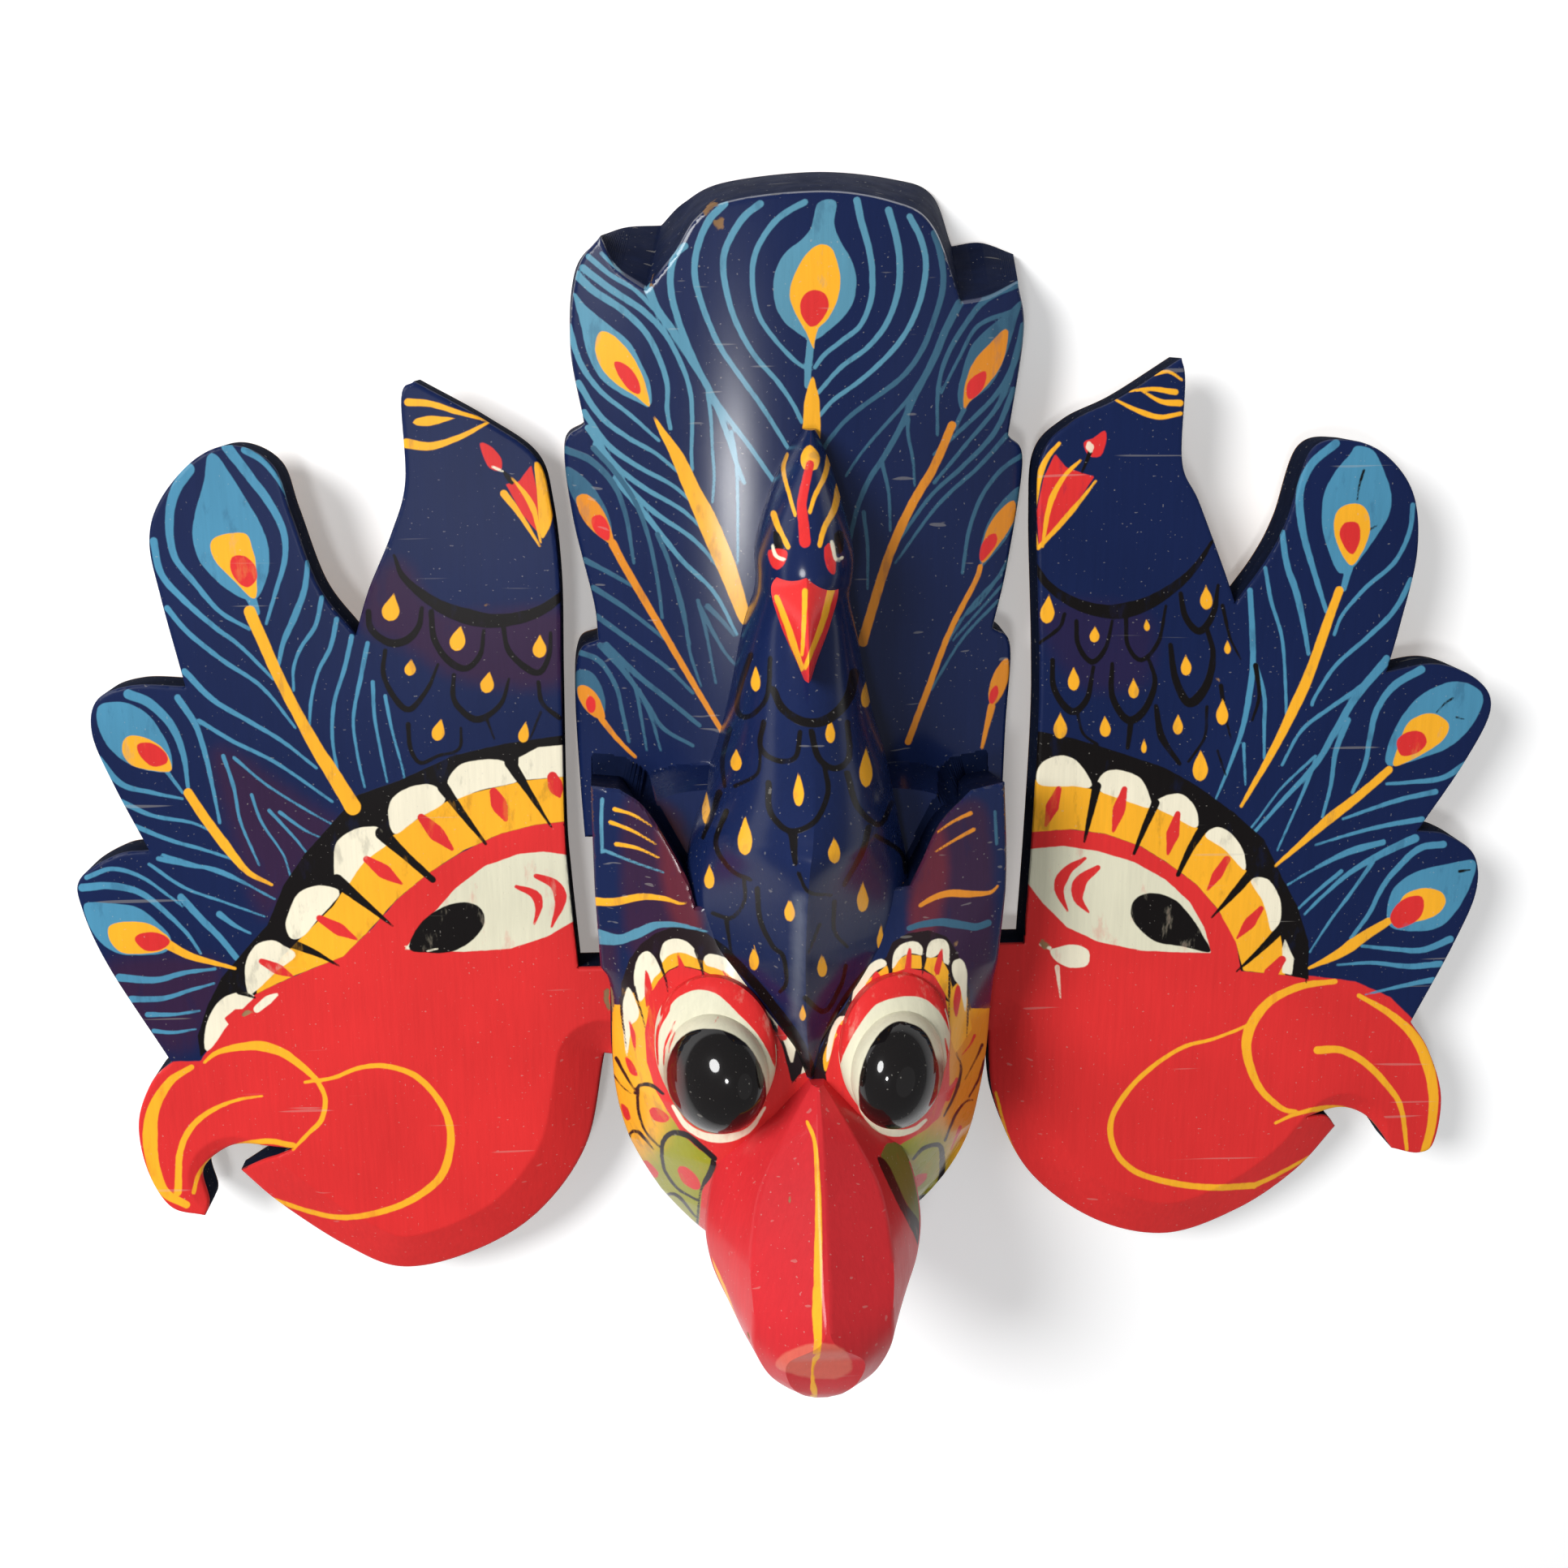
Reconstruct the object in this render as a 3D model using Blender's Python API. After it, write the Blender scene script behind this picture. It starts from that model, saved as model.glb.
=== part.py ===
"""A carved and painted wooden peacock mask: a hollow centre block and two flat wing boards tenoned into its sides.

The mask lies on its back. +X is the viewer's right, +Y points from the beak to the crown, +Z is the front.
Carved forms are written in millimetres about the mask's middle line and become metres when their mesh is made.
"""
import bmesh
import bpy
import numpy as np
from mathutils.geometry import delaunay_2d_cdt

MM = 0.001

# Boards and their joints, in millimetres
BOARD_THICKNESS = 11.5
BOARD_STANDOFF = 13.0
TENON_HEIGHT = 25.4
TENON_LENGTH = 9.0
SLOT_RUN_OUT = 8.0
FIT_CLEARANCE = 0.3
SHOULDER_GAP = 0.6
LEFT_TENON_Y = -59.4
RIGHT_TENON_Y = -55.5
JAW_BEVEL_WIDTH = 12.0
JAW_BEVEL_DROP = 5.5

# Heights above the back plane, walls and cutters of the centre block, in millimetres
CROWN_FRONT = 29.0
CROWN_EDGE = 19.0
CROWN_FOOT = 3.0
LEDGE_FRONT = 41.0
LEDGE_SLOPE = 4.5
HORN_LEAN = 6.0
SIDE_DRAFT = 1.2
FACE_WALL = 11.0
CROWN_WALL = 17.0
HOLLOW_TOP_RIM = 34.0
CHIN_RIM = 16.0
LEDGE_FLOOR = 0.4
CUT_PAST = 5.0
EYE_ROOT = 20.0
EYE_RIM_HEIGHT = 4.0
EYE_DOME_HEIGHT = 13.0
EYE_TILT = 0.30

# How finely the carving is cut in this model, in millimetres, and the angle of a crisp edge, in radians
RUN_STEP = 4.0
CARVE_STEP = 7.5
SHARP_ANGLE = 0.6

# Each outline is a list of runs. A run is a smooth curve through its points, and runs meet in corners.
# Wing outlines start at the tenon's upper shoulder. Their first coordinate is the distance out from the side of
# the centre block, their second the height above the tenon's middle.
LEFT_WING = (
    ((6.8, 13.2), (8.4, 34.6), (9.1, 50.5), (8.8, 85.7), (8.5, 109.5), (10.0, 127.8), (13.3, 139.3),
     (24.8, 147.8), (40.5, 156.6)),
    ((40.5, 156.6), (43.6, 153.0), (43.7, 133.8), (47.6, 121.5), (53.6, 108.3), (57.1, 97.8)),
    ((57.1, 97.8), (65.0, 109.3), (70.4, 126.6), (73.8, 137.6), (82.2, 142.2), (91.2, 139.3), (100.0, 130.0),
     (103.4, 120.3), (101.9, 107.1), (97.9, 85.7)),
    ((97.9, 85.7), (110.2, 86.1), (118.7, 82.8), (120.7, 74.3), (116.5, 61.2), (109.8, 45.3)),
    ((109.8, 45.3), (117.6, 44.3), (126.8, 38.5), (127.1, 30.6), (122.0, 15.4), (109.1, -9.9)),
    ((109.1, -9.9), (114.5, -15.6), (118.5, -26.4), (117.4, -39.4), (112.4, -49.7), (104.0, -52.5)),
    ((104.0, -52.5), (102.9, -49.0), (103.9, -40.3), (97.6, -34.5), (91.1, -33.2), (80.3, -34.5)),
    ((80.3, -34.5), (87.8, -37.8), (95.4, -42.6)),
)
RIGHT_WING = (
    ((9.7, 12.9), (10.7, 37.5), (11.5, 69.0), (11.0, 88.7), (9.3, 120.0), (10.0, 135.5), (17.0, 143.1),
     (28.3, 148.6), (42.5, 157.6)),
    ((42.5, 157.6), (43.7, 152.0), (44.0, 133.4), (48.6, 124.0), (55.4, 108.3), (59.0, 99.3)),
    ((59.0, 99.3), (66.2, 109.9), (70.6, 119.6), (75.3, 136.0), (84.4, 138.4), (93.9, 134.7), (101.4, 125.3),
     (103.5, 111.2), (100.8, 93.6), (98.3, 81.7)),
    ((98.3, 81.7), (111.1, 83.6), (122.0, 79.2), (125.8, 71.8), (120.5, 58.6), (109.8, 40.5)),
    ((109.8, 40.5), (117.4, 39.4), (125.2, 33.9), (126.7, 24.0), (122.0, 9.8), (112.6, -11.4)),
    ((112.6, -11.4), (118.1, -19.5), (122.7, -32.5), (121.9, -45.7), (117.8, -48.8), (110.5, -47.2)),
    ((110.5, -47.2), (105.7, -40.6), (101.6, -37.4), (95.8, -36.1), (86.9, -37.7)),
    ((86.9, -37.7), (93.1, -38.7), (96.8, -42.9)),
)
LEFT_JAW = ((95.4, -42.6), (86.0, -52.4), (70.0, -65.0), (55.6, -71.8), (37.6, -68.2), (20.0, -57.6),
            (6.6, -38.6), (1.1, -12.9))
RIGHT_JAW = ((96.8, -42.9), (86.7, -55.4), (71.6, -66.4), (52.3, -73.0), (32.2, -68.0), (14.2, -53.4),
             (4.4, -32.8), (2.0, -13.0))

# The crown's front edge, clockwise from its lower left, and where the same points stand at its foot
CROWN_FRONT_RUNS = (
    ((-52.4, -14.0), (-53.2, 0.9), (-53.8, 21.9), (-52.5, 32.8), (-47.8, 36.0)),
    ((-47.8, 36.0), (-48.6, 45.0), (-53.1, 65.1), (-54.6, 82.0), (-49.8, 87.2)),
    ((-49.8, 87.2), (-52.6, 105.0), (-50.4, 122.0), (-44.9, 129.5)),
    ((-44.9, 129.5), (-41.5, 122.5), (-34.7, 117.6)),
    ((-34.7, 117.6), (-28.5, 124.8), (-19.7, 135.4), (3.7, 138.9), (21.7, 136.8), (31.1, 131.4), (38.4, 114.5)),
    ((38.4, 114.5), (45.0, 115.8), (52.3, 119.5)),
    ((52.3, 119.5), (54.2, 108.0), (51.0, 84.2)),
    ((51.0, 84.2), (54.9, 78.0), (51.8, 53.5), (48.4, 37.8)),
    ((48.4, 37.8), (53.2, 33.0), (52.6, 12.3), (52.2, -14.0)),
)
CROWN_FOOT_RUNS = (
    ((-53.2, -14.0), (-54.0, 0.9), (-54.6, 21.9), (-53.3, 32.8), (-48.6, 35.4)),
    ((-48.6, 35.4), (-49.4, 45.0), (-53.9, 65.1), (-55.4, 82.0), (-50.6, 86.6)),
    ((-50.6, 86.6), (-53.4, 105.0), (-51.6, 122.5), (-44.5, 130.6)),
    ((-44.5, 130.6), (-39.0, 132.2), (-31.0, 132.6)),
    ((-31.0, 132.6), (-25.5, 137.8), (-16.0, 142.4), (5.6, 144.9), (24.0, 143.4), (33.8, 139.8), (38.9, 128.0)),
    ((38.9, 128.0), (46.0, 128.8), (54.0, 126.2)),
    ((54.0, 126.2), (55.6, 108.0), (51.9, 84.2)),
    ((51.9, 84.2), (55.8, 78.0), (52.7, 53.5), (49.3, 37.2)),
    ((49.3, 37.2), (54.1, 33.0), (53.5, 12.3), (53.1, -14.0)),
)

# The face block's front edge with the two horn points, anticlockwise from the left horn's outer end
FACE_RUNS = (
    ((-49.2, 7.0), (-49.0, -16.0), (-48.2, -38.0)),
    ((-48.2, -38.0), (-46.0, -44.0), (-46.0, -70.0), (-42.8, -88.0), (-35.0, -104.0), (-24.0, -116.0),
     (-10.0, -120.0), (2.0, -121.0), (14.0, -120.0), (27.0, -117.0), (37.0, -106.0), (44.2, -90.0),
     (46.4, -68.0), (46.4, -43.0)),
    ((46.4, -43.0), (47.0, -37.0), (47.8, -15.0), (46.8, 6.5)),
    ((46.8, 6.5), (38.5, 5.4)),
    ((38.5, 5.4), (31.3, -1.5), (27.0, -10.0), (24.0, -16.0)),
    ((24.0, -16.0), (-25.5, -20.0)),
    ((-25.5, -20.0), (-28.2, -12.0), (-36.4, 2.0), (-42.6, 6.6)),
    ((-42.6, 6.6), (-49.2, 7.0)),
)
LEDGE_RUNS = (
    ((-48.6, -4.0), (-48.4, -20.0)),
    ((-48.4, -20.0), (46.6, -20.0)),
    ((46.6, -20.0), (46.6, -4.0)),
    ((46.6, -4.0), (36.0, 0.0), (22.0, 3.0), (-22.5, 3.3), (-36.8, 0.0), (-48.6, -4.0)),
)

# The small peacock from the tip of its crest to the point between the eyes.
# Each station is: y, middle x, half width, height at the middle, height at the sides, roundness of the section.
PEACOCK_STATIONS = (
    (86.5, 2.3, 1.6, 37.0, 28.0, 1.0),
    (80.0, 1.6, 5.0, 46.0, 32.0, 1.0),
    (70.0, 1.0, 8.6, 55.0, 36.0, 1.0),
    (60.0, 0.8, 11.0, 61.5, 40.0, 1.0),
    (54.0, 0.6, 10.8, 62.5, 42.0, 1.0),
    (49.0, 0.3, 10.8, 58.0, 40.0, 1.0),
    (40.0, 0.0, 13.2, 58.5, 36.0, 1.0),
    (24.0, 0.0, 16.4, 68.0, 36.0, 1.0),
    (12.0, 0.2, 19.6, 77.0, 38.0, 0.9),
    (2.0, -0.6, 22.3, 84.0, 44.0, 0.75),
    (-3.5, -1.4, 24.0, 86.0, 47.0, 0.6),
    (-14.0, -1.7, 25.8, 82.5, 52.0, 0.25),
    (-26.0, -1.7, 24.2, 78.5, 57.0, 0.0),
    (-34.0, -1.4, 16.5, 75.5, 62.0, 0.0),
    (-46.0, -0.8, 8.0, 71.0, 64.0, 0.0),
    (-60.0, 0.5, 2.0, 66.5, 63.0, 0.0),
)
PEACOCK_FLOOR = 24.0

# The small peacock's bill: y, half width, height at the middle, height at the sides
BILL_STATIONS = (
    (58.0, 3.0, 61.0, 56.0),
    (54.0, 7.4, 64.5, 58.0),
    (46.0, 5.6, 69.0, 60.0),
    (38.5, 2.4, 71.0, 64.0),
    (34.5, 0.7, 70.0, 67.0),
)
BILL_X = -0.6
BILL_FLOOR = 50.0

# The big beak from between the eyes to its tip.
# Each station is: y, half width, flat half width of the top, height of the ridge, of its widest line, of its floor
BEAK_STATIONS = (
    (-60.5, 2.0, 0.3, 70.0, 64.0, 20.0),
    (-72.0, 13.0, 0.6, 77.5, 60.0, 20.0),
    (-84.0, 22.5, 0.6, 85.5, 57.0, 20.0),
    (-98.0, 26.0, 0.6, 94.5, 58.0, 20.0),
    (-108.0, 25.0, 1.0, 99.5, 62.0, 28.0),
    (-116.0, 20.6, 8.5, 95.0, 69.0, 43.0),
    (-124.0, 15.6, 8.0, 90.5, 75.0, 60.0),
    (-129.2, 9.6, 5.0, 87.0, 78.0, 71.0),
    (-132.2, 3.8, 1.5, 84.0, 80.5, 77.5),
)
BEAK_X = 1.9

# Eyes: middle x and y, half width and half height of the white rim, then of the black dome, and its fall in y
LEFT_EYE = (-21.6, -53.0, 14.0, 18.0, 12.0, 14.2, -3.6)
RIGHT_EYE = (20.4, -53.0, 13.4, 17.6, 11.2, 14.0, -3.6)


def curve_through(points, step):
    """Points on a smooth curve through the given points, about one step apart."""
    p = np.asarray(points, float)
    if len(p) == 2:
        count = max(1, round(np.linalg.norm(p[1] - p[0]) / step))
        t = np.arange(count)[:, None] / count
        return p[0] * (1 - t) + p[1] * t
    ends = np.vstack([2 * p[0] - p[1], p, 2 * p[-1] - p[-2]])
    found = []
    for i in range(1, len(ends) - 2):
        before, start, end, after = ends[i - 1:i + 3]
        count = max(1, round(np.linalg.norm(end - start) / step))
        t = (np.arange(count) / count)[:, None]
        found.append(0.5 * (2 * start + (end - before) * t
                            + (2 * before - 5 * start + 4 * end - after) * t ** 2
                            + (3 * start - before - 3 * end + after) * t ** 3))
    return np.vstack(found)


def paired_curves(first, second, step):
    """Two curves with the same number of points each, spaced after the first one."""
    joined = [a + b for a, b in zip(first, second)]
    both = curve_through(joined, step * 2 ** 0.5)
    return both[:, :2], both[:, 2:]


def outline_of(runs, step):
    return np.vstack([curve_through(run, step) for run in runs])


def anticlockwise(points):
    x, y = points.T
    area = np.dot(x, np.roll(y, -1)) - np.dot(y, np.roll(x, -1))
    return area > 0


def inside(points, outline):
    """Which of the points lie inside the closed outline."""
    x, y = points[:, :1], points[:, 1:]
    x0, y0 = outline.T
    x1, y1 = np.roll(outline, -1, axis=0).T
    crosses = (y0 > y) != (y1 > y)
    rise = np.where(y1 == y0, 1.0, y1 - y0)
    hits = crosses & (x < x0 + (y - y0) * (x1 - x0) / rise)
    return hits.sum(axis=1) % 2 == 1


def distance_to(points, line):
    """Distance from each point to an open line of straight pieces."""
    start, end = line[:-1], line[1:]
    along = end - start
    t = ((points[:, None] - start) * along).sum(-1) / (along ** 2).sum(-1)
    nearest = start + np.clip(t, 0, 1)[..., None] * along
    return np.sqrt(((points[:, None] - nearest) ** 2).sum(-1)).min(axis=1)


def grid_inside(outline, step, margin):
    """Points of an even grid that lie inside the outline and clear of it."""
    low, high = outline.min(axis=0), outline.max(axis=0)
    middle = (low + high) / 2
    count = np.ceil((high - low) / 2 / step).astype(int)
    columns = middle[0] + step * np.arange(-count[0], count[0] + 1)
    rows = middle[1] + step * np.arange(-count[1], count[1] + 1)
    x, y = np.meshgrid(columns, rows)
    points = np.stack([x.ravel(), y.ravel()], axis=1)
    points = points[inside(points, outline)]
    closed = np.vstack([outline, outline[:1]])
    return points[distance_to(points, closed) > margin]


def new_object(name, points, faces, material=None):
    """An object whose mesh has these points, given in millimetres, with its faces turned outwards."""
    mesh = bpy.data.meshes.new(name)
    mesh.from_pydata((np.asarray(points) * MM).tolist(), [], faces)
    work = bmesh.new()
    work.from_mesh(mesh)
    bmesh.ops.recalc_face_normals(work, faces=work.faces)
    work.to_mesh(mesh)
    work.free()
    if material:
        mesh.materials.append(material)
    made = bpy.data.objects.new(name, mesh)
    bpy.context.collection.objects.link(made)
    return made


def carved_board(name, rings, height, material=None, crease=None, clear_of=None, clear_by=0.0):
    """A closed body with a carved front. Its rings, from front to back, are (outline, height or None) pairs.

    The first ring bounds the front, whose surface is height(points). The last ring bounds the flat back.
    A crease is a line that the front bends along, and no other point of the front is near the clear_of line.
    """
    front = rings[0][0]
    if not anticlockwise(front):
        rings = [(ring[::-1], level) for ring, level in rings]
        front = rings[0][0]
    count = len(front)
    edges = [(i, (i + 1) % count) for i in range(count)]
    grid = grid_inside(front, CARVE_STEP, 0.45 * CARVE_STEP)
    if clear_of is not None:
        grid = grid[distance_to(grid, clear_of) > clear_by]
    plane = [*front, *grid]
    if crease is not None:
        first = len(plane)
        plane += list(crease)
        edges += [(first + i, first + i + 1) for i in range(len(crease) - 1)]
    found = delaunay_2d_cdt([tuple(p) for p in plane], edges, [], 1, 1e-6)
    flat, faces, origin = found[0], [list(face) for face in found[2]], found[3]
    flat = np.array([tuple(p) for p in flat])
    points = [np.column_stack([flat, height(flat)])]
    place = {old: new for new, olds in enumerate(origin) for old in olds}
    ring_at = [place[i] for i in range(count)]
    total = len(flat)
    for outline, level in rings[1:]:
        points.append(np.column_stack([outline, np.full(count, level)]))
        next_at = list(range(total, total + count))
        total += count
        for i in range(count):
            j = (i + 1) % count
            faces.append([ring_at[i], next_at[i], next_at[j], ring_at[j]])
        ring_at = next_at
    faces.append(ring_at[::-1])
    return new_object(name, np.vstack(points), faces, material)


def loft(name, sections, material=None):
    """A closed body through sections that have the same number of points."""
    sections = np.asarray(sections)
    rows, count = sections.shape[:2]
    faces = []
    for row in range(rows - 1):
        for i in range(count):
            j = (i + 1) % count
            a, b = row * count, (row + 1) * count
            faces.append([a + i, a + j, b + j, b + i])
    faces.append(list(range(count))[::-1])
    faces.append(list(range((rows - 1) * count, rows * count)))
    return new_object(name, sections.reshape(-1, 3), faces, material)


def between(stations, y):
    """The values of a table of stations at any y, its first column."""
    table = np.asarray(stations)[::-1]
    return np.array([np.interp(y, table[:, 0], column) for column in table[:, 1:].T])


def combine(target, other, operation):
    """Joins the other object to the target, or cuts it away, and removes the other object."""
    modifier = target.modifiers.new(operation.lower(), "BOOLEAN")
    modifier.operation = operation
    modifier.solver = "EXACT"
    modifier.object = other
    bpy.context.view_layer.update()
    shaped = target.evaluated_get(bpy.context.evaluated_depsgraph_get())
    mesh = bpy.data.meshes.new_from_object(shaped)
    target.modifiers.remove(modifier)
    target.data = mesh
    bpy.data.objects.remove(other)


def paint(name, colour, roughness):
    material = bpy.data.materials.new(name)
    material.use_nodes = True
    shader = material.node_tree.nodes["Principled BSDF"]
    shader.inputs["Base Color"].default_value = (*colour, 1.0)
    shader.inputs["Roughness"].default_value = roughness
    shader.inputs["Metallic"].default_value = 0.0
    return material


def crown_height(p):
    """The fan's front: a shallow arch across the mask."""
    half = max(abs(x) for run in CROWN_FRONT_RUNS for x, _ in run)
    return CROWN_FRONT - (CROWN_FRONT - CROWN_EDGE) * (p[:, 0] / half) ** 2


def face_height(p):
    """The face's front: flat under the horns, swelling at the brows and falling to the sides and the chin."""
    x, y = np.abs(p[:, 0]), p[:, 1]
    middle = np.interp(y, [-121, -104, -86, -70, -52, -34, -20, 8], [34, 47, 58, 64, 66, 63, 60, 57])
    edge = np.interp(y, [-121, -104, -86, -70, -52, -38, -20, 8], [26, 31, 35, 39, 43, 49, 52, 51])
    side = np.interp(y, [-121, -104, -88, -70, -40, 8], [25, 36, 43, 46, 47, 48])
    share = np.clip((x - 16) / (side - 16), 0, 1.05)
    return middle - (middle - edge) * share ** 1.7


def ledge_height(p):
    """The ledge between the fan and the horns, rising a little toward the horns."""
    return LEDGE_FRONT + 0.25 * (4 - p[:, 1])


def crown():
    front, foot = [], []
    for first, second in zip(CROWN_FRONT_RUNS, CROWN_FOOT_RUNS):
        a, b = paired_curves(first, second, RUN_STEP)
        front.append(a)
        foot.append(b)
    front, foot = np.vstack(front), np.vstack(foot)
    return carved_board("crown", [(front, None), (foot, CROWN_FOOT), (foot, 0.0)], crown_height)


def drafted(outline, draft):
    """The outline grown outwards by the draft, about its own middle."""
    middle = (outline.min(axis=0) + outline.max(axis=0)) / 2
    half = (outline.max(axis=0) - outline.min(axis=0)) / 2
    return middle + (outline - middle) * (1 + draft / half)


def face():
    """The face block with its two horns, which lean out over the ledge."""
    outline = outline_of(FACE_RUNS, RUN_STEP)
    foot = drafted(outline, SIDE_DRAFT)
    horn_root = FACE_RUNS[-3][0][1]
    foot[:, 1] -= HORN_LEAN * np.clip((outline[:, 1] - horn_root) / -horn_root, 0, 1)
    return carved_board("face", [(outline, None), (foot, CROWN_EDGE), (foot, 0.0)], face_height)


def ledge():
    """The ledge under the horns, whose upper side slopes down to the fan."""
    outline = outline_of(LEDGE_RUNS, RUN_STEP)
    foot = outline.copy()
    foot[outline[:, 1] > LEDGE_RUNS[1][0][1] / 2, 1] += LEDGE_SLOPE
    return carved_board("ledge", [(outline, None), (foot, CROWN_EDGE), (foot, LEDGE_FLOOR)], ledge_height)


def peacock():
    """Body and head: at each y an arch or a two-sided roof over the middle line."""
    across = np.sin(np.linspace(-np.pi / 2, np.pi / 2, 13))
    sections = []
    for y, middle, half, top, side, roundness in PEACOCK_STATIONS:
        arch = np.sqrt(np.clip(1 - across ** 2, 0, 1))
        roof = 1 - np.abs(across)
        rise = side + (top - side) * (roundness * arch + (1 - roundness) * roof)
        x = middle + half * across
        x = np.concatenate([x, x[-1:], x[:1]])
        z = np.concatenate([rise, [PEACOCK_FLOOR, PEACOCK_FLOOR]])
        sections.append(np.column_stack([x, np.full(len(x), y), z]))
    return loft("peacock", sections)


def bill():
    sections = []
    for y, half, top, side in BILL_STATIONS:
        section = [(-half, side), (0, top), (half, side), (half * 0.6, BILL_FLOOR), (-half * 0.6, BILL_FLOOR)]
        sections.append([(BILL_X + x, y, z) for x, z in section])
    return loft("bill", sections)


def beak():
    sections = []
    for y, half, flat, ridge, wide, floor in BEAK_STATIONS:
        shoulder = (ridge + wide) / 2 + 0.20 * (ridge - wide)
        middle = (half + flat) / 2 + 0.12 * (half - flat)
        section = [(-half, wide), (-middle, shoulder), (-flat, ridge), (flat, ridge), (middle, shoulder),
                   (half, wide), (half * 0.72, floor), (-half * 0.72, floor)]
        sections.append([(BEAK_X + x, y, z) for x, z in section])
    return loft("beak", sections)


def eye(values, side):
    """A sloping rim with a dome on it, leaning outwards."""
    x, y, rim_x, rim_y, dome_x, dome_y, fall = values
    base = face_height(np.array([[x, y]]))[0]
    turn = np.linspace(0, 2 * np.pi, 24, endpoint=False)
    sections = []

    def ring(share_x, share_y, lower, height):
        px = share_x * np.cos(turn)
        py = share_y * np.sin(turn) + lower
        return np.column_stack([x + px, y + py, base + height - side * EYE_TILT * px])

    sections.append(ring(rim_x, rim_y, 0, -EYE_ROOT))
    sections.append(ring(rim_x, rim_y, 0, 0))
    sections.append(ring(dome_x, dome_y, fall, EYE_RIM_HEIGHT))
    for angle in np.radians([26, 52, 74]):
        share = np.cos(angle)
        rise = EYE_RIM_HEIGHT + EYE_DOME_HEIGHT * np.sin(angle)
        sections.append(ring(dome_x * share, dome_y * share, fall, rise))
    return loft("eye", sections)


def hollow():
    """The scoop in the back: deep behind the face, shallow behind the fan."""
    side = min(-wall_x(-1, LEFT_TENON_Y), wall_x(1, RIGHT_TENON_Y)) - FACE_WALL
    chin = min(y for run in FACE_RUNS for _, y in run) + CHIN_RIM
    fan_top = max(y for run in CROWN_FOOT_RUNS for _, y in run) - HOLLOW_TOP_RIM
    shallow = CROWN_FRONT - CROWN_WALL
    stations = (
        (chin, side * 0.35, 6.0),
        (chin + 8, side * 0.62, 22.0),
        (chin + 24, side * 0.88, 32.0),
        (chin + 42, side, 36.0),
        (-30.0, side, 38.0),
        (-8.0, side, 32.0),
        (4.0, side, shallow),
        (fan_top - 14, side, shallow),
        (fan_top - 3, side * 0.85, shallow * 0.75),
        (fan_top, side * 0.7, shallow * 0.35),
    )
    turn = np.linspace(0, np.pi, 11)
    sections = []
    for y, half, depth in stations:
        x = half * np.sign(np.cos(turn)) * np.abs(np.cos(turn)) ** 0.6
        z = depth * np.sin(turn) ** 0.6
        x = np.concatenate([[half], x, [-half]])
        z = np.concatenate([[-CUT_PAST], z, [-CUT_PAST]])
        sections.append(np.column_stack([x, np.full(len(x), y), z]))
    return loft("hollow", sections)


def slot(side, middle):
    """The mortise that takes a wing's tenon, from outside the block through its wall into the hollow."""
    inner = wall_x(side, middle) - side * (FACE_WALL + SLOT_RUN_OUT)
    outer = wall_x(side, middle) + side * SLOT_RUN_OUT
    x0, x1 = sorted((inner, outer))
    half = TENON_HEIGHT / 2 + FIT_CLEARANCE
    z0, z1 = BOARD_STANDOFF - FIT_CLEARANCE, BOARD_STANDOFF + BOARD_THICKNESS + FIT_CLEARANCE
    corners = [(x0, middle - half), (x1, middle - half), (x1, middle + half), (x0, middle + half)]
    return loft("slot", [[(*corner, z) for corner in corners] for z in (z0, z1)])


def wall_x(side, y):
    """Where the face block's side wall stands at this height, at the level of the wing boards."""
    outline = drafted(outline_of(FACE_RUNS, RUN_STEP), SIDE_DRAFT)
    near = outline[(outline[:, 0] * side > 20) & (np.abs(outline[:, 1] - y) < TENON_HEIGHT / 2 + RUN_STEP)]
    return side * np.max(near[:, 0] * side)


def centre_mask(material):
    block = crown()
    for piece in (ledge(), face(), peacock(), bill(), beak(), eye(LEFT_EYE, -1), eye(RIGHT_EYE, 1)):
        combine(block, piece, "UNION")
    for cutter in (hollow(), slot(-1, LEFT_TENON_Y), slot(1, RIGHT_TENON_Y)):
        combine(block, cutter, "DIFFERENCE")
    block.name = "centre_mask"
    block.data.name = "centre_mask"
    block.data.materials.clear()
    block.data.materials.append(material)
    return block


def wing(name, side, runs, jaw, tenon_y, material):
    """A flat board with its tenon, sawn to the outline and bevelled under the jaw."""
    half = TENON_HEIGHT / 2
    tip = -TENON_LENGTH
    jaw_line = curve_through(jaw, RUN_STEP)
    tenon = np.array([(jaw[-1][0], -half), (tip, -half), (tip, half), (runs[0][0][0], half)])
    outline = np.vstack([outline_of(runs, RUN_STEP), jaw_line, tenon])
    start = (wall_x(side, tenon_y) + side * SHOULDER_GAP, tenon_y)

    def front(p):
        near = np.clip(1 - distance_to(p, jaw_line) / JAW_BEVEL_WIDTH, 0, 1)
        return BOARD_STANDOFF + BOARD_THICKNESS - JAW_BEVEL_DROP * near

    along = np.gradient(jaw_line, axis=0)
    inward = np.column_stack([-along[:, 1], along[:, 0]])
    inward /= np.linalg.norm(inward, axis=1)[:, None]
    if not anticlockwise(outline):
        inward = -inward
    crease = (jaw_line + inward * JAW_BEVEL_WIDTH)[3:-3]
    rings = [(outline, None), (outline, BOARD_STANDOFF)]
    clear_by = JAW_BEVEL_WIDTH + 0.4 * CARVE_STEP
    board = carved_board(name, rings, front, material, crease, jaw_line, clear_by)
    for vertex in board.data.vertices:
        vertex.co.x = side * vertex.co.x + start[0] * MM
        vertex.co.y += start[1] * MM
    if side < 0:
        board.data.flip_normals()
    return board


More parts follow.
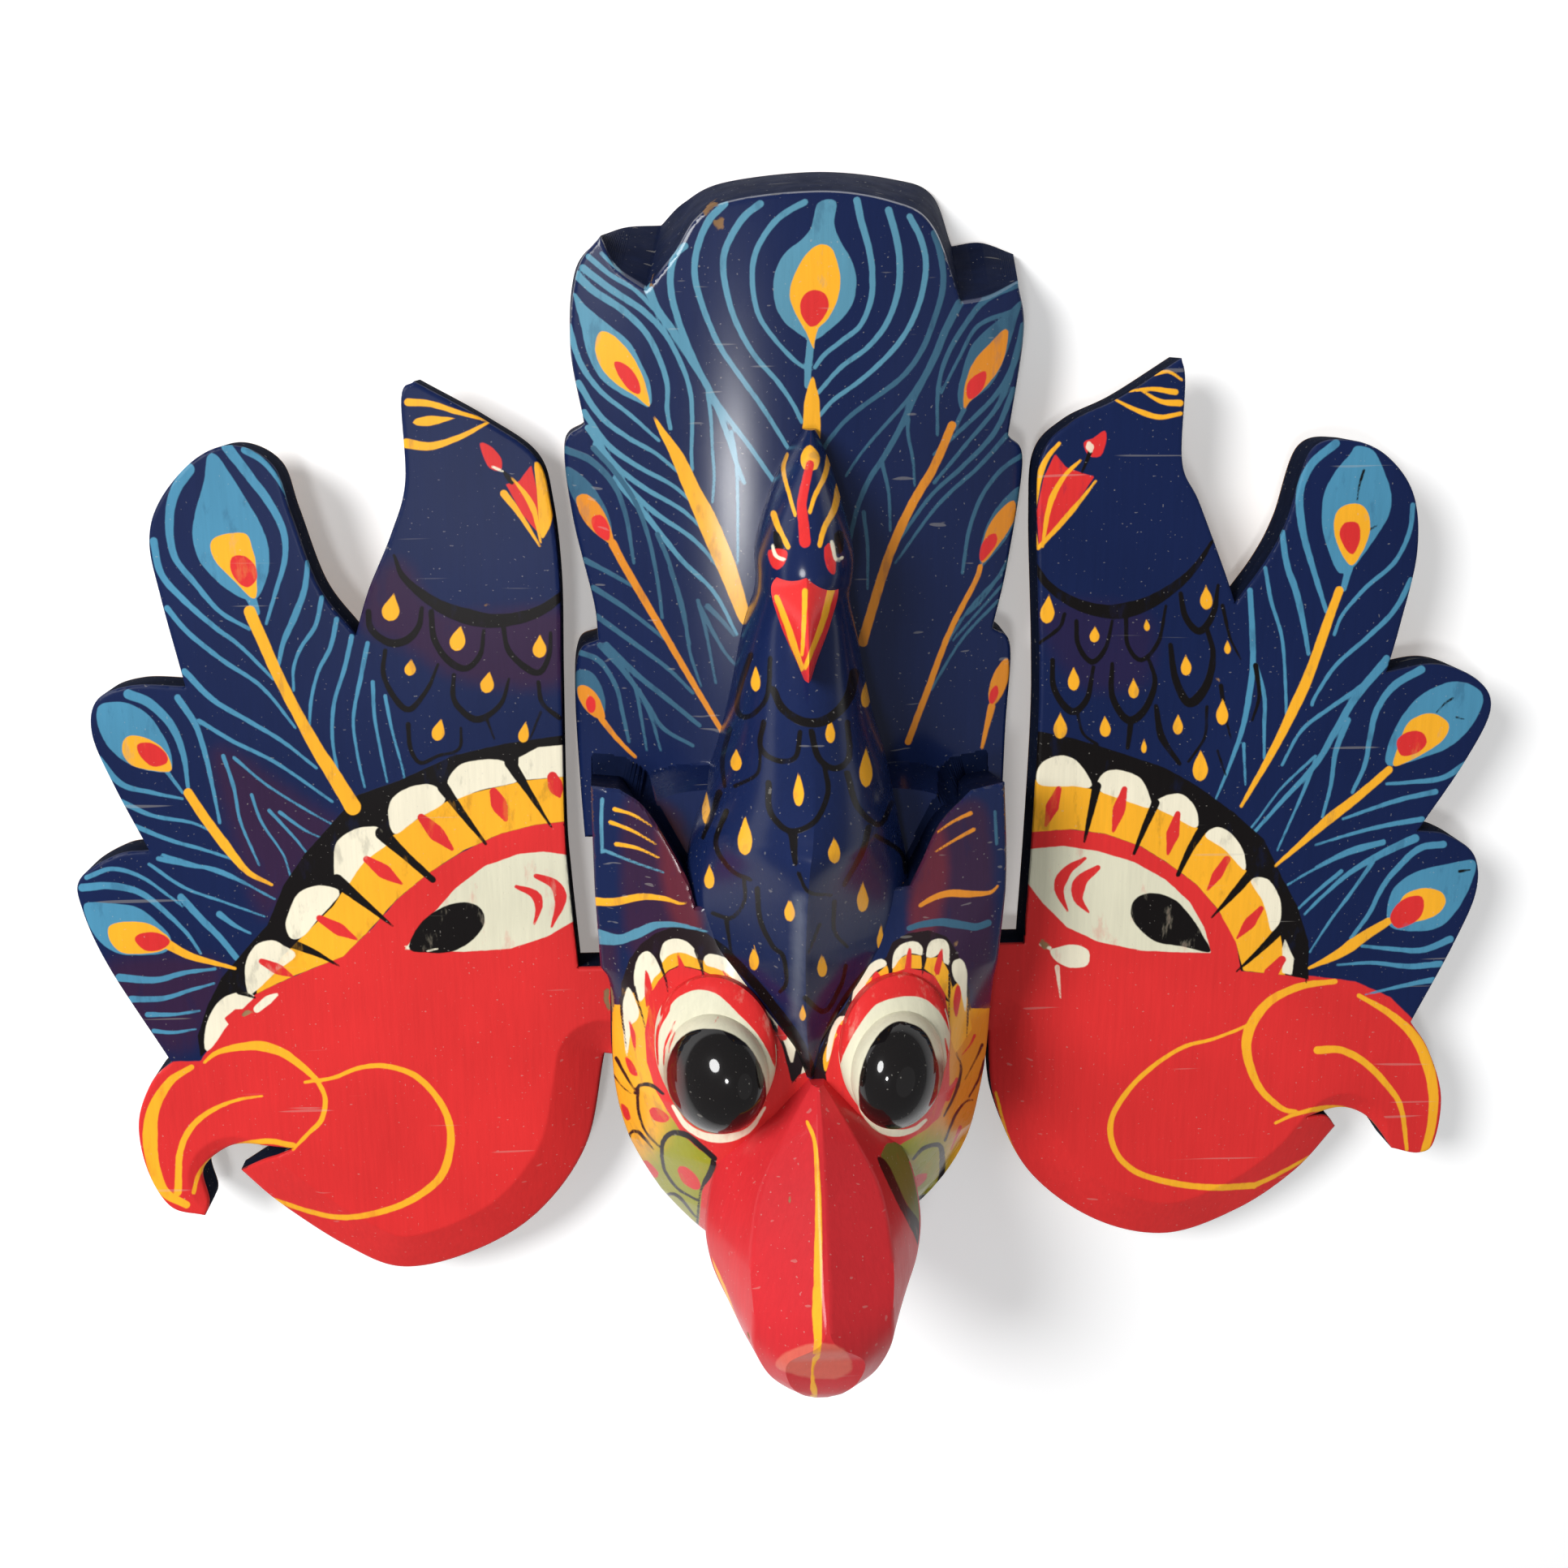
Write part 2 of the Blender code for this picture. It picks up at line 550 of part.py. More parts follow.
def stand_on_origin(objects):
    """Puts the origin under the middle of the whole mask, on the plane it lies on."""
    points = np.vstack([[vertex.co[:] for vertex in obj.data.vertices] for obj in objects])
    middle = (points.min(axis=0) + points.max(axis=0)) / 2
    shift = (-middle[0], -middle[1], -points[:, 2].min())
    for obj in objects:
        obj.location = shift
        obj.data.shade_smooth()
        obj.data.set_sharp_from_angle(angle=SHARP_ANGLE)


def main():
    for obj in list(bpy.data.objects):
        bpy.data.objects.remove(obj)
    navy = paint("navy_enamel", (0.010, 0.022, 0.11), 0.32)
    red = paint("red_enamel", (0.70, 0.045, 0.03), 0.34)
    pieces = [
        centre_mask(navy),
        wing("left_wing", -1, LEFT_WING, LEFT_JAW, LEFT_TENON_Y, red),
        wing("right_wing", 1, RIGHT_WING, RIGHT_JAW, RIGHT_TENON_Y, red),
    ]
    stand_on_origin(pieces)


main()
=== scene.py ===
"""A carved and painted wooden peacock mask lying on its back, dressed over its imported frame.

Carved forms are worked out in millimetres about the mask's middle line, with +Y towards the crown and
+Z towards the viewer. Paint is laid by brush lines and patches whose places were read off the photograph
in its own pixels: each point of a surface is seen from the photograph's viewpoint, and its distance to the
nearest brush edge is kept on the mesh for the material to read.
"""
import logging
from dataclasses import dataclass
from enum import IntEnum

import bpy
import bmesh
import numpy as np
from mathutils import Matrix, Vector
from mathutils.geometry import delaunay_2d_cdt


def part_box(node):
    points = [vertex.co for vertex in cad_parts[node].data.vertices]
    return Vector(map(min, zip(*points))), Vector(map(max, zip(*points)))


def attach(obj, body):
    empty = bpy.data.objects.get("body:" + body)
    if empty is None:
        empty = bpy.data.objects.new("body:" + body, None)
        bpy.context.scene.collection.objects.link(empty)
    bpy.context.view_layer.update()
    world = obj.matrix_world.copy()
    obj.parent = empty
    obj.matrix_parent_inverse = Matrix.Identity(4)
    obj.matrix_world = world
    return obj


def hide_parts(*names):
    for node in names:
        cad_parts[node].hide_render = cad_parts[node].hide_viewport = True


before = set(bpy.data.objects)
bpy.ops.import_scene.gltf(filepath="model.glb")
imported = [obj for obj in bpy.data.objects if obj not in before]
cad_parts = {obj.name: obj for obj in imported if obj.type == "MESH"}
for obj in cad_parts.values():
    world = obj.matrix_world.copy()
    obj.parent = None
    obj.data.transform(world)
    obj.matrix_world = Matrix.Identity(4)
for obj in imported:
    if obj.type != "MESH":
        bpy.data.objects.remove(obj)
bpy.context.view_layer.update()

LOG = logging.getLogger("peacock mask")
MM = 0.001

Pairs = tuple[tuple[float, ...], ...]
Runs = tuple[Pairs, ...]
Colour = tuple[float, float, float]


class Side(IntEnum):
    """Which side of the middle line a piece stands on, as the sign of its x."""

    LEFT = -1
    RIGHT = 1


# Boards and their joints, in millimetres
BOARD_THICKNESS = 11.5
BOARD_STANDOFF = 13.0
TENON_HEIGHT = 25.4
TENON_LENGTH = 9.0
SHOULDER_GAP = 0.6
LEFT_TENON_Y = -59.4
RIGHT_TENON_Y = -55.5
JAW_BEVEL_WIDTH = 12.0
JAW_BEVEL_DROP = 5.5

# Heights above the back plane, walls and cutters of the centre block, in millimetres
CROWN_FRONT = 29.0
CROWN_EDGE = 19.0
CROWN_FOOT = 3.0
LEDGE_FRONT = 41.0
LEDGE_SLOPE = 4.5
HORN_LEAN = 6.0
SIDE_DRAFT = 1.2
CROWN_WALL = 17.0
EYE_RIM_HEIGHT = 4.0
EYE_DOME_HEIGHT = 13.0
EYE_TILT = 0.30

# Each outline is a list of runs. A run is a smooth curve through its points, and runs meet in corners.
# Wing outlines start at the tenon's upper shoulder. Their first coordinate is the distance out from the
# side of the centre block, their second the height above the tenon's middle.
LEFT_WING = (
    ((6.8, 13.2), (8.4, 34.6), (9.1, 50.5), (8.8, 85.7), (8.5, 109.5), (10.0, 127.8), (13.3, 139.3),
     (24.8, 147.8), (40.5, 156.6)),
    ((40.5, 156.6), (43.6, 153.0), (43.7, 133.8), (47.6, 121.5), (53.6, 108.3), (57.1, 97.8)),
    ((57.1, 97.8), (65.0, 109.3), (70.4, 126.6), (73.8, 137.6), (82.2, 142.2), (91.2, 139.3), (100.0, 130.0),
     (103.4, 120.3), (101.9, 107.1), (97.9, 85.7)),
    ((97.9, 85.7), (110.2, 86.1), (118.7, 82.8), (120.7, 74.3), (116.5, 61.2), (109.8, 45.3)),
    ((109.8, 45.3), (117.6, 44.3), (126.8, 38.5), (127.1, 30.6), (122.0, 15.4), (109.1, -9.9)),
    ((109.1, -9.9), (114.5, -15.6), (118.5, -26.4), (117.4, -39.4), (112.4, -49.7), (104.0, -52.5)),
    ((104.0, -52.5), (102.9, -49.0), (103.9, -40.3), (97.6, -34.5), (91.1, -33.2), (80.3, -34.5)),
    ((80.3, -34.5), (87.8, -37.8), (95.4, -42.6)),
)
RIGHT_WING = (
    ((9.7, 12.9), (10.7, 37.5), (11.5, 69.0), (11.0, 88.7), (9.3, 120.0), (10.0, 135.5), (17.0, 143.1),
     (28.3, 148.6), (42.5, 157.6)),
    ((42.5, 157.6), (43.7, 152.0), (44.0, 133.4), (48.6, 124.0), (55.4, 108.3), (59.0, 99.3)),
    ((59.0, 99.3), (66.2, 109.9), (70.6, 119.6), (75.3, 136.0), (84.4, 138.4), (93.9, 134.7), (101.4, 125.3),
     (103.5, 111.2), (100.8, 93.6), (98.3, 81.7)),
    ((98.3, 81.7), (111.1, 83.6), (122.0, 79.2), (125.8, 71.8), (120.5, 58.6), (109.8, 40.5)),
    ((109.8, 40.5), (117.4, 39.4), (125.2, 33.9), (126.7, 24.0), (122.0, 9.8), (112.6, -11.4)),
    ((112.6, -11.4), (118.1, -19.5), (122.7, -32.5), (121.9, -45.7), (117.8, -48.8), (110.5, -47.2)),
    ((110.5, -47.2), (105.7, -40.6), (101.6, -37.4), (95.8, -36.1), (86.9, -37.7)),
    ((86.9, -37.7), (93.1, -38.7), (96.8, -42.9)),
)
LEFT_JAW = ((95.4, -42.6), (86.0, -52.4), (70.0, -65.0), (55.6, -71.8), (37.6, -68.2), (20.0, -57.6),
            (6.6, -38.6), (1.1, -12.9))
RIGHT_JAW = ((96.8, -42.9), (86.7, -55.4), (71.6, -66.4), (52.3, -73.0), (32.2, -68.0), (14.2, -53.4),
             (4.4, -32.8), (2.0, -13.0))

# The crown's front edge, clockwise from its lower left, and where the same points stand at its foot
CROWN_FRONT_RUNS = (
    ((-52.4, -14.0), (-53.2, 0.9), (-53.8, 21.9), (-52.5, 32.8), (-47.8, 36.0)),
    ((-47.8, 36.0), (-48.6, 45.0), (-53.1, 65.1), (-54.6, 82.0), (-49.8, 87.2)),
    ((-49.8, 87.2), (-52.6, 105.0), (-50.4, 122.0), (-44.9, 129.5)),
    ((-44.9, 129.5), (-41.5, 122.5), (-34.7, 117.6)),
    ((-34.7, 117.6), (-28.5, 124.8), (-19.7, 135.4), (3.7, 138.9), (21.7, 136.8), (31.1, 131.4),
     (38.4, 114.5)),
    ((38.4, 114.5), (45.0, 115.8), (52.3, 119.5)),
    ((52.3, 119.5), (54.2, 108.0), (51.0, 84.2)),
    ((51.0, 84.2), (54.9, 78.0), (51.8, 53.5), (48.4, 37.8)),
    ((48.4, 37.8), (53.2, 33.0), (52.6, 12.3), (52.2, -14.0)),
)
CROWN_FOOT_RUNS = (
    ((-53.2, -14.0), (-54.0, 0.9), (-54.6, 21.9), (-53.3, 32.8), (-48.6, 35.4)),
    ((-48.6, 35.4), (-49.4, 45.0), (-53.9, 65.1), (-55.4, 82.0), (-50.6, 86.6)),
    ((-50.6, 86.6), (-53.4, 105.0), (-51.6, 122.5), (-44.5, 130.6)),
    ((-44.5, 130.6), (-39.0, 132.2), (-31.0, 132.6)),
    ((-31.0, 132.6), (-25.5, 137.8), (-16.0, 142.4), (5.6, 144.9), (24.0, 143.4), (33.8, 139.8),
     (38.9, 128.0)),
    ((38.9, 128.0), (46.0, 128.8), (54.0, 126.2)),
    ((54.0, 126.2), (55.6, 108.0), (51.9, 84.2)),
    ((51.9, 84.2), (55.8, 78.0), (52.7, 53.5), (49.3, 37.2)),
    ((49.3, 37.2), (54.1, 33.0), (53.5, 12.3), (53.1, -14.0)),
)

# The face block's front edge with the two horn points, anticlockwise from the left horn's outer end
FACE_RUNS = (
    ((-49.2, 7.0), (-49.0, -16.0), (-48.2, -38.0)),
    ((-48.2, -38.0), (-46.0, -44.0), (-46.0, -70.0), (-42.8, -88.0), (-35.0, -104.0), (-24.0, -116.0),
     (-10.0, -120.0), (2.0, -121.0), (14.0, -120.0), (27.0, -117.0), (37.0, -106.0), (44.2, -90.0),
     (46.4, -68.0), (46.4, -43.0)),
    ((46.4, -43.0), (47.0, -37.0), (47.8, -15.0), (46.8, 6.5)),
    ((46.8, 6.5), (38.5, 5.4)),
    ((38.5, 5.4), (31.3, -1.5), (27.0, -10.0), (24.0, -16.0)),
    ((24.0, -16.0), (-25.5, -20.0)),
    ((-25.5, -20.0), (-28.2, -12.0), (-36.4, 2.0), (-42.6, 6.6)),
    ((-42.6, 6.6), (-49.2, 7.0)),
)
# The face's height along its middle and at its edge, and the edge's place, each as y and value
FACE_RIDGE = ((-121, 34), (-104, 47), (-86, 58), (-70, 64), (-52, 66), (-34, 63), (-20, 60), (8, 57))
FACE_EDGE = ((-121, 26), (-104, 31), (-86, 35), (-70, 39), (-52, 43), (-38, 49), (-20, 52), (8, 51))
FACE_SIDE = ((-121, 25), (-104, 36), (-88, 43), (-70, 46), (-40, 47), (8, 48))
FACE_FLAT = 16
FACE_FALL = 1.7

# The ledge between the fan and the horns
LEDGE_RUNS = (
    ((-48.6, -4.0), (-48.4, -20.0)),
    ((-48.4, -20.0), (46.6, -20.0)),
    ((46.6, -20.0), (46.6, -4.0)),
    ((46.6, -4.0), (36.0, 0.0), (22.0, 3.0), (-22.5, 3.3), (-36.8, 0.0), (-48.6, -4.0)),
)

# The small peacock from the tip of its crest to the point between the eyes.
# Each station is: y, middle x, half width, height at the middle, height at the sides, roundness.
PEACOCK_STATIONS = (
    (86.5, 2.3, 1.6, 37.0, 28.0, 1.0),
    (80.0, 1.6, 5.0, 46.0, 32.0, 1.0),
    (70.0, 1.0, 8.6, 55.0, 36.0, 1.0),
    (60.0, 0.8, 11.0, 61.5, 40.0, 1.0),
    (54.0, 0.6, 10.8, 62.5, 42.0, 1.0),
    (49.0, 0.3, 10.8, 58.0, 40.0, 1.0),
    (40.0, 0.0, 13.2, 58.5, 36.0, 1.0),
    (24.0, 0.0, 16.4, 68.0, 36.0, 1.0),
    (12.0, 0.2, 19.6, 77.0, 38.0, 0.9),
    (2.0, -0.6, 22.3, 84.0, 44.0, 0.75),
    (-3.5, -1.4, 24.0, 86.0, 47.0, 0.6),
    (-14.0, -1.7, 25.8, 82.5, 52.0, 0.25),
    (-26.0, -1.7, 24.2, 78.5, 57.0, 0.0),
    (-34.0, -1.4, 16.5, 75.5, 62.0, 0.0),
    (-46.0, -0.8, 8.0, 71.0, 64.0, 0.0),
    (-60.0, 0.5, 2.0, 66.5, 63.0, 0.0),
)

# The small peacock's bill: y, half width, height at the middle, height at the sides
BILL_STATIONS = (
    (58.0, 3.0, 61.0, 56.0),
    (54.0, 7.4, 64.5, 58.0),
    (46.0, 5.6, 69.0, 60.0),
    (38.5, 2.4, 71.0, 64.0),
    (34.5, 0.7, 70.0, 67.0),
)
BILL_X = -0.6
BILL_FLOOR = 50.0

# The big beak from between the eyes to its tip.
# Each station is: y, half width, flat half width of the top, then heights: ridge, widest line, floor.
BEAK_STATIONS = (
    (-60.5, 2.0, 0.3, 70.0, 64.0, 20.0),
    (-72.0, 13.0, 0.6, 77.5, 60.0, 20.0),
    (-84.0, 22.5, 0.6, 85.5, 57.0, 20.0),
    (-98.0, 26.0, 0.6, 94.5, 58.0, 20.0),
    (-108.0, 25.0, 1.0, 99.5, 62.0, 28.0),
    (-116.0, 20.6, 8.5, 95.0, 69.0, 43.0),
    (-124.0, 15.6, 8.0, 90.5, 75.0, 60.0),
    (-129.2, 9.6, 5.0, 87.0, 78.0, 71.0),
    (-132.2, 3.8, 1.5, 84.0, 80.5, 77.5),
)
BEAK_X = 1.9

# Eyes: middle x and y, half width and half height of the white rim, then of the black dome, and its fall in y
LEFT_EYE = (-21.6, -53.0, 14.0, 18.0, 12.0, 14.2, -3.6)
RIGHT_EYE = (20.4, -53.0, 13.4, 17.6, 11.2, 14.0, -3.6)

# How finely the surfaces are worked out, in millimetres
BLOCK_SPACING = 0.56
BOARD_SPACING = 0.5
BACK_SPACING = 6.0
EDGE_ROUND = 0.7
PARTING = 0.5
CREASE_ANGLE = 0.6

# How far from a brush edge the paint still needs to know its distance, in photo pixels
BRUSH_REACH = 14.0
BRUSH_STEP = 5.0
DROP_STATIONS = 17

# Where the net of triangles starts from an edge or a line, as shares of its spacing
RING_INSET = 0.4
RING_CLEAR = 0.3
EDGE_CLEAR = 0.75
LINE_CLEAR = 0.5

# The ledge's front leans by this share of the height below a level, in millimetres
LEDGE_FALL = 0.25
LEDGE_LEVEL_Y = 4

# How far from an edge wear is told apart, in millimetres
WEAR_REACH = 6.0


@dataclass(frozen=True)
class PhotoView:
    """The photograph's viewpoint, in millimetres, degrees and photo pixels."""

    aim: tuple[float, float, float] = (-3.0, 0.0, 24.0)
    turn: float = -3.7
    tilt: float = 14.5
    distance: float = 450.0
    focal: float = 2250.0
    side: float = 1932.0
    sensor: float = 36.0
    nearest: float = 0.02

    def back(self) -> np.ndarray:
        """Direction from the mask to the camera."""
        ray = np.array([np.tan(np.radians(self.turn)), np.tan(np.radians(self.tilt)), 1.0])
        return ray / np.linalg.norm(ray)

    def place(self) -> np.ndarray:
        """Where the camera stands."""
        return np.array(self.aim) + self.distance * self.back()

    def axes(self) -> np.ndarray:
        """Rows are the picture's right, its up and the way back to the camera."""
        back = self.back()
        right = np.cross(-back, (0.0, 1.0, 0.0))
        right /= np.linalg.norm(right)
        return np.array([right, np.cross(right, -back), back])

    def pixels(self, points: np.ndarray) -> np.ndarray:
        """Photo pixels at which points are seen: sideways distance over depth, times the focal length.

        Args:
            points: One row of x, y, z per point, in millimetres.

        Returns:
            One row of column and row per point.
        """
        seen = (points - self.place()) @ self.axes().T
        middle = self.side / 2
        return np.column_stack([middle - self.focal * seen[:, 0] / seen[:, 2],
                                middle + self.focal * seen[:, 1] / seen[:, 2]])

    def make_camera(self, shift: np.ndarray) -> bpy.types.Object:
        """Makes the camera and sets it as the scene's own.

        Args:
            shift: From the mask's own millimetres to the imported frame's.

        Returns:
            The camera's object.
        """
        data = bpy.data.cameras.new("photo_camera")
        data.sensor_width = self.sensor
        data.lens = self.sensor * self.focal / self.side
        data.clip_start = self.nearest
        camera = bpy.data.objects.new("photo_camera", data)
        bpy.context.collection.objects.link(camera)
        turned = np.eye(4)
        turned[:3, :3] = self.axes().T
        turned[:3, 3] = (self.place() + shift) * MM
        camera.matrix_world = Matrix(turned.tolist())
        bpy.context.scene.camera = camera
        return camera


VIEW = PhotoView()


def frame_shift() -> np.ndarray:
    """From the mask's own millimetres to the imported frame's, found from the crown's top and widest point."""
    foot = np.array([point for run in CROWN_FOOT_RUNS for point in run])
    high = np.array(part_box("centre_mask")[1]) / MM
    return np.array([high[0] - foot[:, 0].max(), high[1] - foot[:, 1].max(), 0.0])


def curve_through(points: Pairs | np.ndarray, step: float) -> np.ndarray:
    """Points on a smooth curve of cubics, whose slope at a point is half the step between its neighbours.

    Args:
        points: The points that the curve passes through, with any number of columns.
        step: Distance between the points that come out.

    Returns:
        One row per point, without the curve's last point.
    """
    p = np.asarray(points, float)
    if len(p) == 2:
        count = max(1, round(float(np.linalg.norm(p[1] - p[0])) / step))
        t = np.arange(count)[:, None] / count
        return p[0] * (1 - t) + p[1] * t
    ends = np.vstack([2 * p[0] - p[1], p, 2 * p[-1] - p[-2]])
    found = []
    for i in range(1, len(ends) - 2):
        before, start, end, after = ends[i - 1:i + 3]
        count = max(1, round(float(np.linalg.norm(end - start)) / step))
        t = (np.arange(count) / count)[:, None]
        found.append(0.5 * (2 * start + (end - before) * t
                            + (2 * before - 5 * start + 4 * end - after) * t ** 2
                            + (3 * start - before - 3 * end + after) * t ** 3))
    return np.vstack(found)


def outline_of(runs: Runs, step: float) -> np.ndarray:
    """A closed outline from runs that meet in corners."""
    return np.vstack([curve_through(run, step) for run in runs])


def paired_outlines(first: Runs, second: Runs, step: float) -> tuple[np.ndarray, np.ndarray]:
    """Two outlines that match point by point.

    Args:
        first: The runs of the outline that sets the spacing.
        second: The runs of the other one, with as many points.
        step: Distance between points.

    Returns:
        Both outlines.
    """
    pieces = []
    for a, b in zip(first, second):
        joined = [p + q for p, q in zip(a, b)]
        pieces.append(curve_through(joined, step * 2 ** 0.5))
    both = np.vstack(pieces)
    return both[:, :2], both[:, 2:]


def inside(points: np.ndarray, outline: np.ndarray) -> np.ndarray:
    """Which points lie inside a closed outline, by counting the edges that a ray to the right crosses.

    Args:
        points: One row of x, y per point.
        outline: The closed outline, in order.

    Returns:
        True or False per point.
    """
    found = np.zeros(len(points), bool)
    after = np.roll(outline, -1, axis=0)
    top, foot = np.maximum(outline[:, 1], after[:, 1]), np.minimum(outline[:, 1], after[:, 1])
    near = np.flatnonzero(((points >= outline.min(axis=0)) & (points <= outline.max(axis=0))).all(axis=1))
    near = near[np.argsort(points[near, 1])]
    for part in np.array_split(near, len(near) // 600 + 1):
        if len(part) == 0:
            continue
        x, y = points[part, :1], points[part, 1:]
        level = (top >= y[0]) & (foot <= y[-1])
        start, end = outline[level], after[level]
        crosses = (start[:, 1] > y) != (end[:, 1] > y)
        rise = np.where(end[:, 1] == start[:, 1], 1.0, end[:, 1] - start[:, 1])
        hits = crosses & (x < start[:, 0] + (y - start[:, 1]) * (end[:, 0] - start[:, 0]) / rise)
        found[part] = hits.sum(axis=1) % 2 == 1
    return found


def distance_field(at: np.ndarray, path: np.ndarray, half: np.ndarray, reach: float) -> np.ndarray:
    """Distance from each point to the edge of a path that has a width, no more than reach.

    The nearest place on each straight bit of the path is found, and the half width there, blended between the
    bit's ends, is taken off the distance to it.

    Args:
        at: One row of x, y per point.
        path: The path's points, in order.
        half: The path's half width at each of its points.
        reach: The largest distance worth knowing.

    Returns:
        One distance per point, negative on the path.
    """
    found = np.full(len(at), reach)
    for start in range(0, len(path) - 1, 12):
        bit, width = path[start:start + 13], half[start:start + 13]
        room = reach + width.max()
        near = np.flatnonzero(((at > bit.min(axis=0) - room) & (at < bit.max(axis=0) + room)).all(axis=1))
        if len(near) == 0:
            continue
        along = bit[1:] - bit[:-1]
        away = at[near][:, None] - bit[:-1]
        length = np.maximum((along ** 2).sum(-1), 1e-9)
        t = np.clip((away * along).sum(-1) / length, 0, 1)
        gap = np.linalg.norm(away - t[..., None] * along, axis=-1)
        gap -= width[:-1] + t * (width[1:] - width[:-1])
        found[near] = np.minimum(found[near], gap.min(axis=1))
    return found


def edge_distance(at: np.ndarray, line: np.ndarray, reach: float, closed: bool = True) -> np.ndarray:
    """Distance from each point to a thin line, no more than reach."""
    path = np.vstack([line, line[:1]]) if closed else line
    return distance_field(at, path, np.zeros(len(path)), reach)


def rounded(distance: np.ndarray, radius: float) -> np.ndarray:
    """How far a quarter round of this radius drops at a distance from the edge."""
    short = radius - np.clip(distance, 0, radius)
    return radius - np.sqrt(np.maximum(radius ** 2 - short ** 2, 0))


def outward(outline: np.ndarray, closed: bool = True) -> np.ndarray:
    """Unit vectors that stand square on a line, to its right."""
    if closed:
        along = np.roll(outline, -1, axis=0) - np.roll(outline, 1, axis=0)
    else:
        along = np.gradient(outline, axis=0)
    side = np.column_stack([along[:, 1], -along[:, 0]])
    return side / np.maximum(np.linalg.norm(side, axis=1), 1e-9)[:, None]


def turns_left(outline: np.ndarray) -> bool:
    """Whether a closed outline runs anticlockwise."""
    x, y = outline.T
    return float(np.dot(x, np.roll(y, -1)) - np.dot(y, np.roll(x, -1))) > 0


def triangles_inside(outline: np.ndarray, lines: list[np.ndarray], spacing: float,
                     fine_edge: bool = True) -> tuple[np.ndarray, np.ndarray, np.ndarray]:
    """Fills an outline with even triangles that keep to its edge and to the given lines.

    Points of an even staggered grid that are clear of every line are joined by a constrained Delaunay net.

    Args:
        outline: The closed outline, anticlockwise.
        lines: Open lines inside it that triangles may not cross.
        spacing: Distance between grid points.
        fine_edge: Whether a row of points runs close inside the edge.

    Returns:
        The flat points, the triangles, and where each point of the outline and then of the lines came out.
    """
    low, high = outline.min(axis=0), outline.max(axis=0)
    rows = np.arange(low[1], high[1], spacing * 0.9)
    columns = np.arange(low[0], high[0], spacing)
    x, y = np.meshgrid(columns, rows)
    x = x + (np.arange(len(rows)) % 2)[:, None] * spacing / 2
    grid = np.column_stack([x.ravel(), y.ravel()])
    grid = grid[inside(grid, outline)]
    ring = outline - outward(outline) * RING_INSET * spacing
    ring = ring[inside(ring, outline)]
    ring = ring[edge_distance(ring, outline, spacing) > RING_CLEAR * spacing]
    clear = EDGE_CLEAR if fine_edge else LINE_CLEAR
    grid = grid[edge_distance(grid, outline, 2 * spacing) > clear * spacing]
    for line in lines:
        grid = grid[edge_distance(grid, line, 2 * spacing, closed=False) > LINE_CLEAR * spacing]
        ring = ring[edge_distance(ring, line, 2 * spacing, closed=False) > LINE_CLEAR * spacing]
    fixed = np.vstack([outline, *lines])
    count = len(outline)
    edges = [(i, (i + 1) % count) for i in range(count)]
    for line in lines:
        edges += [(count + i, count + i + 1) for i in range(len(line) - 1)]
        count += len(line)
    plane = np.vstack([fixed, ring, grid]) if fine_edge else np.vstack([fixed, grid])
    found = delaunay_2d_cdt(plane.tolist(), edges, [], 1, 1e-6)
    flat = np.array([tuple(p) for p in found[0]])
    faces = np.array(found[2])
    a, b, c = flat[faces[:, 0]], flat[faces[:, 1]], flat[faces[:, 2]]
    turned = (b[:, 0] - a[:, 0]) * (c[:, 1] - a[:, 1]) - (b[:, 1] - a[:, 1]) * (c[:, 0] - a[:, 0]) < 0
    faces[turned] = faces[turned][:, ::-1]
    place = np.zeros(len(fixed), int)
    origin = [(old, new) for new, olds in enumerate(found[3]) for old in olds if old < len(fixed)]
    old, new = np.array(origin).T
    place[old] = new
    return flat, faces, place


def strip(first: np.ndarray, second: np.ndarray, closed: bool = True) -> np.ndarray:
    """Triangles between two rows of point numbers, facing right of their way with the second row below."""
    a, b = first, second
    if closed:
        a, b = np.append(a, a[0]), np.append(b, b[0])
    return np.vstack([np.column_stack([a[:-1], b[:-1], b[1:]]), np.column_stack([a[:-1], b[1:], a[1:]])])


def sheet(rows: int, columns: int, closed: bool = False) -> np.ndarray:
    """Triangles of a grid of points numbered row by row; closed joins its last column to its first."""
    at = np.arange(rows * columns).reshape(rows, columns)
    if closed:
        at = np.column_stack([at, at[:, 0]])
    a, b, c, d = at[:-1, :-1].ravel(), at[:-1, 1:].ravel(), at[1:, 1:].ravel(), at[1:, :-1].ravel()
    return np.vstack([np.column_stack([a, b, c]), np.column_stack([a, c, d])])


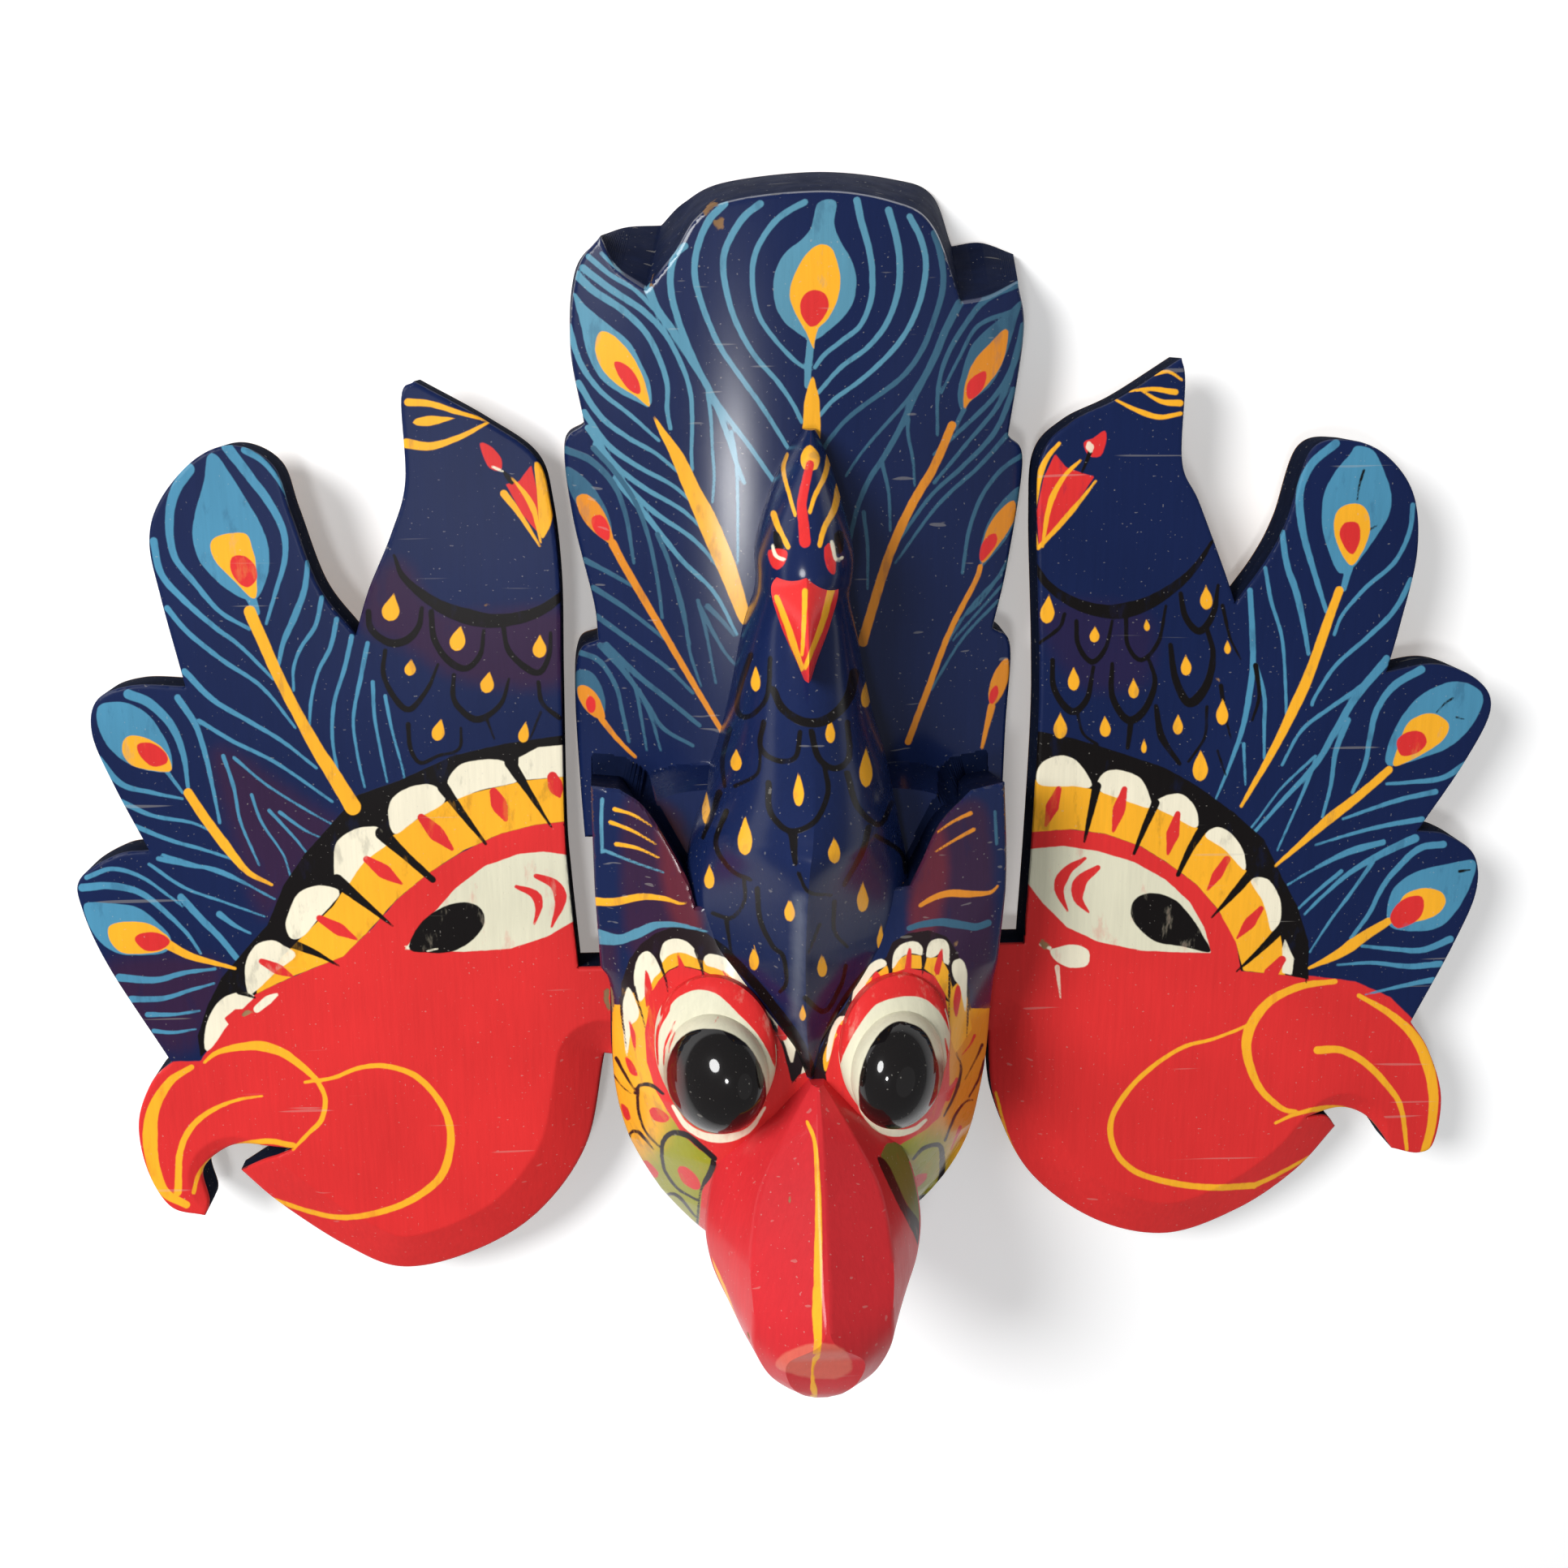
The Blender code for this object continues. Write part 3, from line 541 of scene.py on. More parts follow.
def new_piece(name: str, points: np.ndarray, faces: np.ndarray, fields: dict[str, np.ndarray],
              shift: np.ndarray, turn_out: bool = False) -> bpy.types.Object:
    """Puts a surface into the scene as an object at the origin.

    Args:
        name: The piece's name.
        points: One row of x, y, z per point, in the mask's own millimetres.
        faces: One row of point numbers per triangle.
        fields: Values that the material reads, one per point, by name.
        shift: From the mask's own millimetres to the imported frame's.
        turn_out: Whether the faces still have to be turned outwards.

    Returns:
        The new object.
    """
    mesh = bpy.data.meshes.new(name)
    mesh.vertices.add(len(points))
    mesh.vertices.foreach_set("co", ((points + shift) * MM).ravel())
    mesh.loops.add(faces.size)
    mesh.loops.foreach_set("vertex_index", faces.ravel())
    mesh.polygons.add(len(faces))
    mesh.polygons.foreach_set("loop_start", np.arange(0, faces.size, 3))
    mesh.polygons.foreach_set("loop_total", np.full(len(faces), 3))
    mesh.update(calc_edges=True)
    for label, values in fields.items():
        layer = mesh.attributes.new(label, "FLOAT", "POINT")
        layer.data.foreach_set("value", values.astype(np.float32))
    if turn_out:
        work = bmesh.new()
        work.from_mesh(mesh)
        bmesh.ops.recalc_face_normals(work, faces=work.faces)
        work.to_mesh(mesh)
        work.free()
    mesh.shade_smooth()
    mesh.set_sharp_from_angle(angle=CREASE_ANGLE)
    piece = bpy.data.objects.new(name, mesh)
    bpy.context.collection.objects.link(piece)
    return piece


def facing(points: np.ndarray, faces: np.ndarray) -> np.ndarray:
    """How squarely each point's surface faces the camera, from -1 to 1, by its faces' summed normals."""
    a, b, c = points[faces[:, 0]], points[faces[:, 1]], points[faces[:, 2]]
    normal = np.cross(b - a, c - a)
    total = np.zeros_like(points)
    for corner in range(3):
        np.add.at(total, faces[:, corner], normal)
    total /= np.maximum(np.linalg.norm(total, axis=1), 1e-12)[:, None]
    ray = VIEW.place() - points
    ray /= np.linalg.norm(ray, axis=1)[:, None]
    return (total * ray).sum(axis=1)


@dataclass(frozen=True)
class Line:
    """A brush line through photo points, tapering from its first to its last width, in photo pixels."""

    points: Pairs
    width: float = 6.0
    end: float = 3.0
    middle: float | None = None

    def distance(self, at: np.ndarray, reach: float) -> np.ndarray:
        """Distance from each seen point to the line's edge."""
        path = curve_through(self.points, BRUSH_STEP)
        path = np.vstack([path, np.asarray(self.points[-1], float)])
        middle = (self.width + self.end) / 2 if self.middle is None else self.middle
        width = np.interp(np.linspace(0, 1, len(path)), (0, 0.5, 1), (self.width, middle, self.end))
        return distance_field(at, path, width / 2, reach)


@dataclass(frozen=True)
class Drop:
    """A drop or a feather's eye: pointed at its tip, widest at a share of its length and round at its end."""

    tip: tuple[float, float]
    end: tuple[float, float]
    width: float
    widest: float = 0.62
    point: float = 1.3

    def distance(self, at: np.ndarray, reach: float) -> np.ndarray:
        """Distance to an outline that widens by a power of the way, then closes as an ellipse."""
        along = np.linspace(0, 1, DROP_STATIONS)
        way = np.clip(along / self.widest, 0, 1)
        near = way ** self.point * (1.5 - 0.5 * way ** 2)
        far = np.sqrt(np.clip(1 - ((along - self.widest) / (1 - self.widest)) ** 2, 0, 1))
        half = np.where(along < self.widest, near, far) * self.width / 2
        tip, end = np.array(self.tip), np.array(self.end)
        axis = (end - tip) / np.linalg.norm(end - tip)
        across = np.array([-axis[1], axis[0]])
        spine = tip + along[:, None] * (end - tip)
        outline = np.vstack([spine + across * half[:, None], (spine - across * half[:, None])[-2:0:-1]])
        return patch_distance(at, outline, reach)


@dataclass(frozen=True)
class Patch:
    """A closed area through photo points, with a smooth or a straight-sided edge."""

    points: Pairs
    smooth: bool = True

    def distance(self, at: np.ndarray, reach: float) -> np.ndarray:
        """Distance from each seen point to the area's edge, negative inside."""
        outline = np.asarray(self.points, float)
        if self.smooth:
            around = np.vstack([outline[-2:], outline, outline[:3]])
            outline = curve_through(around, BRUSH_STEP)
            low = np.linalg.norm(outline - around[2], axis=1).argmin()
            half = len(outline) // 2
            high = half + np.linalg.norm(outline[half:] - around[-3], axis=1).argmin()
            outline = outline[low:high]
        return patch_distance(at, outline, reach)


@dataclass(frozen=True)
class Fan:
    """Barbs of a feather: evenly spaced lines blended between guide lines that have as many points each."""

    guides: tuple[Pairs, ...]
    count: int
    width: float = 6.0
    end: float = 3.0

    def distance(self, at: np.ndarray, reach: float) -> np.ndarray:
        """Distance from each seen point to the nearest barb's edge."""
        guides = np.asarray(self.guides, float)
        found = np.full(len(at), reach)
        for place in np.linspace(0, len(guides) - 1, self.count):
            first = min(int(place), len(guides) - 2)
            share = place - first
            points = guides[first] * (1 - share) + guides[first + 1] * share
            found = np.minimum(found, Line(points, self.width, self.end).distance(at, reach))
        return found


def patch_distance(at: np.ndarray, outline: np.ndarray, reach: float) -> np.ndarray:
    """Distance to a closed outline, negative inside it."""
    found = edge_distance(at, outline, reach)
    within = inside(at, outline)
    found[within] = -found[within]
    return found


Shape = Line | Drop | Patch | Fan


@dataclass(frozen=True)
class Enlargement:
    """A part of the photograph that shapes were read on: its left and top in photo pixels, and its scale."""

    left: float
    top: float
    scale: float

    def points(self, numbers: tuple[float, ...]) -> Pairs:
        """Photo points from a row of enlarged x, y, x, y and so on."""
        return tuple((self.left + x / self.scale, self.top + y / self.scale)
                     for x, y in zip(numbers[::2], numbers[1::2]))

    def line(self, width: float, end: float, *numbers: float, middle: float | None = None) -> Line:
        """A brush line, its widths in enlarged pixels."""
        thick = None if middle is None else middle / self.scale
        return Line(self.points(numbers), width / self.scale, end / self.scale, thick)

    def lines(self, width: float, end: float, *rows: tuple[float, ...],
              middle: float | None = None) -> tuple[Line, ...]:
        """Brush lines of one width, each through a row of points."""
        return tuple(self.line(width, end, *row, middle=middle) for row in rows)

    def patch(self, *numbers: float, smooth: bool = True) -> Patch:
        """A closed area."""
        return Patch(self.points(numbers), smooth)

    def drop(self, x: float, y: float, end_x: float, end_y: float, width: float, widest: float = 0.62,
             point: float = 1.3) -> Drop:
        """A drop from its tip to its round end."""
        tip, end = self.points((x, y, end_x, end_y))
        return Drop(tip, end, width / self.scale, widest, point)


@dataclass(frozen=True)
class Coat:
    """One colour of enamel and everything that is painted with it, laid over the coats before it."""

    name: str
    colour: Colour
    shapes: tuple[Shape, ...]
    soft: float = 0.9
    wobble: float = 1.6
    cover: float = 1.0
    streak: float = 0.25

    def distance(self, at: np.ndarray) -> np.ndarray:
        """Distance from each seen point to the coat's nearest edge."""
        reach = max(BRUSH_REACH, self.soft * 1.5)
        found = np.full(len(at), reach)
        for shape in self.shapes:
            found = np.minimum(found, shape.distance(at, reach))
        return found


def painted(points: np.ndarray, coats: tuple[Coat, ...], bare: np.ndarray) -> dict[str, np.ndarray]:
    """The brush distances of every coat at every point.

    Args:
        points: One row of x, y, z per point, in the mask's own millimetres.
        coats: The coats, in the order they were laid.
        bare: Which points no brush reached.

    Returns:
        One value per point for each coat's name.
    """
    at = VIEW.pixels(points)
    fields = {}
    for coat in coats:
        values = coat.distance(at)
        values[bare] = values.max()
        fields[coat.name] = values
    return fields


def srgb(red: int, green: int, blue: int) -> Colour:
    """A colour read in 8-bit sRGB, as linear light."""
    def linear(value: int) -> float:
        """One channel of it."""
        share = value / 255
        return share / 12.92 if share <= 0.04045 else ((share + 0.055) / 1.055) ** 2.4
    return linear(red), linear(green), linear(blue)


class Nodes:
    """A short way to make and join the nodes of one tree."""

    def __init__(self, tree: bpy.types.NodeTree) -> None:
        """Keeps the tree that the nodes go into."""
        self.tree = tree

    def add(self, kind: str, **values: object) -> bpy.types.Node:
        """Makes a node and sets its properties, or its sockets where a value's name is a socket's."""
        node = self.tree.nodes.new(kind)
        for name, value in values.items():
            label = name.replace("_", " ")
            if hasattr(node, name):
                setattr(node, name, value)
            else:
                self.feed(node.inputs[label], value)
        return node

    def feed(self, socket: bpy.types.NodeSocket, value: object) -> None:
        """Joins another node's output to a socket, or sets the socket's own value."""
        if isinstance(value, bpy.types.NodeSocket):
            self.tree.links.new(value, socket)
        elif isinstance(value, tuple) and len(value) == 3 and socket.type == "RGBA":
            socket.default_value = (*value, 1.0)
        else:
            socket.default_value = value

    def math(self, operation: str, *values: object, clamp: bool = False) -> bpy.types.NodeSocket:
        """A sum on up to three numbers."""
        node = self.add("ShaderNodeMath", operation=operation, use_clamp=clamp)
        for socket, value in zip(node.inputs, values):
            self.feed(socket, value)
        return node.outputs[0]

    def mix(self, share: object, first: object, second: object, blend: str = "MIX") -> bpy.types.NodeSocket:
        """Blends two colours by a share."""
        node = self.add("ShaderNodeMix", data_type="RGBA", blend_type=blend, clamp_factor=True)
        self.feed(node.inputs[0], share)
        self.feed(node.inputs[6], first)
        self.feed(node.inputs[7], second)
        return node.outputs[2]

    def ramp(self, value: object, low: object, high: object, smooth: bool = True) -> bpy.types.NodeSocket:
        """0 at the low number, 1 at the high one."""
        node = self.add("ShaderNodeMapRange", interpolation_type="SMOOTHSTEP" if smooth else "LINEAR")
        for socket, number in zip(node.inputs, (value, low, high, 0.0, 1.0)):
            self.feed(socket, number)
        return node.outputs[0]

    def noise(self, scale: object, detail: float = 2.0, stretch: tuple[float, float, float] = (1, 1, 1),
              shift: tuple[float, float, float] = (0, 0, 0), rough: float = 0.5) -> bpy.types.NodeSocket:
        """Cloudy noise on the object's own coordinates, stretched and shifted."""
        place = self.add("ShaderNodeMapping")
        self.feed(place.inputs["Vector"], self.add("ShaderNodeTexCoord").outputs["Object"])
        place.inputs["Scale"].default_value = stretch
        place.inputs["Location"].default_value = shift
        node = self.add("ShaderNodeTexNoise", Detail=detail, Roughness=rough)
        self.feed(node.inputs["Vector"], place.outputs[0])
        self.feed(node.inputs["Scale"], scale)
        return node.outputs["Fac"]

    def field(self, name: str) -> bpy.types.NodeSocket:
        """A value kept on the mesh."""
        return self.add("ShaderNodeAttribute", attribute_name=name, attribute_type="GEOMETRY").outputs["Fac"]


def new_group(name: str, inputs: dict[str, float], outputs: tuple[str, ...]) -> tuple[
        Nodes, bpy.types.NodeTree, bpy.types.Node, bpy.types.Node]:
    """An empty node group of numbers.

    Args:
        name: The group's name.
        inputs: Its inputs with their usual values.
        outputs: Its outputs.

    Returns:
        Its nodes, its tree, its input node and its output node.
    """
    tree = bpy.data.node_groups.new(name, "ShaderNodeTree")
    for label, value in inputs.items():
        socket = tree.interface.new_socket(label, in_out="INPUT", socket_type="NodeSocketFloat")
        socket.default_value = value
    for label in outputs:
        tree.interface.new_socket(label, in_out="OUTPUT", socket_type="NodeSocketFloat")
    nodes = Nodes(tree)
    return nodes, tree, nodes.add("NodeGroupInput"), nodes.add("NodeGroupOutput")


def brush_group() -> bpy.types.NodeTree:
    """Turns a distance to a brush edge into cover: the edge wanders and dry streaks thin the paint."""
    usual = {"Distance": 10.0, "Soft": 0.9, "Wobble": 1.6, "Streak": 0.25, "Cover": 1.0}
    nodes, tree, given, out = new_group("brush cover", usual, ("Cover",))
    wander = nodes.math("SUBTRACT", nodes.noise(420.0, 3.0), 0.5)
    shaken = nodes.math("MULTIPLY_ADD", wander, given.outputs["Wobble"], given.outputs["Distance"])
    low = given.outputs["Soft"]
    cover = nodes.ramp(shaken, low, nodes.math("MULTIPLY", low, -1.0))
    dry = nodes.ramp(nodes.noise(260.0, 4.0, (1, 0.35, 1), (0.3, 0.1, 0), 0.6), 0.44, 0.30)
    thin = nodes.math("SUBTRACT", 1.0, nodes.math("MULTIPLY", dry, given.outputs["Streak"]))
    cover = nodes.math("MULTIPLY", cover, nodes.math("MULTIPLY", thin, given.outputs["Cover"]))
    nodes.feed(out.inputs[0], cover)
    return tree


def enamel_group() -> bpy.types.NodeTree:
    """Hand-brushed enamel on carved wood: shade, roughness and height from grain, brush marks and pits."""
    nodes, tree, given, out = new_group("old enamel", {"Grain": 1.0, "Roughness": 0.3},
                                        ("Shade", "Roughness", "Height", "Dust"))
    grain = nodes.noise(900.0, 3.0, (1.0, 0.06, 1.0), rough=0.65)
    brush = nodes.noise(300.0, 3.0, (1.0, 0.35, 1.0), (0.05, 0.2, 0.1))
    broad = nodes.noise(28.0, 2.0, shift=(0.4, 0.2, 0.0))
    dents = nodes.noise(120.0, 2.0, shift=(0.1, 0.7, 0.2))
    pits = nodes.ramp(nodes.noise(1500.0, 1.0, (1.0, 0.6, 1.0), (0.9, 0.3, 0.0)), 0.28, 0.22)
    specks = nodes.ramp(nodes.noise(1500.0, 0.0, shift=(0.2, 0.5, 0.3)), 0.80, 0.84)
    scratches = nodes.ramp(nodes.noise(620.0, 1.0, (0.045, 1.0, 1.0), (0.7, 0.4, 0.2)), 0.735, 0.77)
    specks = nodes.math("MAXIMUM", specks, nodes.math("MULTIPLY", scratches, 0.8))
    shade = nodes.math("MULTIPLY_ADD", nodes.math("SUBTRACT", broad, 0.5), 0.35, 1.0)
    shade = nodes.math("MULTIPLY_ADD", nodes.math("SUBTRACT", grain, 0.5), 0.22, shade)
    height = nodes.math("MULTIPLY", grain, 0.45)
    height = nodes.math("MULTIPLY_ADD", brush, 0.35, height)
    height = nodes.math("MULTIPLY_ADD", dents, 0.9, height)
    height = nodes.math("MULTIPLY_ADD", pits, -0.35, height)
    height = nodes.math("MULTIPLY", height, given.outputs["Grain"])
    rough = nodes.math("MULTIPLY_ADD", nodes.math("SUBTRACT", dents, 0.5), 0.25, given.outputs["Roughness"])
    rough = nodes.math("MULTIPLY_ADD", nodes.math("SUBTRACT", brush, 0.5), 0.20, rough, clamp=True)
    for socket, value in zip(out.inputs, (shade, rough, height, specks)):
        nodes.feed(socket, value)
    return tree


def wear_group() -> bpy.types.NodeTree:
    """Where edges are worn: a share that falls with the distance from an edge and breaks up in patches."""
    usual = {"Edge": WEAR_REACH, "Reach": 1.0, "Amount": 0.5, "Scale": 160.0}
    nodes, tree, given, out = new_group("edge wear", usual, ("Worn",))
    patches = nodes.noise(given.outputs["Scale"], 5.0, rough=0.65)
    near = nodes.math("DIVIDE", given.outputs["Edge"], given.outputs["Reach"])
    level = nodes.math("SUBTRACT", nodes.math("ADD", patches, given.outputs["Amount"]), near)
    nodes.feed(out.inputs[0], nodes.ramp(level, 0.93, 1.03))
    return tree


class Groups:
    """The effects that all finishes share, built once."""

    def __init__(self) -> None:
        """Builds every group."""
        self.brush = brush_group()
        self.enamel = enamel_group()
        self.wear = wear_group()


@dataclass(frozen=True)
class PaintedWood:
    """Enamel over carved wood: a ground colour, coats over it, darker walls, dirty edges and a bare back."""

    name: str
    ground: Colour
    wall: Colour
    coats: tuple[Coat, ...]
    chips: tuple[Shape, ...] = ()
    roughness: float = 0.30
    coating: float = 0.5
    gloss: float = 0.18
    glossy_coat: str = ""
    grain: float = 1.0
    rim: Colour = srgb(38, 36, 40)
    rim_reach: float = 1.4
    rim_amount: float = 0.42
    wood: Colour = srgb(176, 138, 100)
    dirty_wood: Colour = srgb(112, 84, 60)
    dust_share: float = 0.26
    specular: float = 0.03
    bump: float = 0.5
    bump_height: float = 0.0002
    chip_wobble: float = 14.0
    chip_soft: float = 1.2
    chip_streak: float = 0.4
    crisp: float = 3.0
    coat_relief: float = 0.6
    wall_shade: float = 0.35
    stain_shade: float = 0.4
    stain_share: float = 0.5
    rim_share: float = 0.8
    bare_rough: float = 0.5
    worn_rough: float = 0.2
    wall_rough: float = 0.35

    def build(self, groups: Groups) -> bpy.types.Material:
        """Makes the material.

        Args:
            groups: The effects that finishes share.

        Returns:
            The material.
        """
        material = bpy.data.materials.new(self.name)
        material.use_nodes = True
        nodes = Nodes(material.node_tree)
        shader = material.node_tree.nodes["Principled BSDF"]
        enamel = nodes.add("ShaderNodeGroup", node_tree=groups.enamel)
        enamel.inputs["Grain"].default_value = self.grain
        enamel.inputs["Roughness"].default_value = self.roughness
        colour: object = self.ground
        relief: object = 0.0
        glossy: object = 1.0
        for coat in self.coats:
            brush = nodes.add("ShaderNodeGroup", node_tree=groups.brush)
            nodes.feed(brush.inputs["Distance"], nodes.field(coat.name))
            for label, value in (("Soft", coat.soft), ("Wobble", coat.wobble), ("Streak", coat.streak),
                                 ("Cover", coat.cover)):
                brush.inputs[label].default_value = value
            cover = brush.outputs[0]
            colour = nodes.mix(cover, colour, coat.colour)
            if coat.name == self.glossy_coat:
                glossy = cover
            if coat.soft < self.crisp:
                relief = nodes.math("MAXIMUM", nodes.math("MULTIPLY", cover, self.coat_relief), relief)
        wall = nodes.ramp(nodes.field("wall"), 0.02, 0.06)
        dark_wall = tuple(self.wall_shade * c for c in self.wall)
        wall_tone = nodes.mix(nodes.noise(140.0, 4.0, (1, 1, 3)), self.wall, dark_wall)
        colour = nodes.mix(wall, colour, wall_tone)
        shade = nodes.add("ShaderNodeCombineColor")
        for socket in shade.inputs:
            nodes.feed(socket, enamel.outputs["Shade"])
        colour = nodes.mix(1.0, colour, shade.outputs[0], "MULTIPLY")
        colour = nodes.mix(nodes.math("MULTIPLY", enamel.outputs["Dust"], self.dust_share), colour, DUST)
        wear = nodes.add("ShaderNodeGroup", node_tree=groups.wear)
        nodes.feed(wear.inputs["Edge"], nodes.field("edge"))
        wear.inputs["Reach"].default_value = self.rim_reach
        wear.inputs["Amount"].default_value = self.rim_amount
        colour = nodes.mix(nodes.math("MULTIPLY", wear.outputs[0], self.rim_share), colour, self.rim)
        back = nodes.ramp(nodes.field("back"), 0.3, 0.7)
        timber = nodes.mix(nodes.noise(260.0, 4.0, (1.0, 0.08, 1.0)), self.dirty_wood, self.wood)
        stain = nodes.ramp(nodes.noise(30.0, 3.0, shift=(0.6, 0.1, 0)), 0.45, 0.7)
        stained_wood = tuple(self.stain_shade * c for c in self.dirty_wood)
        timber = nodes.mix(nodes.math("MULTIPLY", stain, self.stain_share), timber, stained_wood)
        bare: object = back
        if self.chips:
            chip = nodes.add("ShaderNodeGroup", node_tree=groups.brush)
            nodes.feed(chip.inputs["Distance"], nodes.field("chips"))
            chip.inputs["Wobble"].default_value = self.chip_wobble
            chip.inputs["Soft"].default_value = self.chip_soft
            chip.inputs["Streak"].default_value = self.chip_streak
            bare = nodes.math("MAXIMUM", back, chip.outputs[0])
            relief = nodes.math("SUBTRACT", relief, chip.outputs[0])
        colour = nodes.mix(bare, colour, timber)
        nodes.feed(shader.inputs["Base Color"], colour)
        rough = nodes.math("MULTIPLY_ADD", bare, self.bare_rough, enamel.outputs["Roughness"])
        rough = nodes.math("MULTIPLY_ADD", wear.outputs[0], self.worn_rough, rough)
        rough = nodes.math("MULTIPLY_ADD", wall, self.wall_rough, rough, clamp=True)
        nodes.feed(shader.inputs["Roughness"], rough)
        dull = nodes.math("MAXIMUM", bare, wall)
        varnish = nodes.math("MULTIPLY", nodes.math("SUBTRACT", glossy, dull, clamp=True), self.coating)
        nodes.feed(shader.inputs["Coat Weight"], varnish)
        shader.inputs["Specular IOR Level"].default_value = self.specular
        shader.inputs["Coat Roughness"].default_value = self.gloss
        shader.inputs["Metallic"].default_value = 0.0
        height = nodes.math("ADD", enamel.outputs["Height"], relief)
        bump = nodes.add("ShaderNodeBump", Height=height)
        bump.inputs["Strength"].default_value = self.bump
        bump.inputs["Distance"].default_value = self.bump_height
        nodes.feed(shader.inputs["Normal"], bump.outputs[0])
        return material


def crown_height(p: np.ndarray) -> np.ndarray:
    """The fan's front: a shallow arch across the mask, falling with the square of the way out."""
    half = max(abs(x) for run in CROWN_FRONT_RUNS for x, _ in run)
    return CROWN_FRONT - (CROWN_FRONT - CROWN_EDGE) * (p[:, 0] / half) ** 2


def face_height(p: np.ndarray) -> np.ndarray:
    """The face's front: ridge and edge heights by y, blended outwards by a power of the way across."""
    x, y = np.abs(p[:, 0]), p[:, 1]
    middle, edge, side = (np.interp(y, *zip(*table)) for table in (FACE_RIDGE, FACE_EDGE, FACE_SIDE))
    share = np.clip((x - FACE_FLAT) / (side - FACE_FLAT), 0, 1.05)
    return middle - (middle - edge) * share ** FACE_FALL


def ledge_line() -> np.ndarray:
    """The upper edge of the ledge's front, from left to right."""
    return curve_through(LEDGE_RUNS[3], BLOCK_SPACING)[::-1]


def plain_height(p: np.ndarray) -> np.ndarray:
    """The fan and the ledge: the ledge's height below its line, then a short slope down to the fan's arch."""
    line = ledge_line()
    fan = crown_height(p)
    ledge = LEDGE_FRONT + LEDGE_FALL * (LEDGE_LEVEL_Y - p[:, 1])
    run = LEDGE_SLOPE * (ledge - fan) / (ledge - CROWN_EDGE)
    share = np.clip((p[:, 1] - np.interp(p[:, 0], line[:, 0], line[:, 1])) / run, 0, 1)
    beside = (p[:, 0] < line[0, 0]) | (p[:, 0] > line[-1, 0])
    share[beside | (p[:, 1] > line[:, 1].max() + 2 * LEDGE_SLOPE)] = 1
    return ledge * (1 - share) + fan * share


def drafted(outline: np.ndarray, draft: float) -> np.ndarray:
    """The outline grown outwards by the draft, about its own middle."""
    middle = (outline.min(axis=0) + outline.max(axis=0)) / 2
    half = (outline.max(axis=0) - outline.min(axis=0)) / 2
    return middle + (outline - middle) * (1 + draft / half)


def wall_x(side: Side, y: float) -> float:
    """Where the face block's side wall stands at this height."""
    outline = drafted(outline_of(FACE_RUNS, 4.0), SIDE_DRAFT)
    near = outline[(outline[:, 0] * side > 20) & (np.abs(outline[:, 1] - y) < TENON_HEIGHT / 2 + 4.0)]
    return side * float(np.max(near[:, 0] * side))


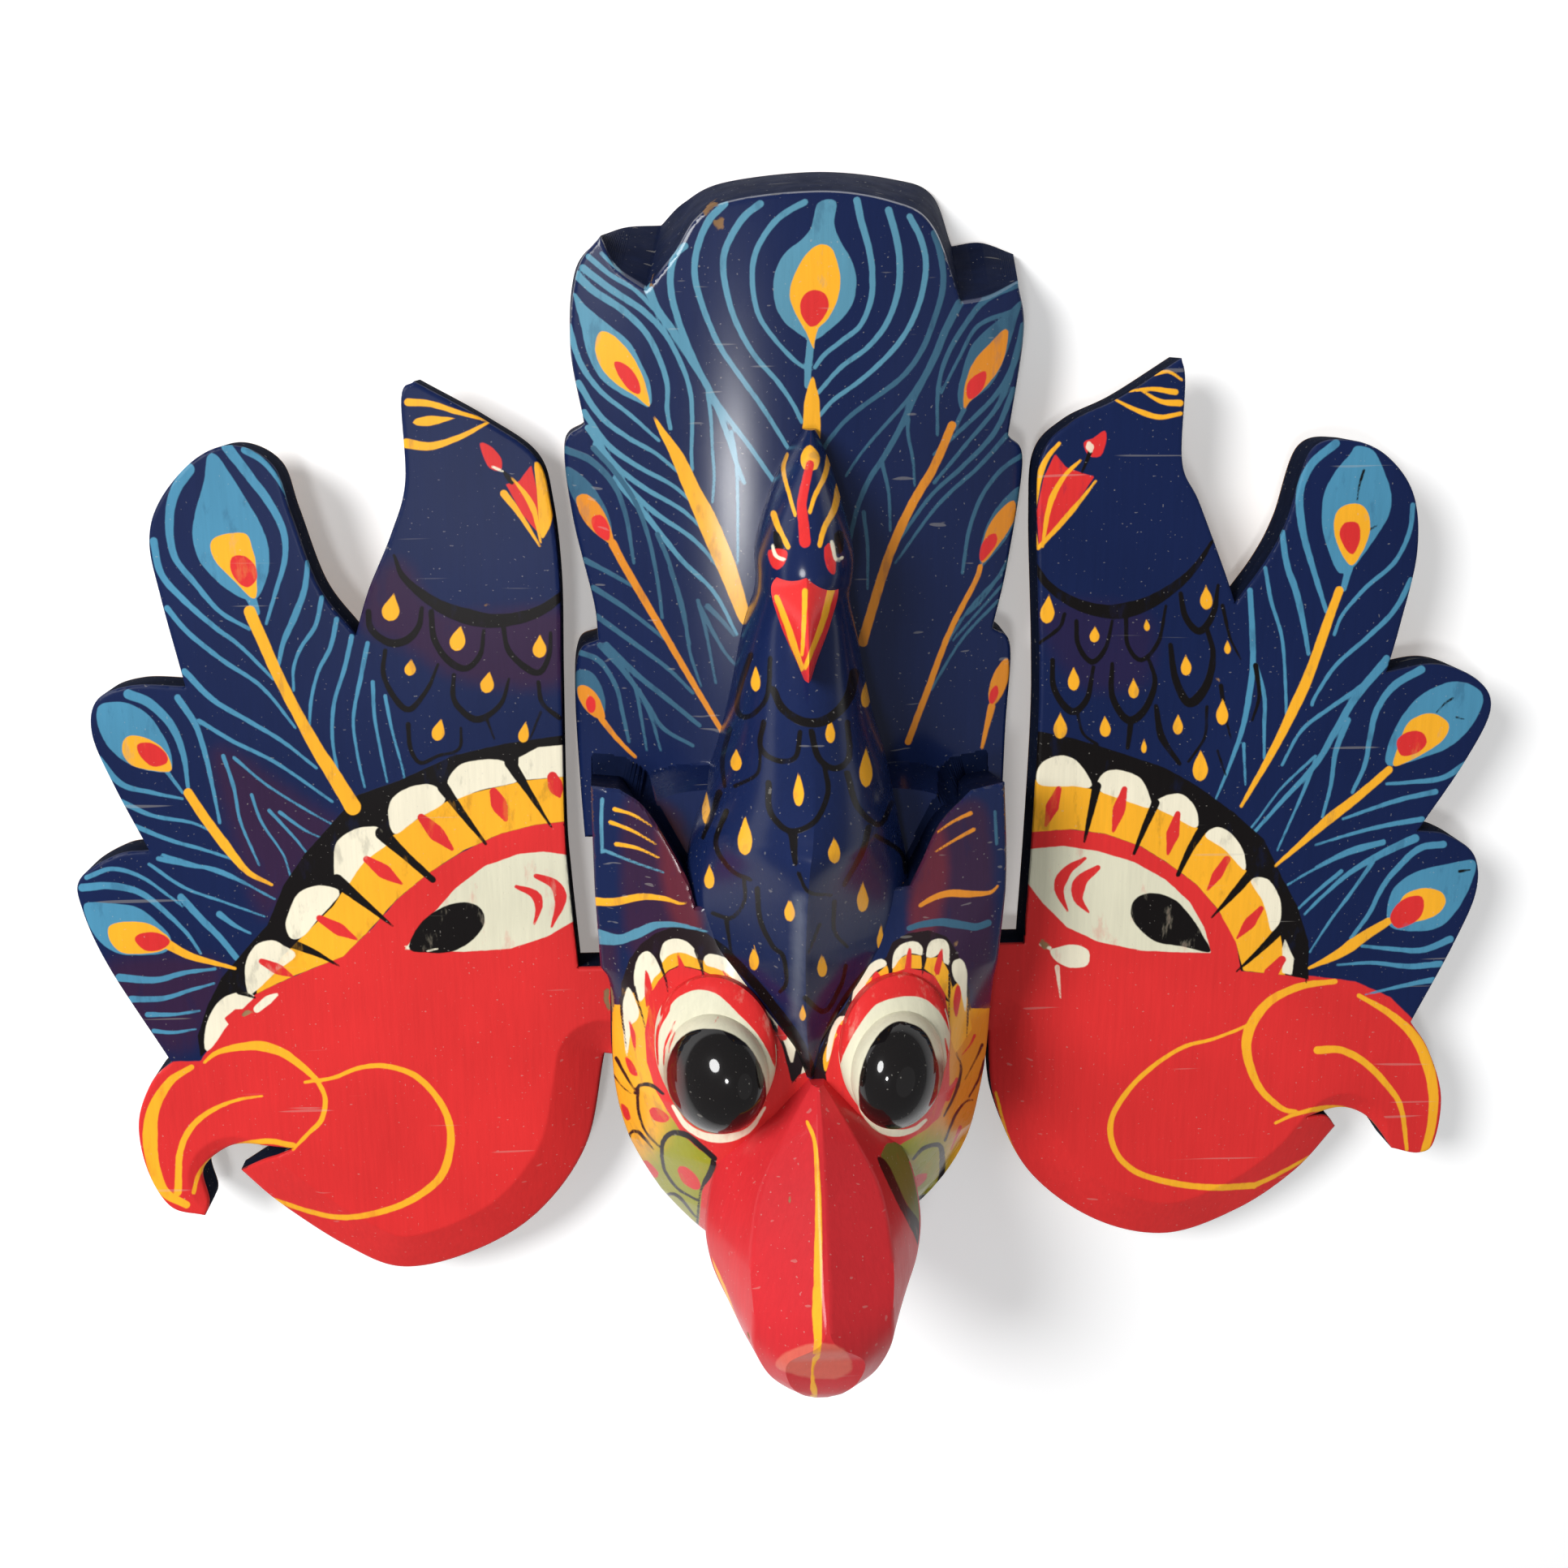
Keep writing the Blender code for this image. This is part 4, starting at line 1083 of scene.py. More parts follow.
@dataclass
class CentreBlock:
    """Fan, ledge, horns and face as one carved block with a hollow back."""

    shift: np.ndarray
    coats: tuple[Coat, ...]
    chips: tuple[Shape, ...]
    low_side: float = -14.0
    foot_side: float = 35.0
    foot_low: float = -30.0
    clear_line: float = 1.0
    clear_foot: float = 1.2
    shortest_line: int = 6
    hollow_side: float = 36.6
    hollow_foot: float = -105.0
    hollow_top: float = 110.9
    hollow_step: float = 1.5
    hollow_columns: int = 61
    hollow_power: float = 0.6
    gouge_depth: float = 0.02

    def back_surface(self, outline: np.ndarray) -> tuple[np.ndarray, np.ndarray, np.ndarray]:
        """The flat back with the hollow: at each y a trough whose depth is a power of a superellipse.

        Args:
            outline: The back's outer edge, anticlockwise seen from the front.

        Returns:
            Points, triangles facing back, and where the outline's points are.
        """
        foot, top, side = self.hollow_foot, self.hollow_top, self.hollow_side
        shallow = CROWN_FRONT - CROWN_WALL
        stations = ((foot - 0.4, 0.34, 0.0), (foot, 0.36, 6.0), (foot + 8, 0.62, 22.0),
                    (foot + 24, 0.88, 32.0), (foot + 42, 1.0, 36.0), (-30.0, 1.0, 38.0), (-8.0, 1.0, 32.0),
                    (4.0, 1.0, shallow),
                    (top - 14, 1.0, shallow), (top - 3, 0.85, shallow * 0.75), (top, 0.7, shallow * 0.35),
                    (top + 0.4, 0.69, 0.0))
        table = np.array(stations)
        rows = np.unique(np.concatenate([table[:, 0], np.arange(foot, top, self.hollow_step)]))
        half = np.interp(rows, table[:, 0], table[:, 1]) * side
        depth = np.interp(rows, table[:, 0], table[:, 2])
        turn = np.linspace(0, np.pi, self.hollow_columns)
        across = np.sign(np.cos(turn)) * np.abs(np.cos(turn)) ** self.hollow_power
        rise = np.sin(turn) ** self.hollow_power
        rise[-1] = 0
        gouge = 1 + self.gouge_depth * np.sin(rows[:, None] * 1.1 + 3 * np.sin(turn * 5))
        x = half[:, None] * across
        z = depth[:, None] * rise * gouge
        y = np.broadcast_to(rows[:, None], x.shape)
        trough = np.stack([x, y, z], axis=-1)
        rim = np.vstack([trough[:, 0], trough[-1, 1:], trough[-2::-1, -1], trough[0, -2:0:-1]])[:, :2]
        flat, faces, place = triangles_inside(outline, [np.vstack([rim, rim[:1]])], BACK_SPACING, False)
        middle = flat[faces].mean(axis=1)
        faces = faces[~inside(middle, rim)]
        points = np.vstack([np.column_stack([flat, np.zeros(len(flat))]), trough.reshape(-1, 3)])
        grid = sheet(*x.shape) + len(flat)
        return points, np.vstack([faces[:, ::-1], grid[:, ::-1]]), place[:len(outline)]

    def surface(self) -> tuple[np.ndarray, np.ndarray, dict[str, np.ndarray]]:
        """The block's whole skin: a front over its outline with a cliff under the horns, walls and a back.

        Returns:
            Points, triangles and the edge, wall and back fields.
        """
        runs, feet = list(CROWN_FRONT_RUNS), list(CROWN_FOOT_RUNS)
        fan, fan_foot = paired_outlines(runs, feet, BLOCK_SPACING)
        fan = np.vstack([fan, [CROWN_FRONT_RUNS[-1][-1]]])[::-1]
        fan_foot = np.vstack([fan_foot, [CROWN_FOOT_RUNS[-1][-1]]])[::-1]
        face = outline_of(FACE_RUNS, BLOCK_SPACING)
        face_foot = drafted(face, SIDE_DRAFT)
        root = FACE_RUNS[-3][0][1]
        face_foot[:, 1] -= HORN_LEAN * np.clip((face[:, 1] - root) / -root, 0, 1)
        low = np.flatnonzero(face[:, 1] < self.low_side)
        low = low[(np.abs(face[low, 0]) > self.foot_side) | (face[low, 1] < self.foot_low)]
        first, last = low[0], low[-1]
        parted = face + outward(face) * PARTING
        outline = np.vstack([fan, parted[first - 1:first], face[first:last + 1], parted[last + 1:last + 2]])
        foot = np.vstack([fan_foot, face_foot[first - 1:first], face_foot[first:last + 1],
                          face_foot[last + 1:last + 2]])
        foot_level = np.concatenate([np.full(len(fan), CROWN_FOOT), [CROWN_FOOT],
                                     np.full(last + 1 - first, CROWN_EDGE), [CROWN_FOOT]])
        upper = np.concatenate([np.arange(last, len(face)), np.arange(0, first + 1)])
        rim, lip = face[upper], parted[upper[1:-1]]
        line = ledge_line()
        clear = ~inside(line, face) & (edge_distance(line, face, 3.0) > self.clear_line)
        spans = [span for span in np.split(line, np.flatnonzero(~clear)) if len(span) > self.shortest_line]
        lines = [rim, lip]
        for span in spans:
            top = span[1:]
            low_line = top + np.array([0.0, 1.0]) * (LEDGE_SLOPE * 0.6)
            good = ~inside(low_line, face) & (edge_distance(low_line, face, 3.0) > self.clear_foot)
            lines.append(top)
            if good.sum() > self.shortest_line:
                lines.append(low_line[good])
        flat, faces, place = triangles_inside(outline, lines, BLOCK_SPACING)
        on_face = inside(flat, face)
        count = len(outline)
        outer = place[:count]
        on_face[outer] = False
        on_face[outer[len(fan) + 1:-1]] = True
        on_face[place[count:count + len(rim)]] = True
        lip_at = place[count + len(rim):count + len(rim) + len(lip)]
        on_face[lip_at] = False
        z = np.where(on_face, face_height(flat), plain_height(flat))
        edge = edge_distance(flat, outline, WEAR_REACH)
        edge = np.where(on_face, np.minimum(edge, edge_distance(flat, face, WEAR_REACH)), edge)
        points = np.column_stack([flat, z])
        share = (face_height(rim[1:-1]) - plain_height(lip)) / (face_height(rim[1:-1]) - CROWN_EDGE)
        under = rim[1:-1] + (face_foot[upper[1:-1]] - rim[1:-1]) * share[:, None]
        points[lip_at, :2] = under
        points[lip_at, 2] = plain_height(under)
        points[:, 2] -= np.where(on_face | (edge < WEAR_REACH), rounded(edge, EDGE_ROUND), 0)
        wall = np.zeros(len(points))
        wall[lip_at] = 1
        total = len(points)
        ring_a = np.arange(total, total + count)
        back, back_faces, back_place = self.back_surface(foot)
        back_at = back_place + total + count
        points = np.vstack([points, np.column_stack([foot, foot_level]), back])
        faces = np.vstack([faces, strip(outer, ring_a), strip(ring_a, back_at), back_faces + total + count])
        fields = {
            "edge": np.concatenate([edge, np.full(count + len(back), WEAR_REACH)]),
            "wall": np.concatenate([wall, np.ones(count + len(back))]),
            "back": np.concatenate([np.zeros(total + count), np.ones(len(back))]),
        }
        fields["edge"][back_at] = 0
        return points, faces, fields

    def build(self, groups: Groups) -> None:
        """Makes the block and paints it."""
        points, faces, fields = self.surface()
        bare = fields["wall"] > 0.5
        fields.update(painted(points, self.coats, bare))
        chips = (Coat("chips", BLACK, self.chips),)
        fields.update(painted(points, chips, np.zeros(len(points), bool)))
        piece = new_piece("centre_block", points, faces, fields, self.shift)
        finish = PaintedWood("block_enamel", NAVY, BLOCK_WALL_BLUE, self.coats, self.chips)
        piece.data.materials.append(finish.build(groups))
        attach(piece, "root")
        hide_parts("centre_mask")
        LOG.info("%s: %d triangles", piece.name, len(faces))


def lofted(sections: np.ndarray) -> tuple[np.ndarray, np.ndarray]:
    """A closed skin through rings of points, with a fan of triangles to the middle of each end ring."""
    rows, columns = sections.shape[:2]
    points = np.vstack([sections.reshape(-1, 3), sections[0].mean(axis=0), sections[-1].mean(axis=0)])
    ring = np.arange(columns)
    after = np.roll(ring, -1)
    low, high = rows * columns, rows * columns + 1
    caps = [np.column_stack([np.full(columns, low), after, ring]),
            np.column_stack([np.full(columns, high), ring + low - columns, after + low - columns])]
    return points, np.vstack([sheet(rows, columns, True), *caps])


def stations_through(table: Pairs, step: float) -> np.ndarray:
    """A table of stations made finer by smooth curves through every column."""
    fine = curve_through(table, step)
    return np.vstack([fine, np.asarray(table[-1], float)])


@dataclass
class CarvedForm:
    """A form that stands on the block: it is lofted, painted and joined to the block's node."""

    name: str
    shift: np.ndarray
    coats: tuple[Coat, ...]
    ground: Colour
    chips: tuple[Shape, ...] = ()
    roughness: float = 0.28
    rim_amount: float = 0.2
    coating: float = 0.5
    gloss: float = 0.18
    glossy_coat: str = ""
    least_facing: float = 0.02

    def sections(self) -> np.ndarray:
        """The form's rings of points."""
        raise NotImplementedError

    def edges(self, points: np.ndarray) -> np.ndarray:
        """Distance from the form's worn edges."""
        return np.full(len(points), WEAR_REACH)

    def build(self, groups: Groups) -> None:
        """Makes the form and paints it where it faces the viewer."""
        points, faces = lofted(self.sections())
        turned = facing(points, faces)
        if np.median(turned) < 0:
            turned = -turned
        hidden = turned < self.least_facing
        fields = painted(points, self.coats, hidden)
        fields["edge"] = self.edges(points)
        fields["wall"] = np.zeros(len(points))
        fields["back"] = np.zeros(len(points))
        fields.update(painted(points, (Coat("chips", BLACK, self.chips),), hidden))
        piece = new_piece(self.name, points, faces, fields, self.shift, True)
        finish = PaintedWood(f"{self.name}_enamel", self.ground, self.ground, self.coats, self.chips,
                             roughness=self.roughness, rim_amount=self.rim_amount, coating=self.coating,
                             gloss=self.gloss, glossy_coat=self.glossy_coat)
        piece.data.materials.append(finish.build(groups))
        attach(piece, "root")
        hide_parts("centre_mask")
        LOG.info("%s: %d triangles", piece.name, len(faces))


@dataclass
class SmallPeacock(CarvedForm):
    """The small peacock in relief: at each y a blend of a half ellipse and a two-sided roof."""

    columns: int = 121
    step: float = 0.75
    floors: Pairs = ((-60, 42), (-20, 42), (-5, 38), (4, 20), (86, 20))

    def sections(self) -> np.ndarray:
        """Rise is the side height plus a blend of arch and roof times the rest, on a floor in the block."""
        table = stations_through(PEACOCK_STATIONS, self.step)
        y, middle, half, top, side, roundness = table.T[:, :, None]
        across = np.sin(np.linspace(-np.pi / 2, np.pi / 2, self.columns))
        arch = np.sqrt(np.clip(1 - across ** 2, 0, 1))
        roof = 1 - np.abs(across)
        roundness = np.clip(roundness, 0, 1)
        z = side + (top - side) * (roundness * arch + (1 - roundness) * roof)
        x = middle + half * across
        floor = np.interp(y, *zip(*self.floors))
        x = np.concatenate([x, x[:, -1:], x[:, :1]], axis=1)
        z = np.concatenate([z, np.minimum(floor, side), np.minimum(floor, side)], axis=1)
        return np.stack([x, np.broadcast_to(y, x.shape), z], axis=-1)


@dataclass
class SmallBill(CarvedForm):
    """The small peacock's bill: a low roof that narrows to its tip."""

    columns: int = 33
    step: float = 0.6
    fall: float = 1.25
    foot_share: float = 0.6

    def sections(self) -> np.ndarray:
        """Rise falls from the ridge by a power of the way across, on a floor inside the head."""
        y, half, top, side = stations_through(BILL_STATIONS, self.step).T[:, :, None]
        across = np.linspace(-1, 1, self.columns)
        z = side + (top - side) * (1 - np.abs(across) ** self.fall)
        x = BILL_X + half * across
        low = np.full_like(y, BILL_FLOOR)
        x = np.concatenate([x, BILL_X + half * self.foot_share, BILL_X - half * self.foot_share], axis=1)
        z = np.concatenate([z, low, low], axis=1)
        return np.stack([x, np.broadcast_to(y, x.shape), z], axis=-1)


@dataclass
class BigBeak(CarvedForm):
    """The big beak: a ridged roof with a worn flat near its tip."""

    step: float = 0.7
    shoulder_rise: float = 0.20
    shoulder_width: float = 0.12
    foot_share: float = 0.72
    counts: tuple[int, ...] = (16, 16, 6, 16, 16, 10, 3, 10)

    def sections(self) -> np.ndarray:
        """Each ring runs straight between the wide line, a shoulder, the flat ridge and back to a floor."""
        y, half, flat, ridge, wide, floor = stations_through(BEAK_STATIONS, self.step).T
        shoulder = (ridge + wide) / 2 + self.shoulder_rise * (ridge - wide)
        middle = (half + flat) / 2 + self.shoulder_width * (half - flat)
        foot = half * self.foot_share
        corner_x = np.stack([-half, -middle, -flat, flat, middle, half, foot, -foot, -half], axis=1)
        corner_z = np.stack([wide, shoulder, ridge, ridge, shoulder, wide, floor, floor, wide], axis=1)
        place = np.concatenate([i + np.arange(count) / count for i, count in enumerate(self.counts)])
        low = place.astype(int)
        share = place - low
        x = BEAK_X + corner_x[:, low] * (1 - share) + corner_x[:, low + 1] * share
        z = corner_z[:, low] * (1 - share) + corner_z[:, low + 1] * share
        return np.stack([x, np.broadcast_to(y[:, None], x.shape), z], axis=-1)


@dataclass
class BulgingEye(CarvedForm):
    """An eye: a sloping rim with a glossy dome on it, leaning outwards."""

    values: tuple[float, ...] = LEFT_EYE
    side: Side = Side.LEFT
    root: float = 15.0
    columns: int = 128
    rim_rings: int = 9
    dome_rings: int = 36
    dome_end: float = 88.0
    rim_fall: float = 0.8

    def sections(self) -> np.ndarray:
        """Rings of an ellipse: sunk root, rim, then a quarter circle from the dome's edge to its top."""
        x, y, rim_x, rim_y, dome_x, dome_y, fall = self.values
        base = float(face_height(np.array([[x, y]]))[0])
        turn = np.linspace(0, 2 * np.pi, self.columns, endpoint=False)
        slope = np.linspace(0, 1, self.rim_rings)
        swell = np.radians(np.linspace(0, self.dome_end, self.dome_rings))[1:]
        share = np.concatenate([[0.0], slope, np.ones(len(swell))])
        shrink = np.concatenate([[1.0], np.ones(len(slope)), np.cos(swell)])
        rise = np.concatenate([[-self.root], EYE_RIM_HEIGHT * slope ** self.rim_fall,
                               EYE_RIM_HEIGHT + EYE_DOME_HEIGHT * np.sin(swell)])
        wide = (rim_x + (dome_x - rim_x) * share) * shrink
        high = (rim_y + (dome_y - rim_y) * share) * shrink
        px = wide[:, None] * np.cos(turn)
        py = high[:, None] * np.sin(turn) + (fall * share)[:, None]
        z = base + rise[:, None] - self.side * EYE_TILT * px
        return np.stack([x + px, y + py, z], axis=-1)


@dataclass
class WingBoard:
    """A sawn board with its tenon, bevelled under the jaw and painted on its front."""

    name: str
    node: str
    slot: str
    side: Side
    runs: Runs
    jaw: Pairs
    tenon_y: float
    shift: np.ndarray
    coats: tuple[Coat, ...]
    chips: tuple[Shape, ...]
    ground: Colour
    wall: Colour

    def outline(self) -> tuple[np.ndarray, np.ndarray]:
        """The board's outline and its jaw line, anticlockwise in the mask's own millimetres."""
        half = TENON_HEIGHT / 2
        jaw = curve_through(self.jaw, BOARD_SPACING)
        upper = self.runs[0][0]
        corners = ((self.jaw[-1][0], -half), (-TENON_LENGTH, -half), (-TENON_LENGTH, half),
                   (upper[0], half), upper)
        tenon = zip(corners, corners[1:])
        whole = np.vstack([outline_of(self.runs, BOARD_SPACING), jaw,
                           np.vstack([curve_through(bit, BOARD_SPACING) for bit in tenon])])
        start = np.array([wall_x(self.side, self.tenon_y) + self.side * SHOULDER_GAP, self.tenon_y])
        whole = whole * (self.side, 1) + start
        jaw = jaw * (self.side, 1) + start
        if not turns_left(whole):
            whole = whole[::-1]
        return whole, jaw

    def surface(self) -> tuple[np.ndarray, np.ndarray, dict[str, np.ndarray]]:
        """A front that falls to the jaw line in proportion to its nearness, square walls and a flat back.

        Returns:
            Points, triangles and the edge, wall and back fields.
        """
        outline, jaw = self.outline()
        count = len(outline)
        crease = jaw - outward(jaw, closed=False) * JAW_BEVEL_WIDTH * self.side
        flat, faces, place = triangles_inside(outline, [], BOARD_SPACING)
        edge = edge_distance(flat, outline, WEAR_REACH)
        away = edge_distance(flat, jaw, JAW_BEVEL_WIDTH + 1, closed=False)
        near = np.clip(1 - away / JAW_BEVEL_WIDTH, 0, 1)
        z = BOARD_STANDOFF + BOARD_THICKNESS - JAW_BEVEL_DROP * near - rounded(edge, EDGE_ROUND)
        back, back_faces, back_place = triangles_inside(outline, [], BACK_SPACING, False)
        total, low = len(flat), np.full(count, BOARD_STANDOFF + EDGE_ROUND)
        outer = place[:count]
        ring = np.arange(total, total + count)
        back_at = back_place[:count] + total + count
        points = np.vstack([np.column_stack([flat, z]), np.column_stack([outline, low]),
                            np.column_stack([back, np.full(len(back), BOARD_STANDOFF)])])
        turned_back = back_faces[:, ::-1] + total + count
        faces = np.vstack([faces, strip(outer, ring), strip(ring, back_at), turned_back])
        fields = {
            "edge": np.concatenate([edge, np.full(count + len(back), WEAR_REACH)]),
            "wall": np.concatenate([np.zeros(total), np.ones(count + len(back))]),
            "back": np.concatenate([np.zeros(total + count), np.ones(len(back))]),
        }
        fields["edge"][back_at] = 0
        return points, faces, fields

    def build(self, groups: Groups) -> None:
        """Makes the board and paints it."""
        points, faces, fields = self.surface()
        fields.update(painted(points, self.coats, fields["wall"] > 0.5))
        chips = (Coat("chips", BLACK, self.chips),)
        fields.update(painted(points, chips, np.zeros(len(points), bool)))
        piece = new_piece(self.name, points, faces, fields, self.shift)
        finish = PaintedWood(f"{self.name}_enamel", self.ground, self.wall, self.coats, self.chips,
                             roughness=0.5, coating=0.12, gloss=0.3)
        piece.data.materials.append(finish.build(groups))
        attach(piece, "root")
        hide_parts(self.node)
        LOG.info("%s: %d triangles", piece.name, len(faces))


# Colours of the enamels
NAVY = srgb(21, 34, 74)
SKY_BLUE = srgb(76, 140, 172)
FAN_BLUE = srgb(88, 144, 168)
YELLOW = srgb(248, 176, 44)
RED = srgb(218, 50, 50)
BLACK = srgb(20, 17, 17)
CREAM = srgb(240, 232, 206)
EYE_WHITE = srgb(222, 218, 192)
PURPLE = srgb(58, 32, 58)
BEAK_RED = srgb(204, 46, 52)
WALL_BLUE = srgb(20, 28, 50)
BLOCK_WALL_BLUE = srgb(19, 30, 62)
DUST = srgb(190, 185, 175)

# Enlargements that the paint was read on
LEFT_TOP = Enlargement(80, 450, 2.306)
LEFT_LOW = Enlargement(80, 1000, 2.24)
RIGHT_TOP = Enlargement(1200, 420, 2.376)
RIGHT_LOW = Enlargement(1180, 960, 2.306)

